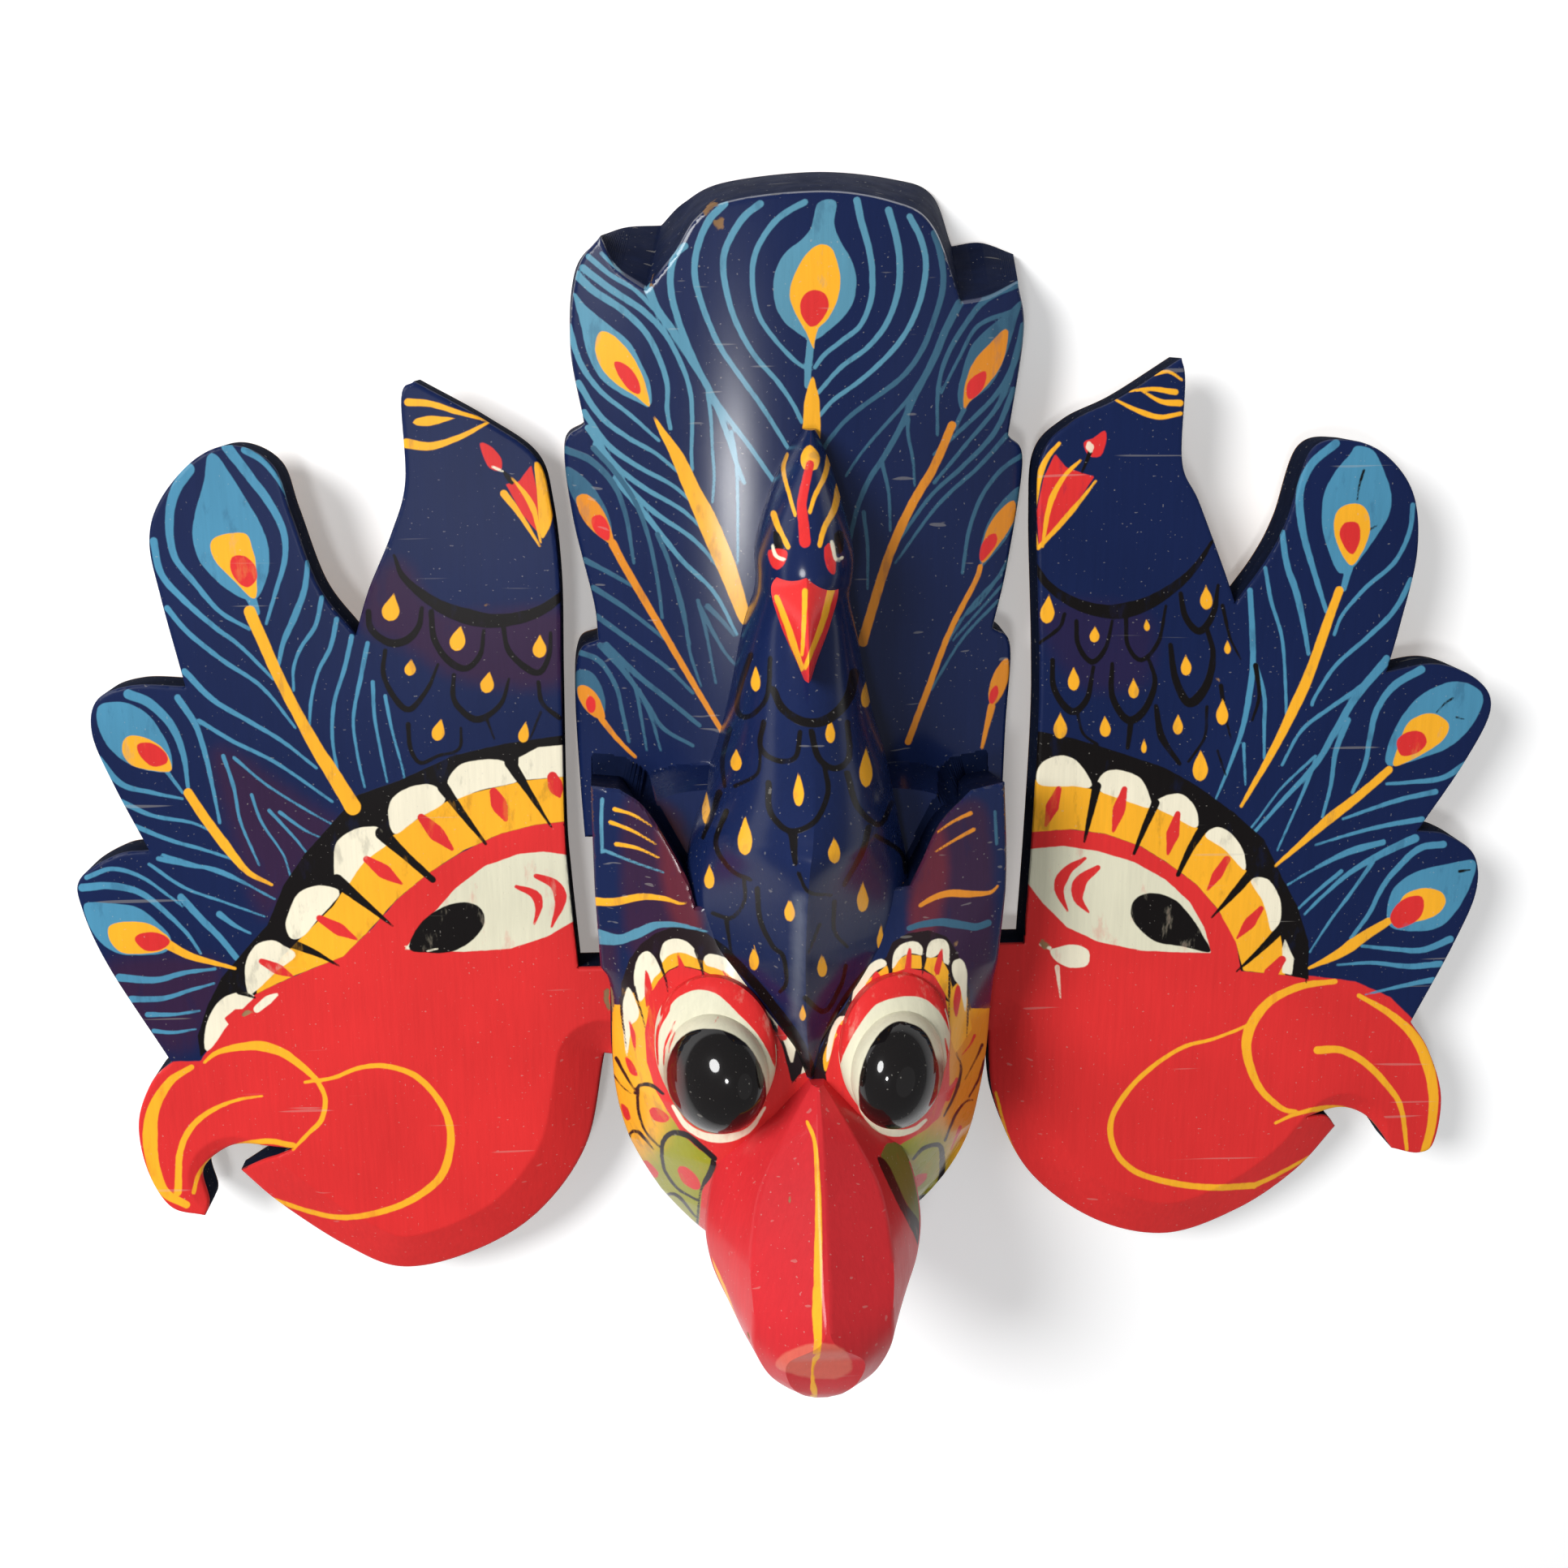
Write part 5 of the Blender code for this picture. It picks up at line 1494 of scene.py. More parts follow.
LEFT_WING_COATS = (
    Coat("plum", PURPLE, (
        LEFT_TOP.patch(850, 620, 960, 560, 1080, 700, 1420, 700, 1420, 900, 1150, 900, 960, 800, 850, 740),
        LEFT_TOP.patch(430, 1090, 700, 1250, 760, 1310, 640, 1480, 560, 1560, 480, 1350),
        LEFT_LOW.patch(120, 420, 420, 420, 360, 640, 250, 640),
    ), soft=16, wobble=8, cover=0.75),
    Coat("jaw_red", RED, (
        LEFT_LOW.patch(1390, 25, 1300, 35, 1200, 60, 1100, 110, 1000, 170, 920, 240, 850, 320, 770, 395, 640,
            452, 530, 498, 490, 540, 440, 595, 400, 650, 375, 688, 300, 690, 120, 800, 120, 1200, 900, 1400,
            1700, 1100, 1700, 400, 1432, 400, 1395, 250, smooth=False),
    ), soft=1.0, wobble=2.0, streak=0.0),
    Coat("sky_blue", SKY_BLUE, (
        LEFT_TOP.patch(430, 255, 470, 310, 520, 390, 560, 460, 580, 530, 575, 600, 545, 662, 500, 660, 440,
            620, 385, 560, 363, 490, 370, 420, 395, 330, 405, 258),
        LEFT_TOP.line(34, 10, 352, 296, 312, 360, 297, 440, 310, 540, 370, 620, 440, 700, 525, 750,
            middle=18),
        LEFT_TOP.line(22, 8, 252, 500, 272, 590, 330, 660, 420, 740, 500, 800, 592, 892),
        LEFT_TOP.line(16, 8, 290, 690, 350, 760, 450, 840, 560, 915, 655, 1030),
        LEFT_TOP.line(18, 8, 340, 870, 420, 950, 520, 1010, 620, 1070, 715, 1145),
        *LEFT_TOP.lines(12, 8, (380, 1010, 480, 1070, 600, 1130, 760, 1240), (290, 1155, 335, 1215)),
        LEFT_TOP.line(30, 8, 460, 232, 520, 310, 580, 390, 620, 470, 625, 550, 600, 640, 572, 735, middle=20),
        LEFT_TOP.line(20, 6, 510, 240, 570, 280, 620, 350, 642, 405),
        LEFT_TOP.line(14, 10, 690, 560, 680, 640, 650, 720, 620, 790, 605, 862, middle=20),
        *LEFT_TOP.lines(14, 8, (730, 660, 712, 740, 672, 800, 650, 860, 650, 925), (772, 722, 755, 800, 720,
            870, 700, 950, 695, 1022), (815, 770, 795, 860, 765, 960, 760, 1060, 776, 1160)),
        *LEFT_TOP.lines(14, 6, (860, 790, 842, 880, 820, 1000, 830, 1100, 852, 1200), (200, 1310, 300, 1350,
            400, 1378, 500, 1412)),
        *LEFT_TOP.lines(12, 6, (875, 900, 880, 1000, 900, 1110, 916, 1185), (450, 1110, 480, 1200, 500, 1300,
            552, 1420)),
        *LEFT_TOP.lines(10, 5, (910, 940, 930, 1040, 955, 1130, 970, 1198), (580, 1265, 650, 1340, 692, 1392),
            (610, 1270, 680, 1320, 735, 1346)),
        LEFT_TOP.line(30, 20, 528, 660, 545, 702),
        LEFT_TOP.patch(106, 962, 170, 958, 230, 988, 272, 1040, 300, 1100, 300, 1152, 240, 1152, 180, 1132,
            130, 1092, 100, 1042, 90, 990),
        LEFT_TOP.line(28, 10, 180, 935, 240, 960, 300, 1020, 335, 1100, 350, 1200, middle=22),
        LEFT_TOP.line(20, 8, 320, 945, 370, 1020, 400, 1110, 420, 1200, 440, 1300),
        *LEFT_TOP.lines(9, 5, (480, 1115, 570, 1190, 680, 1260, 778, 1315), (530, 1220, 560, 1300, 620, 1390,
            640, 1450)),
        LEFT_TOP.line(22, 6, 95, 1120, 160, 1190, 250, 1215, 335, 1232),
        LEFT_TOP.line(15, 6, 160, 1240, 250, 1280, 360, 1300, 432, 1332),
        LEFT_TOP.line(14, 5, 265, 1402, 350, 1420, 450, 1440, 590, 1515),
        LEFT_LOW.patch(55, 255, 120, 253, 200, 265, 260, 310, 292, 350, 280, 386, 220, 396, 150, 392, 100,
            362, 65, 310),
        *LEFT_LOW.lines(22, 8, (48, 210, 130, 205, 210, 225, 280, 280, 340, 340, 375, 392), (150, 458, 250,
            465, 330, 445, 415, 434)),
        LEFT_LOW.line(14, 6, 60, 182, 130, 158, 210, 180, 290, 235, 325, 262),
        LEFT_LOW.line(20, 16, 320, 236, 380, 300, 430, 350, 474, 404),
        LEFT_LOW.line(18, 5, 426, 283, 470, 315, 512, 336),
        LEFT_LOW.line(10, 5, 232, 145, 330, 210, 440, 250, 552, 290),
        LEFT_LOW.line(9, 5, 270, 120, 400, 160, 500, 200, 580, 242),
        LEFT_LOW.line(18, 6, 182, 518, 270, 516, 340, 495, 412, 474),
        LEFT_LOW.line(14, 5, 228, 560, 300, 560, 372, 550),
        LEFT_LOW.line(12, 5, 245, 605, 300, 610, 362, 600),
    )),
    Coat("black", BLACK, (
        LEFT_TOP.patch(1425, 1050, 1250, 1075, 1100, 1110, 950, 1180, 830, 1222, 760, 1300, 680, 1390, 620,
            1480, 575, 1590, 530, 1640, 445, 1740, 405, 1820, 377, 1905, 385, 1965, 410, 1940, 500, 1820, 545,
            1785, 650, 1735, 790, 1680, 870, 1600, 940, 1520, 1030, 1445, 1130, 1380, 1240, 1330, 1340, 1305,
            1430, 1295, smooth=False),
        LEFT_TOP.line(8, 24, 935, 540, 960, 600, 1020, 655, 1100, 700, 1200, 725, 1290, 718, 1360, 692, 1420,
            648, middle=46),
        LEFT_TOP.line(16, 12, 862, 700, 870, 750, 920, 788, 970, 782, 1005, 742, 1014, 690, middle=24),
        LEFT_TOP.line(16, 10, 1040, 700, 1050, 780, 1090, 840, 1140, 862, 1180, 822, 1190, 755, middle=20),
        LEFT_TOP.line(12, 10, 1245, 740, 1260, 810, 1310, 860, 1350, 872, 1376, 822, 1380, 760, middle=20),
        LEFT_TOP.line(12, 8, 910, 810, 905, 880, 940, 950, 980, 978, 1030, 920, 1060, 850, middle=18),
        LEFT_TOP.line(12, 8, 1105, 880, 1105, 950, 1150, 1000, 1190, 1002, 1240, 960, 1262, 890, middle=20),
        LEFT_TOP.line(12, 14, 1345, 900, 1356, 960, 1405, 1002),
        LEFT_TOP.line(14, 8, 975, 1020, 982, 1090, 1010, 1130, 1060, 1110, 1120, 1090, 1125, 1030),
        *LEFT_TOP.lines(8, 6, (1200, 1010, 1220, 1062), (1352, 985, 1322, 1060)),
    )),
    Coat("yellow", YELLOW, (
        LEFT_TOP.patch(470, 478, 515, 480, 532, 520, 542, 565, 540, 662, 480, 612, 430, 560, 413, 520, 425,
            490),
        LEFT_TOP.line(34, 46, 525, 700, 560, 780, 600, 870, 650, 970, 710, 1080, 760, 1160, 818, 1255,
            middle=30),
        LEFT_TOP.patch(165, 1070, 190, 1052, 240, 1063, 285, 1098, 302, 1152, 240, 1150, 190, 1137, 165,
            1105),
        LEFT_TOP.line(26, 8, 350, 1215, 400, 1290, 460, 1370, 520, 1440, 588, 1476, middle=28),
        LEFT_LOW.patch(120, 320, 160, 305, 225, 308, 270, 333, 292, 360, 260, 386, 170, 392, 130, 366),
        LEFT_LOW.line(26, 8, 290, 370, 350, 400, 470, 433),
        LEFT_TOP.drop(935, 648, 920, 727, 50),
        LEFT_TOP.drop(1125, 738, 1110, 812, 44),
        LEFT_TOP.drop(1350, 763, 1348, 832, 38),
        LEFT_TOP.drop(985, 833, 978, 882, 32),
        LEFT_TOP.drop(1207, 868, 1195, 932, 38),
        LEFT_TOP.drop(1070, 1003, 1055, 1067, 36),
        LEFT_TOP.drop(1310, 1012, 1300, 1072, 30),
        LEFT_TOP.line(22, 7, 975, 105, 1040, 110, 1120, 135, 1212, 160),
        LEFT_TOP.line(28, 7, 970, 222, 1040, 230, 1120, 205, 1170, 180, 1215, 155),
        LEFT_TOP.drop(1112, 150, 988, 163, 28),
        LEFT_TOP.patch(1425, 1168, 1310, 1180, 1200, 1205, 1100, 1230, 1000, 1290, 920, 1345, 840, 1420, 800,
            1480, 760, 1540, 680, 1618, 618, 1680, 546, 1772, 545, 1785, 650, 1735, 790, 1680, 870, 1600, 940,
            1520, 1030, 1445, 1130, 1380, 1240, 1330, 1340, 1305, 1430, 1295, smooth=False),
        LEFT_LOW.line(8, 14, 385, 692, 420, 665, 480, 650, 540, 647, 600, 665, 650, 700, 692, 737, middle=28),
        LEFT_LOW.line(12, 8, 694, 738, 718, 790, 708, 850, 670, 890, 630, 932, middle=14),
        LEFT_LOW.line(16, 10, 630, 922, 560, 910, 480, 922, 410, 957, 370, 1000, 355, 1052),
        LEFT_LOW.line(14, 20, 350, 705, 290, 745, 245, 820, 235, 900, 245, 980, 275, 1050, 335, 1085,
            middle=42),
        LEFT_LOW.line(5, 20, 545, 785, 480, 795, 410, 822, 350, 870, 318, 940, 312, 1050, middle=16),
        LEFT_LOW.line(8, 10, 662, 747, 740, 735, 810, 708, 880, 702, 960, 725, 1020, 780, 1058, 850, 1063,
            930, 1035, 1010, 960, 1070, 870, 1105, 770, 1120, 680, 1105, 560, 1065, middle=22),
        LEFT_TOP.line(22, 6, 1247, 365, 1290, 420, 1350, 515),
        LEFT_TOP.patch(1335, 275, 1365, 300, 1385, 380, 1384, 440, 1357, 492, 1345, 440, 1340, 350),
    )),
    Coat("cream", CREAM, (
        LEFT_TOP.patch(1290, 1115, 1345, 1085, 1425, 1078, 1425, 1168, 1312, 1178, 1288, 1140, smooth=False),
        LEFT_TOP.patch(1092, 1170, 1130, 1132, 1215, 1120, 1262, 1135, 1288, 1180, 1180, 1208, 1100, 1235,
            1088, 1200),
        LEFT_TOP.patch(920, 1290, 925, 1240, 965, 1205, 1030, 1190, 1070, 1210, 1078, 1242, 1000, 1290, 940,
            1332),
        LEFT_TOP.patch(765, 1430, 770, 1360, 820, 1320, 885, 1312, 915, 1340, 915, 1362, 850, 1412, 800, 1480,
            770, 1470),
        LEFT_LOW.patch(612, 295, 640, 230, 690, 205, 740, 210, 757, 230, 700, 295, 660, 342, 625, 352, 610,
            320),
        LEFT_LOW.patch(498, 425, 525, 370, 570, 355, 605, 370, 637, 397, 585, 440, 530, 492, 505, 500),
        LEFT_LOW.patch(386, 655, 390, 590, 420, 530, 470, 500, 522, 508, 490, 545, 445, 595, 405, 652),
    )),
    Coat("eye_white", EYE_WHITE, (
        LEFT_LOW.patch(938, 380, 1000, 300, 1080, 210, 1160, 150, 1250, 118, 1320, 110, 1400, 122, 1412, 298,
            1330, 345, 1230, 378, 1100, 387, smooth=False),
    )),
    Coat("red", RED, (
        LEFT_TOP.patch(475, 545, 510, 542, 540, 570, 546, 605, 520, 632, 490, 615, 470, 580),
        LEFT_TOP.patch(205, 1078, 245, 1073, 285, 1100, 290, 1130, 250, 1140, 215, 1112),
        LEFT_LOW.patch(192, 352, 215, 335, 260, 335, 290, 358, 265, 381, 220, 383),
        LEFT_TOP.line(30, 10, 1385, 1170, 1405, 1225, middle=46),
        LEFT_TOP.line(24, 14, 1218, 1212, 1252, 1290, middle=48),
        LEFT_TOP.line(22, 10, 1012, 1285, 1100, 1375, middle=46),
        LEFT_TOP.line(20, 6, 857, 1404, 958, 1474, middle=42),
        LEFT_LOW.line(18, 5, 702, 294, 808, 354, middle=36),
        LEFT_LOW.line(16, 5, 542, 413, 630, 455, middle=32),
        LEFT_LOW.line(10, 6, 1245, 207, 1295, 228, 1308, 262, 1295, 310, middle=28),
        LEFT_LOW.line(14, 6, 1300, 178, 1350, 200, 1368, 245, 1343, 318, middle=36),
        LEFT_TOP.patch(1180, 220, 1215, 235, 1240, 268, 1238, 300, 1207, 292, 1190, 260),
        LEFT_TOP.patch(1325, 283, 1340, 350, 1346, 430, 1350, 482, 1300, 425, 1262, 355, 1252, 338, 1290, 330,
            smooth=False),
        LEFT_LOW.patch(440, 570, 470, 545, 500, 545, 490, 590, 460, 600, smooth=False),
    )),
    Coat("marks", BLACK, (
        LEFT_TOP.line(34, 6, 1265, 1130, 1320, 1215, 1382, 1312, middle=18),
        LEFT_TOP.line(34, 8, 1075, 1200, 1130, 1275, 1196, 1360, middle=20),
        LEFT_TOP.line(38, 18, 900, 1330, 975, 1400, 1045, 1462, middle=24),
        LEFT_LOW.line(36, 5, 750, 190, 830, 255, 905, 316, middle=20),
        LEFT_LOW.line(28, 4, 610, 358, 690, 390, 757, 426, middle=18),
        LEFT_LOW.line(16, 5, 480, 497, 525, 514),
        LEFT_LOW.patch(950, 377, 980, 310, 1040, 265, 1100, 250, 1145, 264, 1158, 305, 1130, 350, 1070, 386,
            1000, 389),
        LEFT_TOP.line(6, 12, 1245, 300, 1270, 334, middle=16),
    )),
    Coat("gilt", YELLOW, (
        LEFT_TOP.line(6, 5, 1270, 320, 1310, 370, 1335, 420, 1352, 505, middle=18),
    )),
    Coat("white", CREAM, (
        LEFT_TOP.line(6, 4, 1214, 288, 1245, 302, middle=10),
        LEFT_LOW.line(20, 8, 530, 545, 560, 520, 585, 505, middle=24),
        LEFT_LOW.line(4, 3, 940, 372, 950, 378),
        LEFT_LOW.line(5, 3, 1000, 385, 1030, 378),
    )),
)
LEFT_WING_CHIPS = (
    LEFT_LOW.line(6, 4, 496, 560, 530, 545),
    LEFT_LOW.patch(1488, 500, 1500, 490, 1503, 545, 1490, 525),
    LEFT_TOP.line(4, 3, 1195, 683, 1210, 680),
)

RIGHT_WING_COATS = (
    Coat("plum", PURPLE, (
        RIGHT_TOP.patch(200, 780, 500, 800, 500, 1000, 300, 1000),
    ), soft=16, wobble=8, cover=0.35),
    Coat("jaw_red", RED, (
        RIGHT_LOW.patch(190, 148, 320, 142, 420, 155, 520, 190, 600, 240, 680, 300, 740, 370, 790, 450, 805,
            545, 900, 552, 1010, 560, 1130, 575, 1230, 620, 1290, 680, 1560, 700, 1560, 1250, 100, 1450, -100,
            700, 50, 455, 185, 440, smooth=False),
    ), soft=1.0, wobble=2.0, streak=0.0),
    Coat("sky_blue", SKY_BLUE, (
        RIGHT_TOP.patch(1120, 308, 1170, 322, 1200, 380, 1222, 450, 1215, 510, 1180, 570, 1130, 640, 1105,
            667, 1070, 680, 1040, 620, 1020, 540, 1025, 450, 1060, 380, 1100, 335),
        RIGHT_TOP.line(22, 18, 1100, 660, 1082, 725),
        RIGHT_TOP.line(24, 12, 1060, 300, 990, 360, 955, 440, 960, 540, 985, 640, 1032, 792, middle=22),
        RIGHT_TOP.line(16, 12, 903, 560, 915, 650, 945, 740, 965, 830, 980, 916, middle=20),
        RIGHT_TOP.line(12, 8, 853, 665, 870, 760, 900, 860, 910, 960, 915, 1092),
        RIGHT_TOP.line(16, 6, 808, 730, 815, 850, 815, 970, 790, 1120, 750, 1240, 708, 1342, middle=18),
        RIGHT_TOP.line(14, 8, 825, 950, 850, 1040, 850, 1130, 850, 1222),
        RIGHT_TOP.line(10, 5, 790, 1180, 795, 1300),
        RIGHT_TOP.line(14, 10, 1285, 480, 1275, 560, 1230, 650, 1150, 720, 1080, 800, 1055, 860),
        RIGHT_TOP.line(16, 10, 1280, 700, 1230, 790, 1150, 870, 1060, 950, 1000, 1040, 990, 1066),
        RIGHT_TOP.line(20, 8, 1208, 930, 1150, 1000, 1050, 1070, 960, 1140, 902, 1242, middle=12),
        RIGHT_TOP.line(26, 8, 1200, 945, 1120, 1040, 1060, 1140, 1000, 1240, 900, 1350, 800, 1462),
        RIGHT_TOP.line(8, 6, 1000, 1215, 900, 1310, 840, 1390, 800, 1440),
        RIGHT_TOP.patch(1400, 998, 1462, 1010, 1492, 1050, 1455, 1130, 1390, 1190, 1300, 1225, 1240, 1242,
            1205, 1235, 1218, 1170, 1260, 1090, 1320, 1030),
        RIGHT_TOP.line(24, 10, 1310, 962, 1230, 1010, 1180, 1080, 1160, 1160, 1145, 1240, 1108, 1322),
        RIGHT_TOP.line(18, 8, 1095, 1110, 1060, 1200, 1045, 1300, 1020, 1395),
        *RIGHT_TOP.lines(12, 5, (1000, 1230, 960, 1330, 920, 1420, 888, 1492), (1200, 1465, 1100, 1490, 1000,
            1540)),
        RIGHT_TOP.line(20, 8, 1440, 1240, 1370, 1280, 1280, 1292, 1208, 1297),
        RIGHT_TOP.line(16, 8, 1352, 1320, 1260, 1340, 1170, 1368, 1080, 1400),
        RIGHT_TOP.line(16, 6, 1312, 1400, 1200, 1420, 1100, 1445, 1000, 1476),
        RIGHT_LOW.patch(1470, 233, 1400, 240, 1300, 265, 1240, 310, 1220, 370, 1230, 420, 1300, 432, 1370,
            420, 1420, 370, 1458, 300),
        RIGHT_LOW.line(20, 10, 1380, 185, 1310, 198, 1245, 258, 1205, 310, 1170, 380, 1118, 452),
        RIGHT_LOW.line(24, 6, 1300, 168, 1210, 210, 1120, 262, 1040, 330, 985, 385),
        *RIGHT_LOW.lines(12, 5, (1180, 235, 1120, 320, 1060, 400, 1000, 492), (1090, 262, 1020, 320, 938,
            395)),
        RIGHT_LOW.line(14, 5, 1210, 180, 1100, 215, 1010, 258, 938, 300),
        RIGHT_LOW.line(20, 8, 1400, 455, 1320, 486, 1230, 482, 1148, 474),
        RIGHT_LOW.line(18, 6, 1372, 525, 1280, 532, 1180, 522, 1078, 528),
        RIGHT_LOW.line(16, 4, 1352, 570, 1270, 586, 1158, 612),
    )),
    Coat("black", BLACK, (
        RIGHT_LOW.patch(185, -145, 337, -114, 463, -75, 590, -32, 677, 17, 784, 94, 871, 172, 920, 277, 965,
            360, 996, 460, 997, 570, 930, 556, 805, 545, 790, 450, 740, 370, 680, 300, 600, 240, 520, 190,
            420, 155, 320, 142, 190, 148, smooth=False),
        RIGHT_TOP.line(18, 10, 180, 660, 220, 718, 300, 770, 400, 793, 500, 772, 590, 718, 650, 660, 697, 588,
            middle=46),
        RIGHT_TOP.line(12, 10, 265, 800, 250, 840, 192, 884),
        RIGHT_TOP.line(12, 8, 300, 820, 305, 890, 345, 940, 385, 900, 405, 820, middle=16),
        RIGHT_TOP.line(12, 8, 445, 810, 450, 890, 490, 935, 540, 880, 562, 775, middle=14),
        *RIGHT_TOP.lines(14, 10, (605, 740, 620, 810, 660, 850, 700, 800, 715, 715), (230, 935, 235, 1020,
            285, 1085, 330, 1050, 350, 955), middle=22),
        RIGHT_TOP.line(12, 5, 728, 775, 750, 870, 782, 932),
        RIGHT_TOP.line(12, 10, 405, 945, 405, 1040, 450, 1110, 500, 1080, 530, 1000, 513, 935, middle=24),
        RIGHT_TOP.line(14, 12, 575, 890, 590, 990, 630, 1060, 680, 1010, 700, 920, 683, 845, middle=28),
        RIGHT_TOP.line(14, 5, 723, 1010, 735, 1090, 752, 1165),
        RIGHT_TOP.line(16, 8, 825, 950, 835, 1040, 815, 1110),
        RIGHT_TOP.line(14, 12, 533, 1070, 550, 1160, 602, 1238, middle=22),
        *RIGHT_TOP.lines(10, 8, (682, 1070, 675, 1160, 628, 1232), (303, 1090, 320, 1150, 362, 1182)),
        RIGHT_TOP.line(18, 12, 460, 1110, 450, 1192),
        RIGHT_TOP.line(8, 5, 713, 1200, 737, 1272),
        RIGHT_TOP.line(18, 10, 170, 900, 176, 985),
        *RIGHT_TOP.lines(8, 3, (1142, 378, 1128, 425, 1122, 468), (1402, 1046, 1378, 1062, 1354, 1088)),
        RIGHT_TOP.line(6, 3, 1412, 1102, 1436, 1108),
        RIGHT_TOP.line(6, 4, 1160, 552, 1180, 540),
        RIGHT_LOW.line(8, 4, 1425, 262, 1455, 258),
    )),
    Coat("yellow", YELLOW, (
        RIGHT_TOP.patch(1095, 478, 1140, 484, 1160, 530, 1150, 590, 1108, 657, 1075, 620, 1055, 560, 1060,
            505),
        RIGHT_TOP.line(24, 10, 1070, 730, 1030, 840, 980, 980, 930, 1090, 870, 1210, 783, 1362, middle=32),
        RIGHT_TOP.patch(1310, 1095, 1350, 1092, 1389, 1120, 1380, 1160, 1330, 1200, 1232, 1245, 1245, 1180,
            1270, 1120),
        RIGHT_TOP.line(22, 8, 1215, 1256, 1130, 1330, 1040, 1400, 960, 1470, 883, 1537, middle=28),
        RIGHT_LOW.patch(1265, 335, 1320, 310, 1372, 320, 1386, 350, 1360, 386, 1300, 405, 1250, 402),
        RIGHT_LOW.line(20, 8, 1225, 403, 1150, 450, 1080, 498, 998, 537, middle=32),
        RIGHT_TOP.drop(220, 742, 212, 828, 42),
        RIGHT_TOP.drop(355, 833, 352, 883, 28),
        RIGHT_TOP.drop(505, 813, 507, 850, 17),
        RIGHT_TOP.drop(679, 715, 681, 787, 36),
        RIGHT_TOP.drop(742, 876, 743, 917, 20),
        RIGHT_TOP.drop(292, 952, 292, 1024, 34),
        RIGHT_TOP.drop(467, 987, 468, 1047, 30),
        RIGHT_TOP.drop(620, 917, 622, 980, 31),
        RIGHT_TOP.drop(728, 1046, 726, 1125, 35),
        RIGHT_TOP.drop(253, 1087, 253, 1165, 40),
        RIGHT_TOP.drop(383, 1097, 385, 1160, 32),
        RIGHT_TOP.drop(598, 1092, 597, 1153, 29),
        RIGHT_TOP.drop(498, 1163, 498, 1208, 17),
        RIGHT_TOP.drop(664, 1194, 662, 1289, 44),
        RIGHT_TOP.line(12, 7, 528, 97, 570, 90, 608, 114),
        RIGHT_TOP.line(7, 18, 455, 147, 520, 141, 590, 150, middle=12),
        RIGHT_TOP.line(7, 20, 495, 148, 550, 178, 604, 182, middle=14),
        RIGHT_TOP.line(6, 12, 410, 170, 470, 200, 540, 223, 606, 213, middle=16),
        RIGHT_LOW.patch(205, -10, 230, 8, 330, 15, 440, 45, 540, 75, 640, 112, 720, 162, 800, 235, 860, 312,
            908, 400, 924, 480, 930, 556, 812, 545, 790, 462, 740, 370, 680, 300, 600, 240, 520, 190, 420,
            155, 320, 142, 212, 150, 196, 100, smooth=False),
        RIGHT_LOW.line(14, 12, 1072, 575, 980, 587, 900, 622, 850, 672, 822, 735, 826, 800, 860, 880, 920,
            935, 960, 945, middle=30),
        RIGHT_LOW.line(8, 10, 903, 977, 960, 952, 1040, 935, 1110, 942, 1170, 975, 1222, 1045, middle=18),
        RIGHT_LOW.line(12, 22, 1140, 615, 1230, 668, 1300, 735, 1338, 820, 1352, 900, 1345, 990, 1325, 1062,
            middle=32),
        RIGHT_LOW.line(22, 10, 1022, 770, 1090, 770, 1160, 808, 1220, 870, 1260, 935, 1276, 1052, middle=18),
        RIGHT_LOW.line(8, 18, 820, 700, 790, 714, 720, 740, 640, 762, 550, 820, 480, 890, 436, 970, 445, 1050,
            500, 1112, 600, 1145, 720, 1160, 840, 1155, middle=16),
        RIGHT_LOW.line(14, 5, 840, 1155, 900, 1128, 1040, 1050),
        RIGHT_LOW.line(8, 8, 108, 890, 150, 1035, 230, 1158, 400, 1268),
        RIGHT_TOP.line(10, 10, 250, 300, 210, 350, 182, 430, 172, 520, 185, 602, middle=24),
    )),
    Coat("cream", CREAM, (
        RIGHT_TOP.patch(195, 1240, 250, 1214, 300, 1230, 342, 1287, 338, 1308, 292, 1304, 190, 1298),
        RIGHT_TOP.patch(363, 1312, 380, 1265, 430, 1257, 490, 1284, 517, 1343, 515, 1368, 440, 1345),
        RIGHT_TOP.patch(528, 1360, 560, 1332, 610, 1328, 650, 1370, 652, 1425, 590, 1396),
        RIGHT_TOP.patch(677, 1450, 710, 1424, 750, 1440, 787, 1490, 792, 1550, 735, 1490),
        RIGHT_LOW.patch(832, 288, 880, 284, 915, 340, 917, 400, 892, 432, 868, 350),
        RIGHT_LOW.patch(930, 455, 955, 510, 950, 557, 922, 550, 922, 480, smooth=False),
        RIGHT_LOW.patch(262, 488, 285, 478, 330, 470, 372, 488, 368, 528, 320, 536, 280, 516),
        RIGHT_LOW.line(8, 10, 235, 470, 262, 480),
    )),
    Coat("eye_white", EYE_WHITE, (
        RIGHT_LOW.patch(190, 200, 300, 190, 400, 205, 500, 235, 590, 285, 660, 350, 700, 420, 720, 494, 640,
            492, 520, 487, 400, 462, 310, 420, 240, 350, 190, 285, smooth=False),
    )),
    Coat("red", RED, (
        RIGHT_TOP.patch(1095, 530, 1125, 535, 1131, 580, 1110, 624, 1085, 605, 1070, 565, 1078, 540),
        RIGHT_TOP.patch(1238, 1172, 1270, 1145, 1310, 1145, 1326, 1175, 1300, 1205, 1252, 1214),
        RIGHT_LOW.patch(1243, 362, 1280, 335, 1320, 335, 1323, 375, 1300, 405, 1250, 424, 1228, 395),
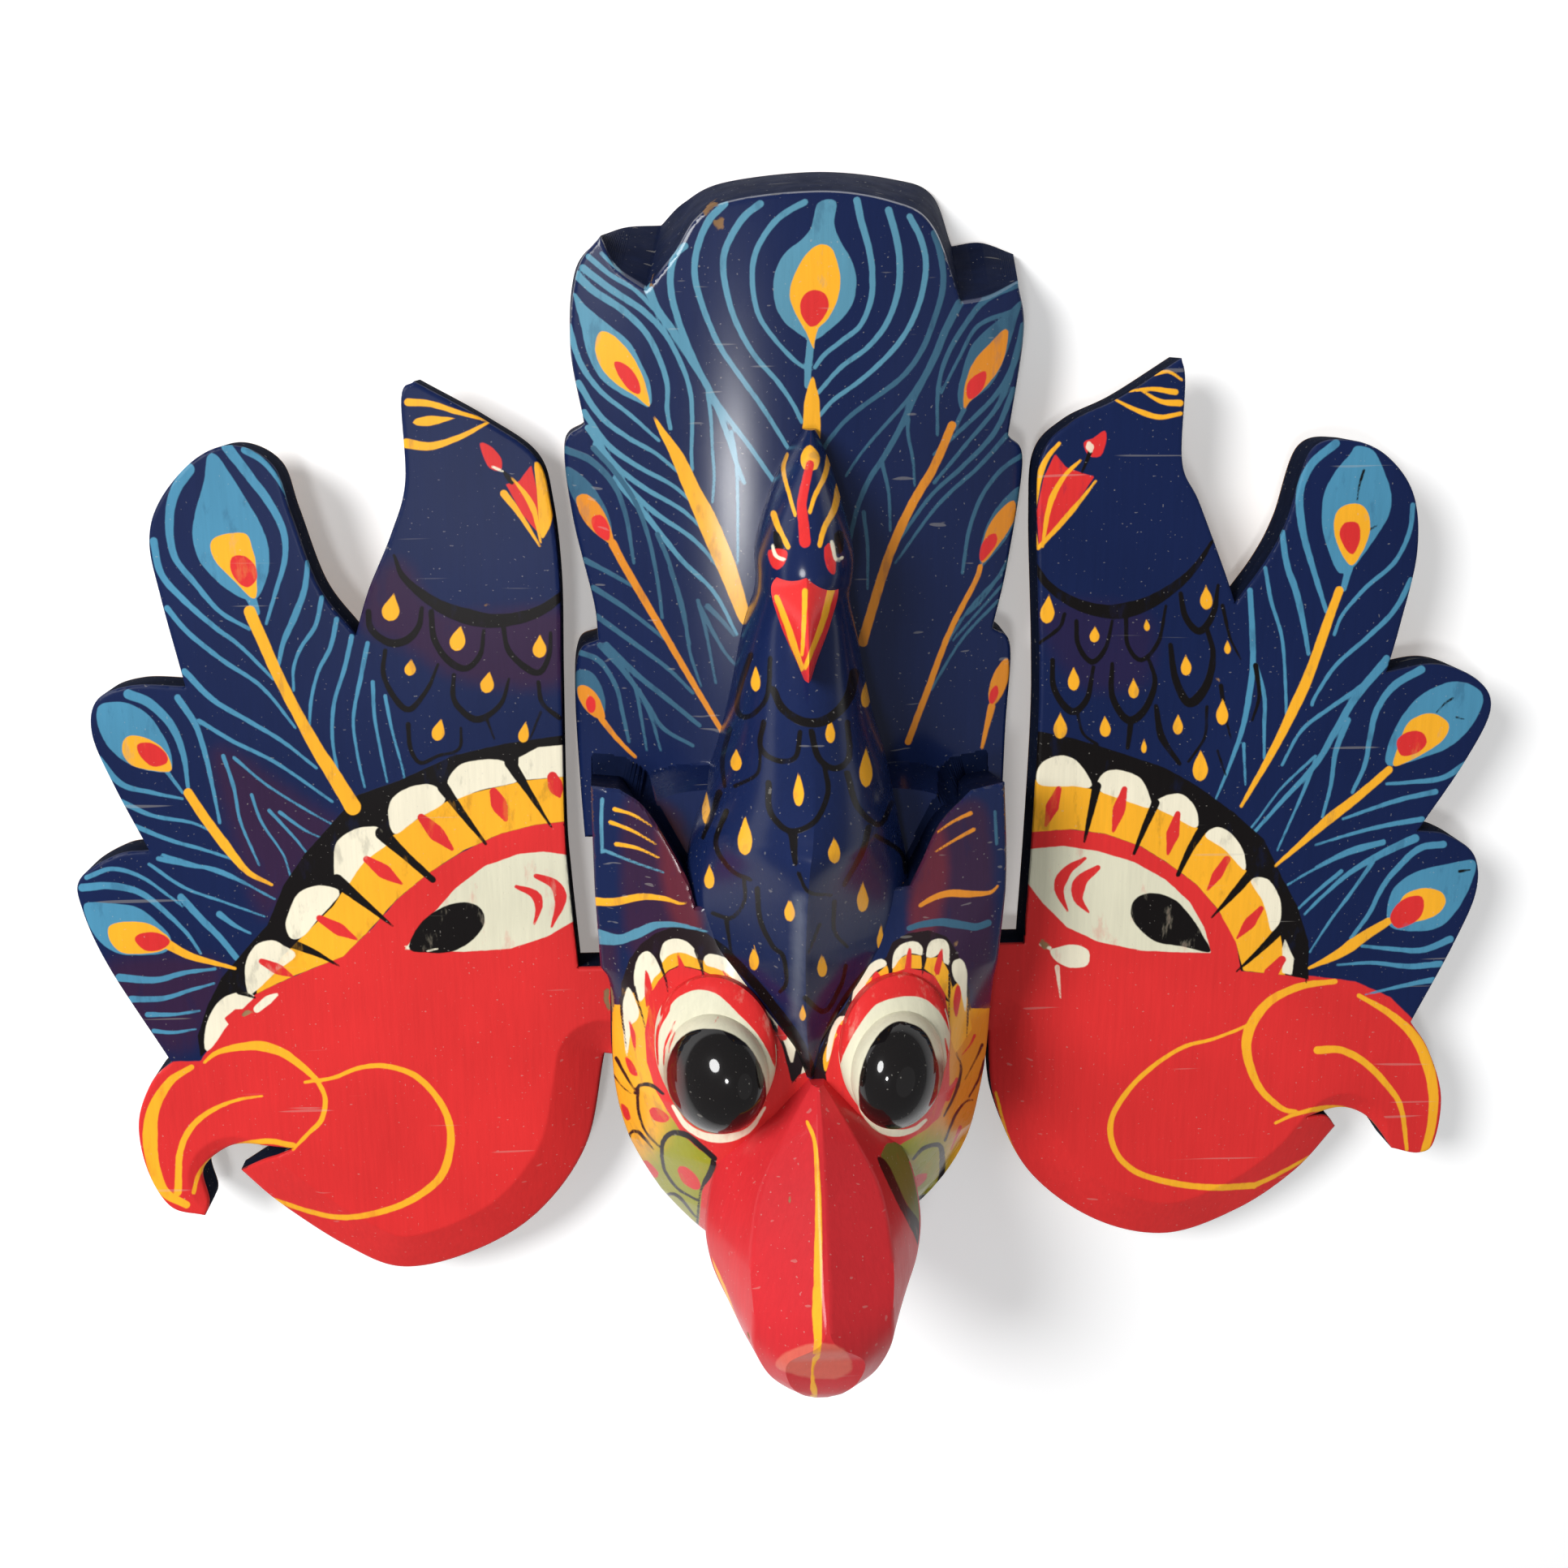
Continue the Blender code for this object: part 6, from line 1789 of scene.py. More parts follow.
        *RIGHT_LOW.lines(16, 8, (287, 28, 250, 132), (474, 28, 442, 148), (625, 98, 597, 213), middle=38),
        RIGHT_LOW.line(20, 6, 765, 228, 710, 315, middle=30),
        RIGHT_LOW.line(16, 6, 862, 368, 794, 452, middle=34),
        RIGHT_LOW.line(22, 40, 922, 512, 890, 552),
        RIGHT_LOW.line(10, 6, 362, 225, 310, 262, 288, 312, 312, 375, middle=36),
        RIGHT_LOW.line(16, 6, 398, 252, 350, 290, 342, 338, 372, 378, middle=42),
        RIGHT_TOP.patch(384, 262, 350, 285, 322, 298, 335, 335, 370, 337, 386, 300),
        RIGHT_TOP.patch(238, 330, 270, 370, 310, 385, 352, 397, 300, 480, 240, 560, 190, 602, 183, 500, 205,
            400, smooth=False),
    )),
    Coat("marks", BLACK, (
        RIGHT_LOW.line(26, 8, 395, 20, 378, 95, 360, 178, middle=18),
        RIGHT_LOW.line(24, 8, 562, 68, 530, 140, 501, 212, middle=18),
        RIGHT_LOW.line(30, 12, 705, 128, 660, 200, 626, 272, middle=20),
        RIGHT_LOW.line(30, 5, 842, 258, 780, 330, 722, 393, middle=20),
        RIGHT_LOW.line(28, 4, 932, 412, 860, 485, 792, 547, middle=18),
        RIGHT_LOW.line(16, 5, 990, 480, 990, 578),
        RIGHT_LOW.patch(492, 372, 510, 335, 560, 324, 620, 345, 670, 400, 700, 450, 717, 492, 640, 476, 560,
            460, 505, 412),
        RIGHT_LOW.line(14, 14, 188, -150, 186, 440),
        RIGHT_TOP.line(14, 6, 340, 325, 316, 386),
    )),
    Coat("gilt", YELLOW, (
        RIGHT_TOP.line(8, 8, 312, 350, 262, 400, 222, 480, 200, 602, middle=18),
        RIGHT_TOP.line(6, 12, 357, 410, 300, 482, 240, 552, 188, 606, middle=16),
        RIGHT_LOW.line(14, 14, 200, 0, 202, 135),
    )),
    Coat("white", CREAM, (
        RIGHT_TOP.line(12, 12, 337, 300, 342, 322, middle=24),
        RIGHT_LOW.line(14, 4, 283, 535, 292, 622),
    ), cover=0.8),
)
RIGHT_WING_CHIPS = (
    RIGHT_LOW.patch(232, 465, 250, 455, 262, 470, 245, 485),
    RIGHT_TOP.line(5, 4, 708, 985, 716, 992),
)


WHOLE = Enlargement(0, 0, 1.0)
FACE = Enlargement(700, 1150, 2.703)
LEFT_HORN = Enlargement(640, 1080, 6.03)
RIGHT_HORN = Enlargement(1120, 1080, 6.03)

# Painted shade: the yellow as it looks in shade, darker and more orange
SHADED_YELLOW = srgb(222, 138, 42)
# Painted shade: the fan blue as it looks in shade, duller and darker
SHADED_FAN_BLUE = srgb(58, 98, 122)
WINE = srgb(110, 40, 50)
GREEN = srgb(128, 150, 38)
DARK = srgb(34, 22, 26)

EYE_RIMS = (
    FACE.line(12, 8, 350, 576, 386, 632, 433, 667, 495, 683, 557, 676, 612, 645, 655, 580, middle=30),
    FACE.line(12, 10, 961, 532, 982, 590, 1026, 640, 1088, 665, 1150, 654, 1192, 622, middle=30),
)
BLOCK_COATS = (
    Coat("plum", PURPLE, (
        WHOLE.patch(770, 990, 810, 985, 840, 1010, 855, 1080, 866, 1150, 850, 1200, 790, 1190, 768, 1130),
        WHOLE.patch(1140, 1020, 1180, 990, 1215, 1000, 1225, 1120, 1215, 1235, 1180, 1200, 1130, 1170, 1120,
            1080),
        WHOLE.patch(736, 1150, 760, 1150, 760, 1236, 740, 1236, smooth=False),
    ), soft=10, wobble=5, cover=0.85),
    Coat("wine", WINE, (
        WHOLE.patch(812, 1010, 838, 1030, 852, 1085, 864, 1145, 840, 1150, 818, 1100),
        WHOLE.patch(1138, 1060, 1160, 1020, 1168, 1080, 1150, 1150, 1124, 1160, 1122, 1110),
    ), soft=9, wobble=5, cover=0.75),
    Coat("cheek", YELLOW, (
        FACE.patch(90, 237, 180, 237, 180, 180, 260, 180, 320, 120, 460, 120, 600, 220, 500, 560, 500, 750,
            480, 800, 445, 860, 432, 1080, 90, 1080, smooth=False),
        FACE.patch(1340, 250, 1440, 250, 1440, 1100, 1150, 1100, 1160, 960, 1060, 780, 1030, 740, 1100, 400,
            1270, 180, 1330, 200, smooth=False),
    )),
    Coat("shaded_cheek", SHADED_YELLOW, (
        FACE.patch(1240, 310, 1340, 275, 1450, 275, 1450, 640, 1260, 700, 1180, 640),
    ), soft=9, wobble=4, cover=0.75),
    Coat("green", GREEN, (
        FACE.patch(350, 600, 540, 700, 500, 900, 440, 1120, 330, 1000, 230, 860, 250, 760, 310, 680),
        FACE.patch(1000, 700, 1240, 660, 1270, 760, 1250, 920, 1180, 1120, 1100, 1000),
    ), soft=22, wobble=8, cover=0.85),
    Coat("brow_band", DARK, (
        FACE.patch(178, 260, 176, 170, 205, 85, 240, 38, 290, 0, 350, -22, 430, -20, 470, 5, 520, 45, 570, 75,
            640, 190, 700, 270, 790, 330, 860, 440, 850, 560, 838, 590, 812, 640, 700, 560, 600, 300, 300,
            200, smooth=False),
        FACE.patch(1340, 260, 1336, 190, 1300, 70, 1260, 10, 1200, -10, 1130, 0, 1080, 30, 1060, 80, 1000,
            120, 950, 190, 920, 250, 870, 300, 830, 420, 840, 570, 900, 560, 980, 320, 1200, 200,
            smooth=False),
    ), wobble=2.2),
    Coat("sky_blue", FAN_BLUE, (
        WHOLE.patch(1008, 250, 1030, 248, 1028, 276, 1036, 298, 1048, 318, 1055, 342, 1052, 370, 1040, 390,
            1024, 405, 1008, 417, 996, 418, 980, 408, 965, 395, 955, 374, 953, 350, 957, 330, 969, 310, 988,
            295, 1000, 279),
        WHOLE.line(10, 8, 1000, 415, 996, 450, 995, 475),
        *WHOLE.lines(8, 5, (992, 249, 973, 259, 953, 275, 933, 306, 927, 334, 929, 366, 937, 393, 957, 421,
            980, 445, 992, 453), (1121, 267, 1135, 295, 1141, 326, 1135, 366, 1119, 405, 1095, 437, 1060, 469,
            1028, 492, 1010, 512)),
        *WHOLE.lines(9, 5, (937, 251, 917, 267, 899, 295, 891, 322, 895, 358, 907, 397, 929, 437, 957, 469,
            976, 496, 988, 520), (893, 251, 874, 271, 860, 303, 856, 338, 866, 378, 886, 425, 913, 465, 941,
            504, 961, 536, 971, 552), (844, 303, 832, 314, 826, 338, 828, 366, 838, 401, 858, 449, 878, 488,
            901, 520, 925, 552, 955, 595), (1056, 247, 1062, 275, 1071, 307, 1075, 338, 1073, 370, 1060, 401,
            1036, 421, 1016, 437, 1004, 453), (1095, 259, 1105, 295, 1109, 330, 1105, 366, 1091, 401, 1068,
            429, 1036, 453, 1008, 484)),
        WHOLE.line(11, 5, 799, 356, 810, 382, 830, 409, 850, 441, 870, 473, 886, 508, 899, 544, 909, 575, 917,
            595),
        *WHOLE.lines(5, 3, (872, 484, 876, 516, 878, 556, 880, 587, 878, 619), (901, 532, 907, 567, 909, 615,
            909, 694), (741, 312, 759, 330, 779, 342)),
        WHOLE.patch(706, 360, 723, 378, 751, 401, 775, 421, 791, 449, 801, 473, 803, 496, 799, 502, 787, 496,
            763, 484, 739, 465, 723, 433, 716, 401),
        WHOLE.line(10, 5, 710, 338, 731, 358, 767, 382, 795, 409, 812, 441, 822, 473, 822, 504, 826, 528),
        WHOLE.line(9, 4, 718, 330, 755, 358, 791, 382, 818, 409, 838, 445, 850, 480, 853, 516, 852, 556, 853,
            579),
        WHOLE.line(7, 4, 725, 316, 751, 338, 783, 358, 810, 386),
        Fan((((700, 401), (716, 449), (742, 484), (775, 510), (812, 543)), ((716, 490), (745, 528), (780,
            552), (815, 570), (840, 590)), ((722, 520), (750, 560), (790, 590), (835, 615), (866, 642)),
            ((728, 538), (765, 588), (800, 618), (850, 650), (890, 690)), ((758, 590), (800, 640), (840, 690),
            (880, 730), (908, 782))), 6, 8, 4),
        LEFT_HORN.line(62, 12, 570, 470, 700, 480, 800, 460, 900, 405, 1000, 365, 1150, 357, 1300, 385, 1400,
            412, middle=55),
        WHOLE.line(5, 4, 742, 985, 741, 1010, 742, 1050),
        WHOLE.line(4, 2, 745, 1048, 780, 1062, 818, 1075),
        FACE.line(30, 26, 90, -2, 170, 18, 230, -4),
        FACE.line(14, 14, 90, 8, 200, 20, 300, -25),
    )),
    # Painted shade: the shaded copy of the fan blue, on the fan's right half, its lower left lobes and the
    # right horn
    Coat("shaded_fan_blue", SHADED_FAN_BLUE, (
        *WHOLE.lines(8, 5, (1151, 287, 1160, 318, 1162, 354, 1151, 394, 1135, 433, 1111, 465, 1075, 492, 1044,
            516, 1020, 544, 1016, 552), (747, 795, 783, 830, 818, 858, 862, 894)),
        WHOLE.line(10, 5, 1182, 374, 1166, 405, 1151, 441, 1127, 488, 1111, 524, 1091, 560, 1071, 591, 1056,
            627, 1046, 670),
        *WHOLE.lines(6, 3, (1143, 457, 1119, 492, 1087, 528, 1060, 560, 1042, 587), (810, 658, 826, 698, 838,
            745, 850, 793), (826, 700, 842, 751, 850, 803, 864, 846), (862, 747, 890, 799, 913, 827), (1241,
            536, 1206, 575, 1155, 623, 1103, 694), (1253, 382, 1206, 401, 1182, 441, 1160, 484)),
        *WHOLE.lines(5, 3, (1119, 516, 1119, 536, 1125, 567, 1127, 599), (1087, 571, 1095, 607, 1097, 654),
            (1064, 631, 1069, 674, 1069, 726), (860, 740, 870, 779, 882, 842), (783, 846, 789, 878, 797, 925),
            (787, 850, 803, 886, 814, 925), (1257, 611, 1249, 674, 1214, 734, 1182, 765)),
        WHOLE.patch(698, 575, 723, 591, 743, 619, 753, 647, 751, 666, 735, 654, 716, 631, 700, 599),
        WHOLE.line(9, 4, 696, 554, 727, 567, 755, 595, 771, 635, 781, 694),
        *WHOLE.lines(7, 4, (731, 552, 759, 583, 783, 619, 799, 662, 810, 714, 816, 761), (872, 747, 890, 765,
            905, 783), (720, 690, 751, 706, 779, 722), (731, 724, 767, 747, 799, 771, 818, 787), (735, 759,
            779, 791, 822, 823, 854, 854), (739, 795, 771, 830, 799, 870, 818, 898, 854, 919), (712, 803, 739,
            815, 759, 846, 767, 878, 775, 914), (1255, 425, 1234, 492, 1190, 548, 1151, 595), (1249, 480,
            1226, 532, 1186, 575, 1147, 611, 1107, 666)),
        WHOLE.patch(710, 827, 731, 830, 745, 858, 743, 882, 727, 878, 712, 858),
        WHOLE.patch(1259, 370, 1253, 393, 1241, 433, 1222, 473, 1194, 496, 1186, 508, 1180, 488, 1186, 457,
            1198, 425, 1222, 401, 1241, 386),
        WHOLE.line(6, 5, 1188, 504, 1176, 528),
        *WHOLE.lines(8, 4, (1261, 401, 1249, 449, 1226, 488, 1190, 524, 1151, 560), (1255, 350, 1214, 370,
            1186, 405, 1166, 441, 1156, 480, 1155, 536)),
        WHOLE.patch(1259, 599, 1257, 627, 1241, 662, 1218, 690, 1208, 698, 1210, 666, 1222, 635, 1241, 611),
        WHOLE.line(6, 4, 1261, 560, 1234, 579, 1210, 611, 1194, 654, 1186, 706),
        *WHOLE.lines(4, 3, (1241, 714, 1210, 749, 1174, 789), (1234, 708, 1194, 751, 1155, 811), (1230, 740,
            1186, 787, 1147, 850)),
        RIGHT_HORN.line(40, 50, 0, 385, 100, 355, 250, 340, 400, 362, 500, 375, 590, 345, middle=62),
        WHOLE.line(4, 4, 1226, 1000, 1228, 1040),
    )),
    Coat("petal_gold", YELLOW, (
        FACE.patch(184, 200, 205, 185, 232, 250, 262, 330, 300, 160, 335, 122, 370, 106, 405, 112, 445, 122,
            500, 150, 545, 172, 590, 205, 614, 235, 605, 190, 575, 150, 530, 110, 480, 88, 440, 90, 400, 62,
            365, 52, 330, 62, 300, 90, 262, 110, 240, 150, 232, 190, 215, 200, 200, 200, smooth=False),
        FACE.patch(700, 262, 740, 300, 768, 345, 765, 380, 745, 430, 720, 350, smooth=False),
        FACE.patch(786, 525, 806, 515, 824, 535, 822, 575, 800, 602, 782, 575),
        FACE.patch(855, 460, 850, 410, 870, 350, 885, 320, 905, 285, 940, 272, 945, 290, 915, 300, 890, 360,
            868, 440),
        FACE.patch(950, 255, 952, 205, 985, 165, 1040, 125, 1062, 108, 1066, 150, 1030, 178, 980, 215),
        FACE.patch(1080, 135, 1082, 95, 1130, 70, 1175, 75, 1180, 118, 1130, 116, smooth=False),
        FACE.patch(1186, 118, 1196, 80, 1240, 80, 1270, 130, 1290, 260, 1262, 215, 1220, 142, smooth=False),
        FACE.patch(1282, 180, 1300, 160, 1330, 215, 1345, 320, 1290, 400, 1268, 330, smooth=False),
        WHOLE.drop(989, 1236, 989, 1258, 8),
    )),
    Coat("cream", CREAM, (
        FACE.patch(180, 250, 190, 200, 200, 178, 217, 205, 237, 262, 226, 292, 212, 302, 205, 350, 195, 410,
            184, 330),
        FACE.patch(220, 130, 235, 78, 262, 58, 290, 82, 310, 122, 285, 150, 272, 178, 240, 228, 222, 185),
        FACE.patch(305, 75, 322, 28, 365, 18, 405, 35, 432, 72, 432, 85, 395, 68, 362, 64, 330, 78, 310, 100),
        FACE.patch(450, 88, 470, 68, 530, 85, 575, 125, 602, 172, 610, 212, 578, 176, 540, 142, 500, 118, 458,
            106),
        FACE.patch(640, 245, 655, 232, 700, 258, 735, 295, 760, 340, 772, 375, 757, 430, 742, 430, 725, 380,
            700, 320, 668, 275),
        FACE.patch(775, 478, 785, 435, 797, 425, 806, 455, 808, 500, 788, 470),
        FACE.patch(862, 430, 862, 375, 880, 310, 905, 276, 938, 278, 912, 292, 888, 340, 876, 400),
        FACE.patch(945, 240, 950, 190, 975, 140, 1010, 100, 1045, 85, 1062, 105, 1020, 130, 985, 180, 955,
            245),
        FACE.patch(1080, 118, 1082, 75, 1105, 40, 1150, 26, 1178, 42, 1180, 72, 1145, 66, 1110, 80),
        RIGHT_HORN.patch(130, 595, 140, 520, 165, 478, 220, 460, 275, 475, 300, 545, 300, 660, 260, 640, 245,
            560, 190, 598),
        RIGHT_HORN.patch(318, 680, 335, 625, 375, 608, 410, 640, 432, 720, 430, 860, 420, 1010, 395, 900, 375,
            810, 340, 770),
    )),
    Coat("red", RED, (
        FACE.patch(262, 430, 255, 330, 268, 255, 275, 200, 300, 160, 335, 125, 370, 110, 405, 115, 445, 125,
            490, 145, 540, 172, 590, 206, 640, 262, 684, 320, 712, 370, 730, 440, 745, 500, 772, 470, 792,
            462, 812, 492, 790, 528, 784, 575, 800, 602, 826, 582, 870, 590, 858, 470, 888, 350, 945, 275,
            990, 215, 1040, 170, 1080, 132, 1130, 116, 1180, 124, 1220, 142, 1255, 200, 1275, 330, 1270, 420,
            1270, 520, 1240, 610, 1190, 655, 1130, 690, 1040, 745, 1100, 900, 1165, 1010, 1165, 1300, 440,
            1300, 432, 1000, 445, 860, 490, 750, 440, 722, 380, 670, 330, 590, 290, 520, smooth=False),
        LEFT_HORN.patch(810, 1060, 845, 1120, 865, 1200, 862, 1300, 835, 1215),
        LEFT_HORN.patch(785, 1335, 830, 1370, 870, 1440, 880, 1485, 830, 1468, 800, 1410),
        FACE.patch(258, 120, 275, 160, 280, 210, 262, 250, 255, 190),
        FACE.line(5, 22, 365, 68, 378, 112),
        FACE.line(5, 18, 515, 125, 545, 165),
        FACE.patch(698, 305, 715, 292, 730, 310, 727, 355, 705, 350),
        FACE.patch(892, 330, 905, 300, 915, 310, 905, 345),
        FACE.patch(1010, 180, 1012, 145, 1028, 125, 1040, 140, 1035, 180, 1022, 202),
        FACE.line(8, 22, 1138, 52, 1132, 115, middle=20),
        RIGHT_HORN.patch(245, 530, 250, 600, 222, 730, 185, 700, 210, 600),
        RIGHT_HORN.patch(360, 800, 387, 865, 370, 980, 350, 1050, 328, 930),
        RIGHT_HORN.line(24, 4, 488, 1180, 455, 1250, 390, 1330),
        FACE.patch(176, 565, 198, 583, 208, 618, 197, 626, 182, 602),
        FACE.patch(270, 588, 295, 580, 338, 612, 322, 630, 285, 622),
        FACE.patch(364, 785, 385, 775, 425, 805, 442, 842, 425, 855, 385, 832),
        FACE.patch(246, 758, 262, 756, 302, 798, 296, 815, 264, 798),
        FACE.patch(370, 955, 390, 945, 428, 980, 425, 1002, 388, 990),
        FACE.line(12, 24, 1295, 485, 1262, 548),
        FACE.patch(1140, 840, 1160, 806, 1196, 800, 1186, 828, 1155, 850),
        FACE.line(12, 4, 1306, 645, 1275, 720),
    )),
    Coat("yellow", YELLOW, (
        WHOLE.patch(1014, 301, 1024, 305, 1030, 318, 1035, 338, 1035, 354, 1030, 374, 1020, 393, 1008, 405,
            1004, 420, 1003, 431, 998, 421, 994, 411, 984, 393, 975, 374, 973, 358, 979, 338, 990, 318, 1002,
            305),
        WHOLE.patch(1001, 464, 1006, 478, 1010, 500, 1009, 550, 989, 550, 990, 515, 992, 490),
        WHOLE.patch(739, 409, 755, 413, 775, 433, 789, 457, 797, 480, 800, 501, 783, 488, 759, 473, 741, 453,
            733, 429),
        WHOLE.patch(805, 512, 818, 528, 842, 560, 862, 600, 884, 640, 908, 700, 924, 760, 920, 769, 912, 766,
            890, 715, 868, 665, 846, 612, 826, 562, 811, 530),
        LEFT_HORN.line(62, 12, 545, 185, 700, 190, 850, 160, 950, 150, 1080, 165, 1190, 200, 1240, 195,
            middle=52),
        *WHOLE.lines(5, 2, (757, 997, 780, 1004, 803, 1018), (752, 1013, 780, 1024, 808, 1040), (759, 1040,
            785, 1045, 812, 1057)),
        FACE.line(8, 2, 800, 630, 812, 660),
    )),
    # Painted shade: the shaded copy of the yellow, on the fan's lower left lobes, its right half and the right
    # horn
    Coat("shaded_yellow", SHADED_YELLOW, (
        WHOLE.patch(712, 611, 723, 609, 739, 623, 751, 647, 755, 670, 735, 658, 718, 639, 710, 619),
        WHOLE.line(10, 6, 755, 670, 771, 700, 812, 770, 850, 835, 890, 902),
        WHOLE.patch(712, 846, 725, 846, 739, 862, 745, 886, 727, 880, 714, 862),
        WHOLE.line(7, 4, 741, 886, 760, 910, 783, 933),
        WHOLE.patch(1239, 405, 1242, 417, 1234, 449, 1214, 477, 1194, 496, 1188, 504, 1188, 480, 1198, 449,
            1218, 425),
        WHOLE.line(10, 12, 1173, 524, 1151, 575, 1123, 623, 1095, 686, 1068, 773, 1063, 791),
        WHOLE.patch(1249, 617, 1250, 639, 1234, 666, 1210, 694, 1214, 658, 1230, 631),
        WHOLE.line(6, 8, 1208, 698, 1202, 716, 1170, 779, 1143, 850, 1119, 914),
        WHOLE.patch(1241, 811, 1243, 834, 1234, 858, 1222, 870, 1218, 854, 1226, 827),
        WHOLE.line(9, 4, 1222, 870, 1216, 895, 1210, 921),
        RIGHT_HORN.line(30, 16, 85, 215, 180, 160, 300, 125, 450, 130, 600, 120, 660, 70, middle=58),
        *WHOLE.lines(5, 2, (1196, 1002, 1175, 1012, 1154, 1026), (1200, 1022, 1178, 1034, 1152, 1050)),
    )),
    Coat("eye_red", RED, (
        WHOLE.patch(1005, 357, 1014, 360, 1020, 368, 1021, 379, 1015, 391, 1006, 401, 999, 403, 991, 395, 986,
            382, 987, 369, 995, 360),
        WHOLE.patch(757, 446, 771, 449, 785, 465, 789, 485, 775, 480, 761, 461),
        WHOLE.patch(730, 637, 739, 634, 747, 641, 751, 652, 750, 666, 741, 663, 733, 655, 729, 645),
        WHOLE.drop(727, 857, 729, 879, 12, 0.5, 0.7),
        WHOLE.patch(1214, 457, 1212, 477, 1198, 492, 1191, 488, 1194, 469),
        WHOLE.patch(1227, 657, 1229, 664, 1226, 673, 1219, 682, 1209, 692, 1207, 683, 1210, 670, 1218, 660),
        WHOLE.drop(1228, 844, 1221, 868, 10, 0.5, 0.7),
    )),
    Coat("rims", CREAM, EYE_RIMS),
    Coat("marks", DARK, (
        LEFT_HORN.line(26, 8, 852, 820, 870, 900, 905, 1010, 936, 1125),
        LEFT_HORN.line(36, 5, 1020, 580, 1050, 660, 1088, 770, 1106, 885, middle=22),
        LEFT_HORN.line(40, 8, 1318, 550, 1345, 640, 1376, 745, middle=26),
        LEFT_HORN.line(26, 6, 755, 900, 762, 1040, 780, 1160, 795, 1280),
        FACE.line(22, 6, 606, 180, 622, 225, 634, 275),
        FACE.line(18, 5, 768, 385, 752, 450, 757, 492, middle=14),
        FACE.line(20, 4, 440, 80, 448, 140),
        RIGHT_HORN.line(26, 4, 118, 540, 106, 640, 98, 760, middle=20),
        RIGHT_HORN.line(14, 6, 308, 560, 300, 800, 296, 1060, middle=20),
        RIGHT_HORN.line(12, 4, 442, 880, 436, 1050, 428, 1200, middle=16),
        RIGHT_HORN.line(12, 14, 350, 1310, 385, 1400, 378, 1500, 330, 1640, 260, 1780, middle=26),
        RIGHT_HORN.line(22, 6, 545, 1250, 500, 1350, 415, 1510),
        FACE.line(10, 6, 1388, 420, 1365, 490, 1335, 545),
        FACE.line(16, 4, 1074, 70, 1073, 160),
        FACE.line(12, 4, 160, 415, 185, 462, 228, 532, middle=10),
        FACE.line(10, 8, 222, 530, 238, 506, 278, 506, 318, 536, middle=14),
        FACE.line(12, 6, 232, 520, 234, 590, 258, 660, 305, 712),
        FACE.line(12, 18, 312, 745, 316, 695, 345, 665, 395, 672, 445, 712, 488, 750, middle=20),
        FACE.line(12, 8, 312, 735, 322, 790, 365, 850, 432, 890),
        FACE.line(8, 4, 205, 700, 206, 668, 232, 660, 285, 720, middle=12),
        FACE.line(8, 5, 322, 900, 332, 870, 368, 876, 425, 945, middle=12),
        FACE.line(6, 3, 150, 470, 180, 510, 212, 535),
        FACE.patch(485, 742, 494, 770, 478, 810, 448, 852, 440, 890, 432, 992, 425, 985, 434, 880, 446, 830,
            468, 785, 476, 755),
        FACE.patch(1028, 745, 1052, 752, 1075, 790, 1100, 850, 1128, 905, 1168, 965, 1166, 1045, 1150, 1000,
            1092, 890, 1050, 800),
        FACE.line(6, 8, 1348, 555, 1325, 560, 1290, 605, 1255, 690, middle=10),
        FACE.line(10, 16, 1150, 752, 1185, 715, 1235, 705, 1246, 745, 1242, 815, 1215, 865, 1150, 888,
            middle=20),
        FACE.line(8, 12, 1238, 885, 1205, 935, 1165, 948),
    )),
)
BLOCK_CHIPS = (
    WHOLE.patch(862, 250, 870, 246, 884, 248, 880, 258, 866, 262),
    WHOLE.patch(880, 272, 890, 268, 894, 282, 884, 285),
    WHOLE.patch(799, 348, 803, 346, 804, 352, 800, 354),
    FACE.patch(126, 190, 142, 180, 155, 250, 148, 258),
    WHOLE.line(2, 2, 1256, 690, 1262, 705),
    WHOLE.patch(1176, 1161, 1180, 1159, 1180, 1165, 1177, 1166),
)

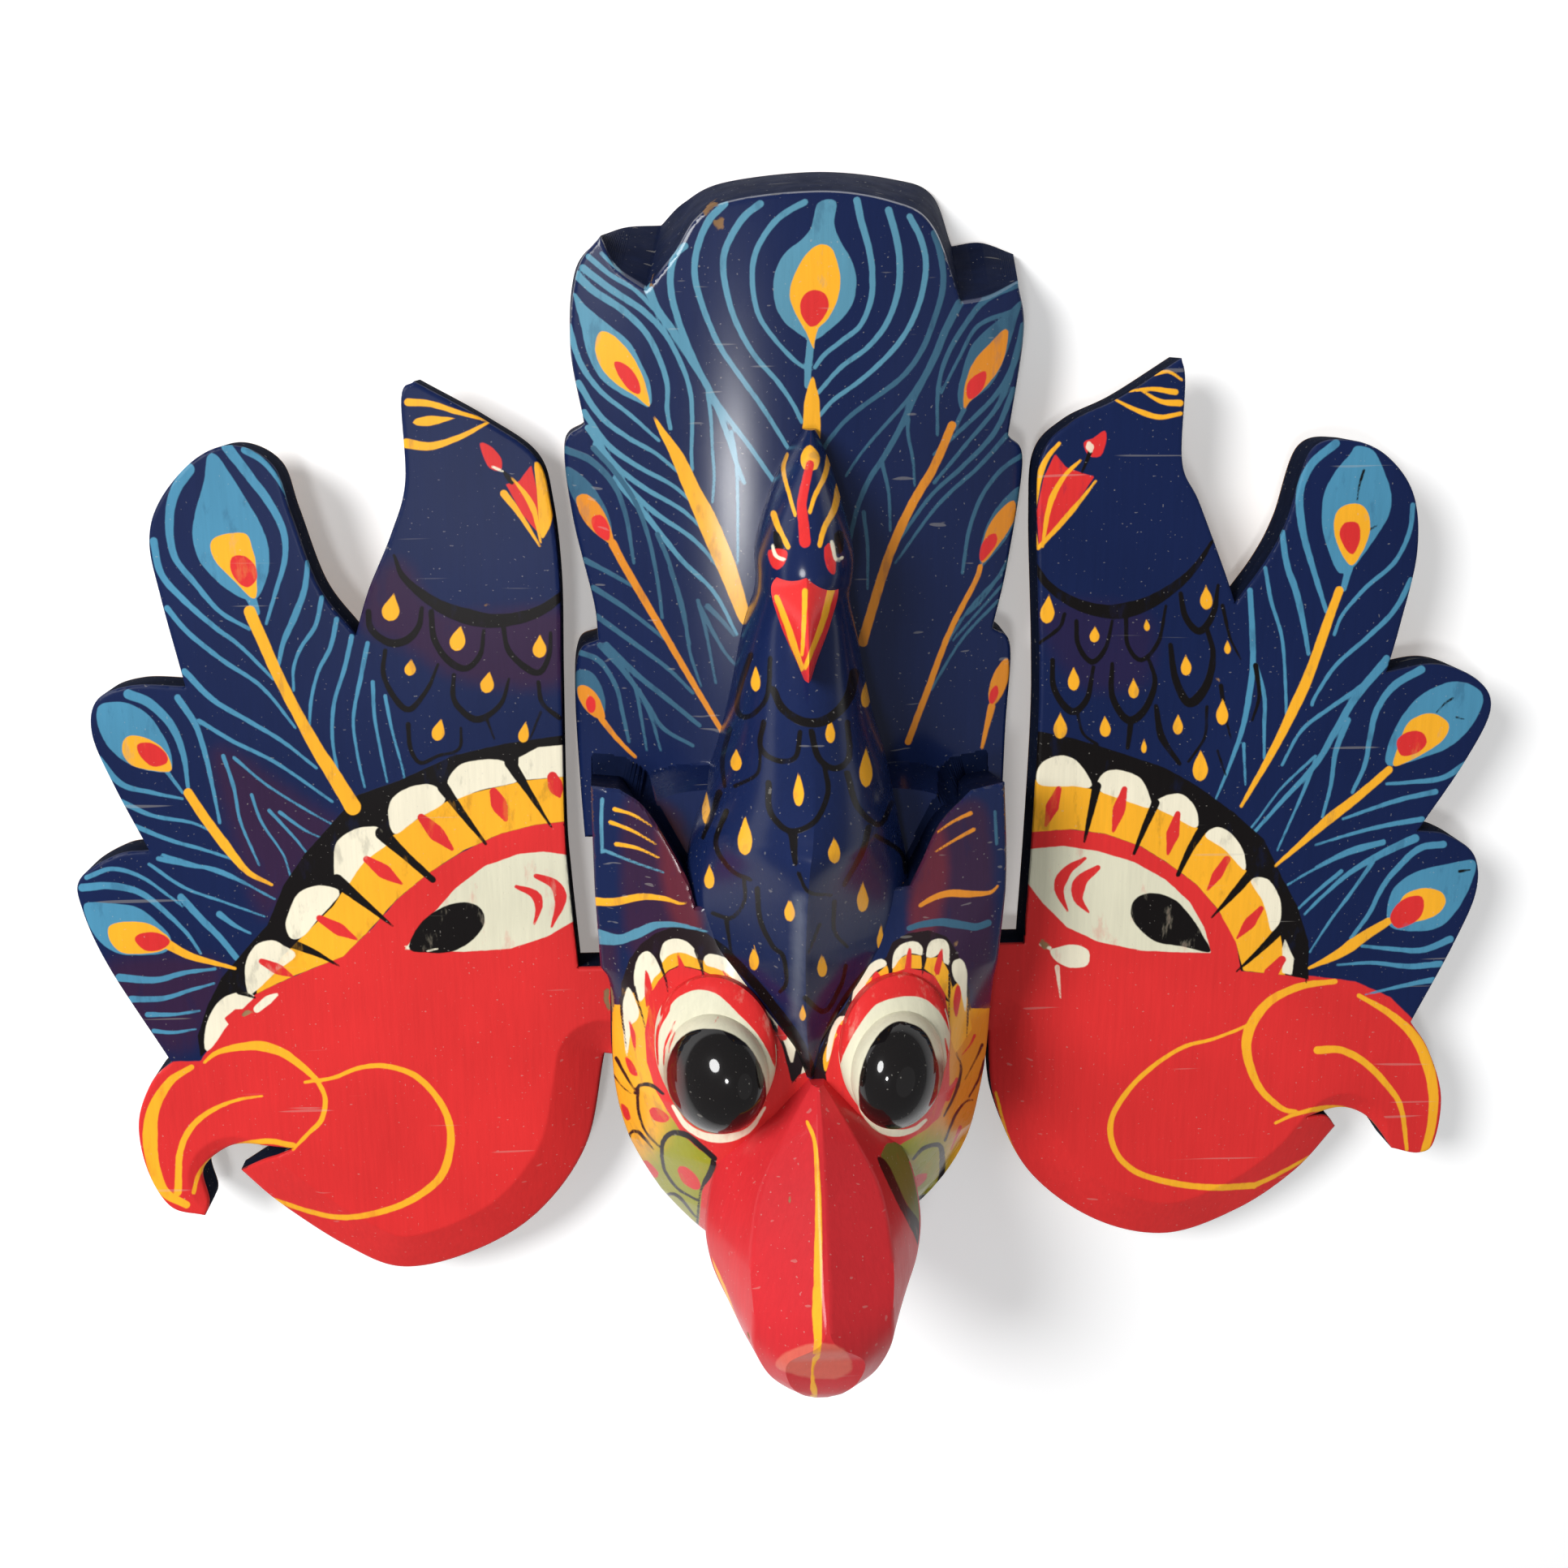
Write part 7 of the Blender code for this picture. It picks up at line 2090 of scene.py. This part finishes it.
PEACOCK_COATS = (
    Coat("yellow", YELLOW, (
        WHOLE.patch(998, 548, 1010, 562, 1006, 578, 990, 578, 987, 560),
        WHOLE.line(6, 4, 969, 560, 965, 579, 973, 611, 980, 635),
        WHOLE.line(7, 5, 1022, 560, 1016, 587, 1004, 611, 998, 631),
        WHOLE.line(9, 6, 1034, 599, 1028, 627, 1016, 650, 1010, 672),
        WHOLE.line(8, 6, 953, 633, 959, 650, 971, 674),
        WHOLE.drop(931, 820, 931, 852, 12),
        WHOLE.drop(907, 922, 907, 950, 14),
        WHOLE.drop(1023, 884, 1023, 916, 12),
        WHOLE.drop(1068, 836, 1066, 872, 12),
        WHOLE.drop(1067, 920, 1067, 970, 16),
        WHOLE.drop(984, 950, 984, 994, 13),
        WHOLE.drop(870, 972, 870, 1016, 10),
        WHOLE.drop(918, 1004, 918, 1054, 18),
        WHOLE.drop(1028, 1030, 1028, 1064, 15),
        WHOLE.drop(874, 1065, 874, 1095, 13),
        WHOLE.drop(973, 1105, 973, 1136, 13),
        WHOLE.drop(1063, 1085, 1063, 1124, 14),
        WHOLE.drop(929, 1164, 929, 1196, 12),
        WHOLE.drop(1013, 1174, 1013, 1204, 12),
        WHOLE.drop(989, 1238, 989, 1258, 8),
        WHOLE.drop(1113, 1086, 1113, 1106, 6),
        WHOLE.drop(1086, 1138, 1084, 1170, 8),
    )),
    Coat("black", BLACK, (
        WHOLE.line(9, 13, 953, 850, 965, 874, 992, 890, 1020, 886, 1044, 862, 1053, 830, middle=12),
        *WHOLE.lines(7, 6, (925, 807, 911, 850, 909, 878, 925, 882, 945, 858, 949, 811), (941, 890, 937, 921,
            957, 937, 980, 933, 986, 902)),
        *WHOLE.lines(7, 5, (899, 898, 890, 937, 893, 969), (895, 1000, 882, 1040, 901, 1072, 925, 1084), (933,
            1095, 937, 1135, 953, 1167, 965, 1178, 969, 1210, 961, 1222), (992, 1230, 1016, 1246, 1036, 1214,
            1042, 1190)),
        *WHOLE.lines(5, 4, (905, 969, 933, 953, 937, 921), (984, 1076, 996, 1099, 1024, 1103)),
        WHOLE.line(8, 7, 1000, 902, 1008, 933, 1028, 947, 1046, 933, 1044, 890),
        *WHOLE.lines(8, 6, (947, 965, 949, 1000, 973, 1024, 1004, 1012, 1020, 977, 1016, 945), (1044, 953,
            1056, 993, 1083, 1016, 1099, 989), (1070, 1020, 1062, 1050, 1040, 1090)),
        WHOLE.line(9, 5, 886, 977, 878, 1002, 866, 1032),
        WHOLE.line(5, 5, 917, 1084, 917, 1111, 901, 1131, 878, 1125),
        WHOLE.line(6, 3, 895, 1135, 901, 1174),
        WHOLE.line(12, 6, 977, 1028, 980, 1064),
        WHOLE.line(6, 4, 1028, 1111, 1028, 1147, 1044, 1167),
        WHOLE.line(5, 3, 1010, 1139, 996, 1174),
        WHOLE.line(12, 22, 866, 1152, 900, 1180, 945, 1230, 985, 1290, 1003, 1350, middle=12),
        WHOLE.line(8, 12, 1120, 1150, 1085, 1180, 1050, 1220, 1020, 1275, 1005, 1350),
        WHOLE.line(6, 5, 1080, 1030, 1110, 1050, 1116, 1075),
        WHOLE.patch(953, 654, 963, 662, 964, 682, 955, 678),
        WHOLE.patch(1028, 658, 1038, 654, 1039, 678, 1030, 682),
    )),
    Coat("red", RED, (
        WHOLE.line(10, 14, 998, 572, 994, 590, 988, 620, 990, 645, 992, 668),
        WHOLE.patch(947, 678, 969, 678, 967, 694, 957, 702, 949, 694),
        WHOLE.patch(1016, 674, 1026, 670, 1030, 694, 1028, 708, 1018, 698),
    )),
    Coat("white", CREAM, (
        WHOLE.line(4, 5, 952, 672, 955, 684, 966, 690),
        WHOLE.line(5, 4, 1025, 668, 1030, 690, 1038, 687),
    )),
    # A pale grey-blue streak down the keel ridge of the small peacock's body
    Coat("rub", srgb(140, 146, 158), (
        WHOLE.line(14, 12, 985, 1110, 984, 1180, 980, 1250, middle=14),
        WHOLE.line(10, 4, 984, 1250, 996, 1300),
    ), soft=9, wobble=5, cover=0.35),
)
BILL_COATS = (
    Coat("yellow", YELLOW, (
        WHOLE.line(7, 9, 957, 736, 973, 779, 986, 823),
        WHOLE.line(9, 5, 1024, 728, 1012, 771, 992, 823),
        WHOLE.line(7, 4, 992, 728, 990, 779, 988, 807),
    )),
)
BEAK_COATS = (
    Coat("green", srgb(104, 118, 52), (
        FACE.patch(1040, 740, 1075, 790, 1100, 850, 1130, 905, 1170, 970, 1172, 1060, 1400, 1060, 1400, 650,
            1060, 700, smooth=False),
    )),
    Coat("rims", CREAM, EYE_RIMS),
    Coat("rubbed", srgb(222, 132, 108), (
        FACE.patch(690, 1440, 720, 1400, 800, 1368, 870, 1368, 925, 1392, 945, 1450, 900, 1482, 800, 1480,
            730, 1462),
    ), soft=2.0, wobble=3, cover=0.5),
    Coat("yellow", YELLOW, (
        FACE.line(10, 22, 796, 628, 820, 690, 830, 800, 834, 950, 832, 1150, 832, 1350, 822, 1450, 816, 1580,
            middle=28),
        FACE.line(8, 26, 820, 1180, 832, 1350, middle=28),
        FACE.line(9, 3, 432, 985, 470, 1070, 520, 1180, 560, 1285, 610, 1390, middle=9),
    )),
    Coat("marks", BLACK, (
        FACE.patch(485, 742, 494, 770, 478, 810, 448, 852, 440, 890, 430, 1000, 415, 985, 434, 880, 446, 830,
            468, 785, 476, 755),
        FACE.patch(1028, 745, 1052, 752, 1078, 790, 1104, 850, 1130, 905, 1170, 965, 1170, 1050, 1150, 1000,
            1092, 890, 1050, 800),
    )),
)
BEAK_CHIPS = (
    FACE.line(3, 2, 600, 1330, 604, 1345),
    FACE.line(2, 2, 735, 880, 738, 900),
)
EYE_COATS = (
    Coat("red", RED, (
        FACE.line(4, 3, 318, 440, 322, 380, 340, 330, 358, 290, middle=9),
        FACE.line(3, 3, 335, 400, 340, 370, 356, 330, middle=8),
        FACE.line(3, 2, 486, 300, 510, 262),
        FACE.line(4, 6, 1255, 350, 1266, 420, 1258, 520, middle=12),
        FACE.line(8, 14, 298, 440, 298, 330, 335, 250),
        FACE.line(60, 50, 304, 240, 348, 183, 429, 147, 518, 161, 607, 232, 683, 334, 736, 477, 744, 566,
            middle=110),
        FACE.line(50, 60, 865, 492, 890, 386, 933, 290, 993, 204, 1070, 165, 1138, 156, 1221, 182, 1286, 261,
            1317, 370, 1315, 477, middle=110),
    )),
    Coat("black", BLACK, (
        FACE.patch(385, 340, 440, 318, 520, 325, 590, 365, 640, 440, 660, 520, 655, 600, 615, 660, 550, 702,
            490, 706, 430, 682, 380, 632, 345, 560, 328, 470, 345, 390),
        FACE.patch(968, 530, 975, 460, 1000, 390, 1040, 330, 1090, 295, 1140, 300, 1190, 330, 1222, 400, 1235,
            470, 1225, 560, 1200, 620, 1150, 665, 1090, 700, 1040, 702, 1000, 665, 975, 600),
    ), streak=0.0),
    Coat("blush", srgb(92, 26, 24), (
        FACE.patch(325, 430, 350, 400, 372, 440, 380, 560, 398, 640, 360, 620, 325, 500),
        FACE.patch(1222, 420, 1260, 440, 1262, 540, 1210, 640, 1222, 560, 1228, 480),
    ), soft=9, wobble=3, cover=0.8, streak=0.0),
)
@dataclass(frozen=True)
class Studio:
    """A pale floor and soft light: a large key at the upper left, a weaker fill and a pale sky."""

    floor: Colour = (0.94, 0.94, 0.94)
    glow: float = 0.24
    sky: float = 0.26
    key: float = 19.0
    fill: float = 0.6
    glint: float = 2.0
    half_side: float = 4.0
    floor_rough: float = 0.9

    def lamp(self, name: str, power: float, size: float, place: tuple[float, float, float]) -> None:
        """An area light that looks at the mask's middle from a place in metres."""
        data = bpy.data.lights.new(name, "AREA")
        data.energy = power
        data.shape = "DISK"
        data.size = size
        lamp = bpy.data.objects.new(name, data)
        back = np.array(place) / np.linalg.norm(place)
        right = np.cross((0.0, 1.0, 0.0), back)
        right /= np.linalg.norm(right)
        turned = np.eye(4)
        turned[:3, :3] = np.array([right, np.cross(back, right), back]).T
        turned[:3, 3] = place
        lamp.matrix_world = Matrix(turned.tolist())
        bpy.context.collection.objects.link(lamp)

    def build(self) -> None:
        """Makes the floor, the sky and the lamps."""
        side = self.half_side
        corners = np.array([(-side, -side, 0), (side, -side, 0), (side, side, 0), (-side, side, 0)], float)
        mesh = bpy.data.meshes.new("pale_floor")
        mesh.from_pydata(corners.tolist(), [], [(0, 1, 2, 3)])
        floor = bpy.data.objects.new("pale_floor", mesh)
        bpy.context.collection.objects.link(floor)
        material = bpy.data.materials.new("pale_floor")
        material.use_nodes = True
        shader = material.node_tree.nodes["Principled BSDF"]
        shader.inputs["Base Color"].default_value = (*self.floor, 1.0)
        shader.inputs["Roughness"].default_value = self.floor_rough
        shader.inputs["Emission Color"].default_value = (1.0, 1.0, 1.0, 1.0)
        shader.inputs["Emission Strength"].default_value = self.glow
        mesh.materials.append(material)
        world = bpy.data.worlds.new("pale_sky")
        world.use_nodes = True
        sky = world.node_tree.nodes["Background"]
        sky.inputs["Color"].default_value = (0.96, 0.98, 1.0, 1.0)
        sky.inputs["Strength"].default_value = self.sky
        bpy.context.scene.world = world
        self.lamp("key_light", self.key, 0.55, (-0.85, 0.50, 1.15))
        self.lamp("fill_light", self.fill, 1.2, (0.9, -0.3, 1.1))
        self.lamp("sheen_light", self.glint, 0.12, (-0.18, -0.03, 1.05))


def main() -> None:
    """Builds the pieces in order, then the camera, the floor and the light."""
    logging.basicConfig(level=logging.INFO, format="%(name)s: %(message)s")
    bpy.context.scene.view_settings.view_transform = "Standard"
    shift = frame_shift()
    LOG.info("frame shift: %s mm", np.round(shift, 2).tolist())
    VIEW.make_camera(shift)
    groups = Groups()
    CentreBlock(shift, BLOCK_COATS, BLOCK_CHIPS).build(groups)
    SmallPeacock("small_peacock", shift, PEACOCK_COATS, NAVY).build(groups)
    SmallBill("small_bill", shift, BILL_COATS, RED).build(groups)
    BigBeak("big_beak", shift, BEAK_COATS, BEAK_RED, BEAK_CHIPS, roughness=0.4, coating=0.3).build(groups)
    for name, values, side in (("left_eye", LEFT_EYE, Side.LEFT), ("right_eye", RIGHT_EYE, Side.RIGHT)):
        BulgingEye(name, shift, EYE_COATS, EYE_WHITE, coating=0.8, gloss=0.06, glossy_coat="black",
                   values=values, side=side).build(groups)
    WingBoard("left_wing_board", "left_wing", "left_wing_paint", Side.LEFT, LEFT_WING, LEFT_JAW,
              LEFT_TENON_Y, shift, LEFT_WING_COATS, LEFT_WING_CHIPS, NAVY, WALL_BLUE).build(groups)
    WingBoard("right_wing_board", "right_wing", "right_wing_paint", Side.RIGHT, RIGHT_WING, RIGHT_JAW,
              RIGHT_TENON_Y, shift, RIGHT_WING_COATS, RIGHT_WING_CHIPS, NAVY, WALL_BLUE).build(groups)
    Studio().build()


if __name__ == "__main__":
    main()
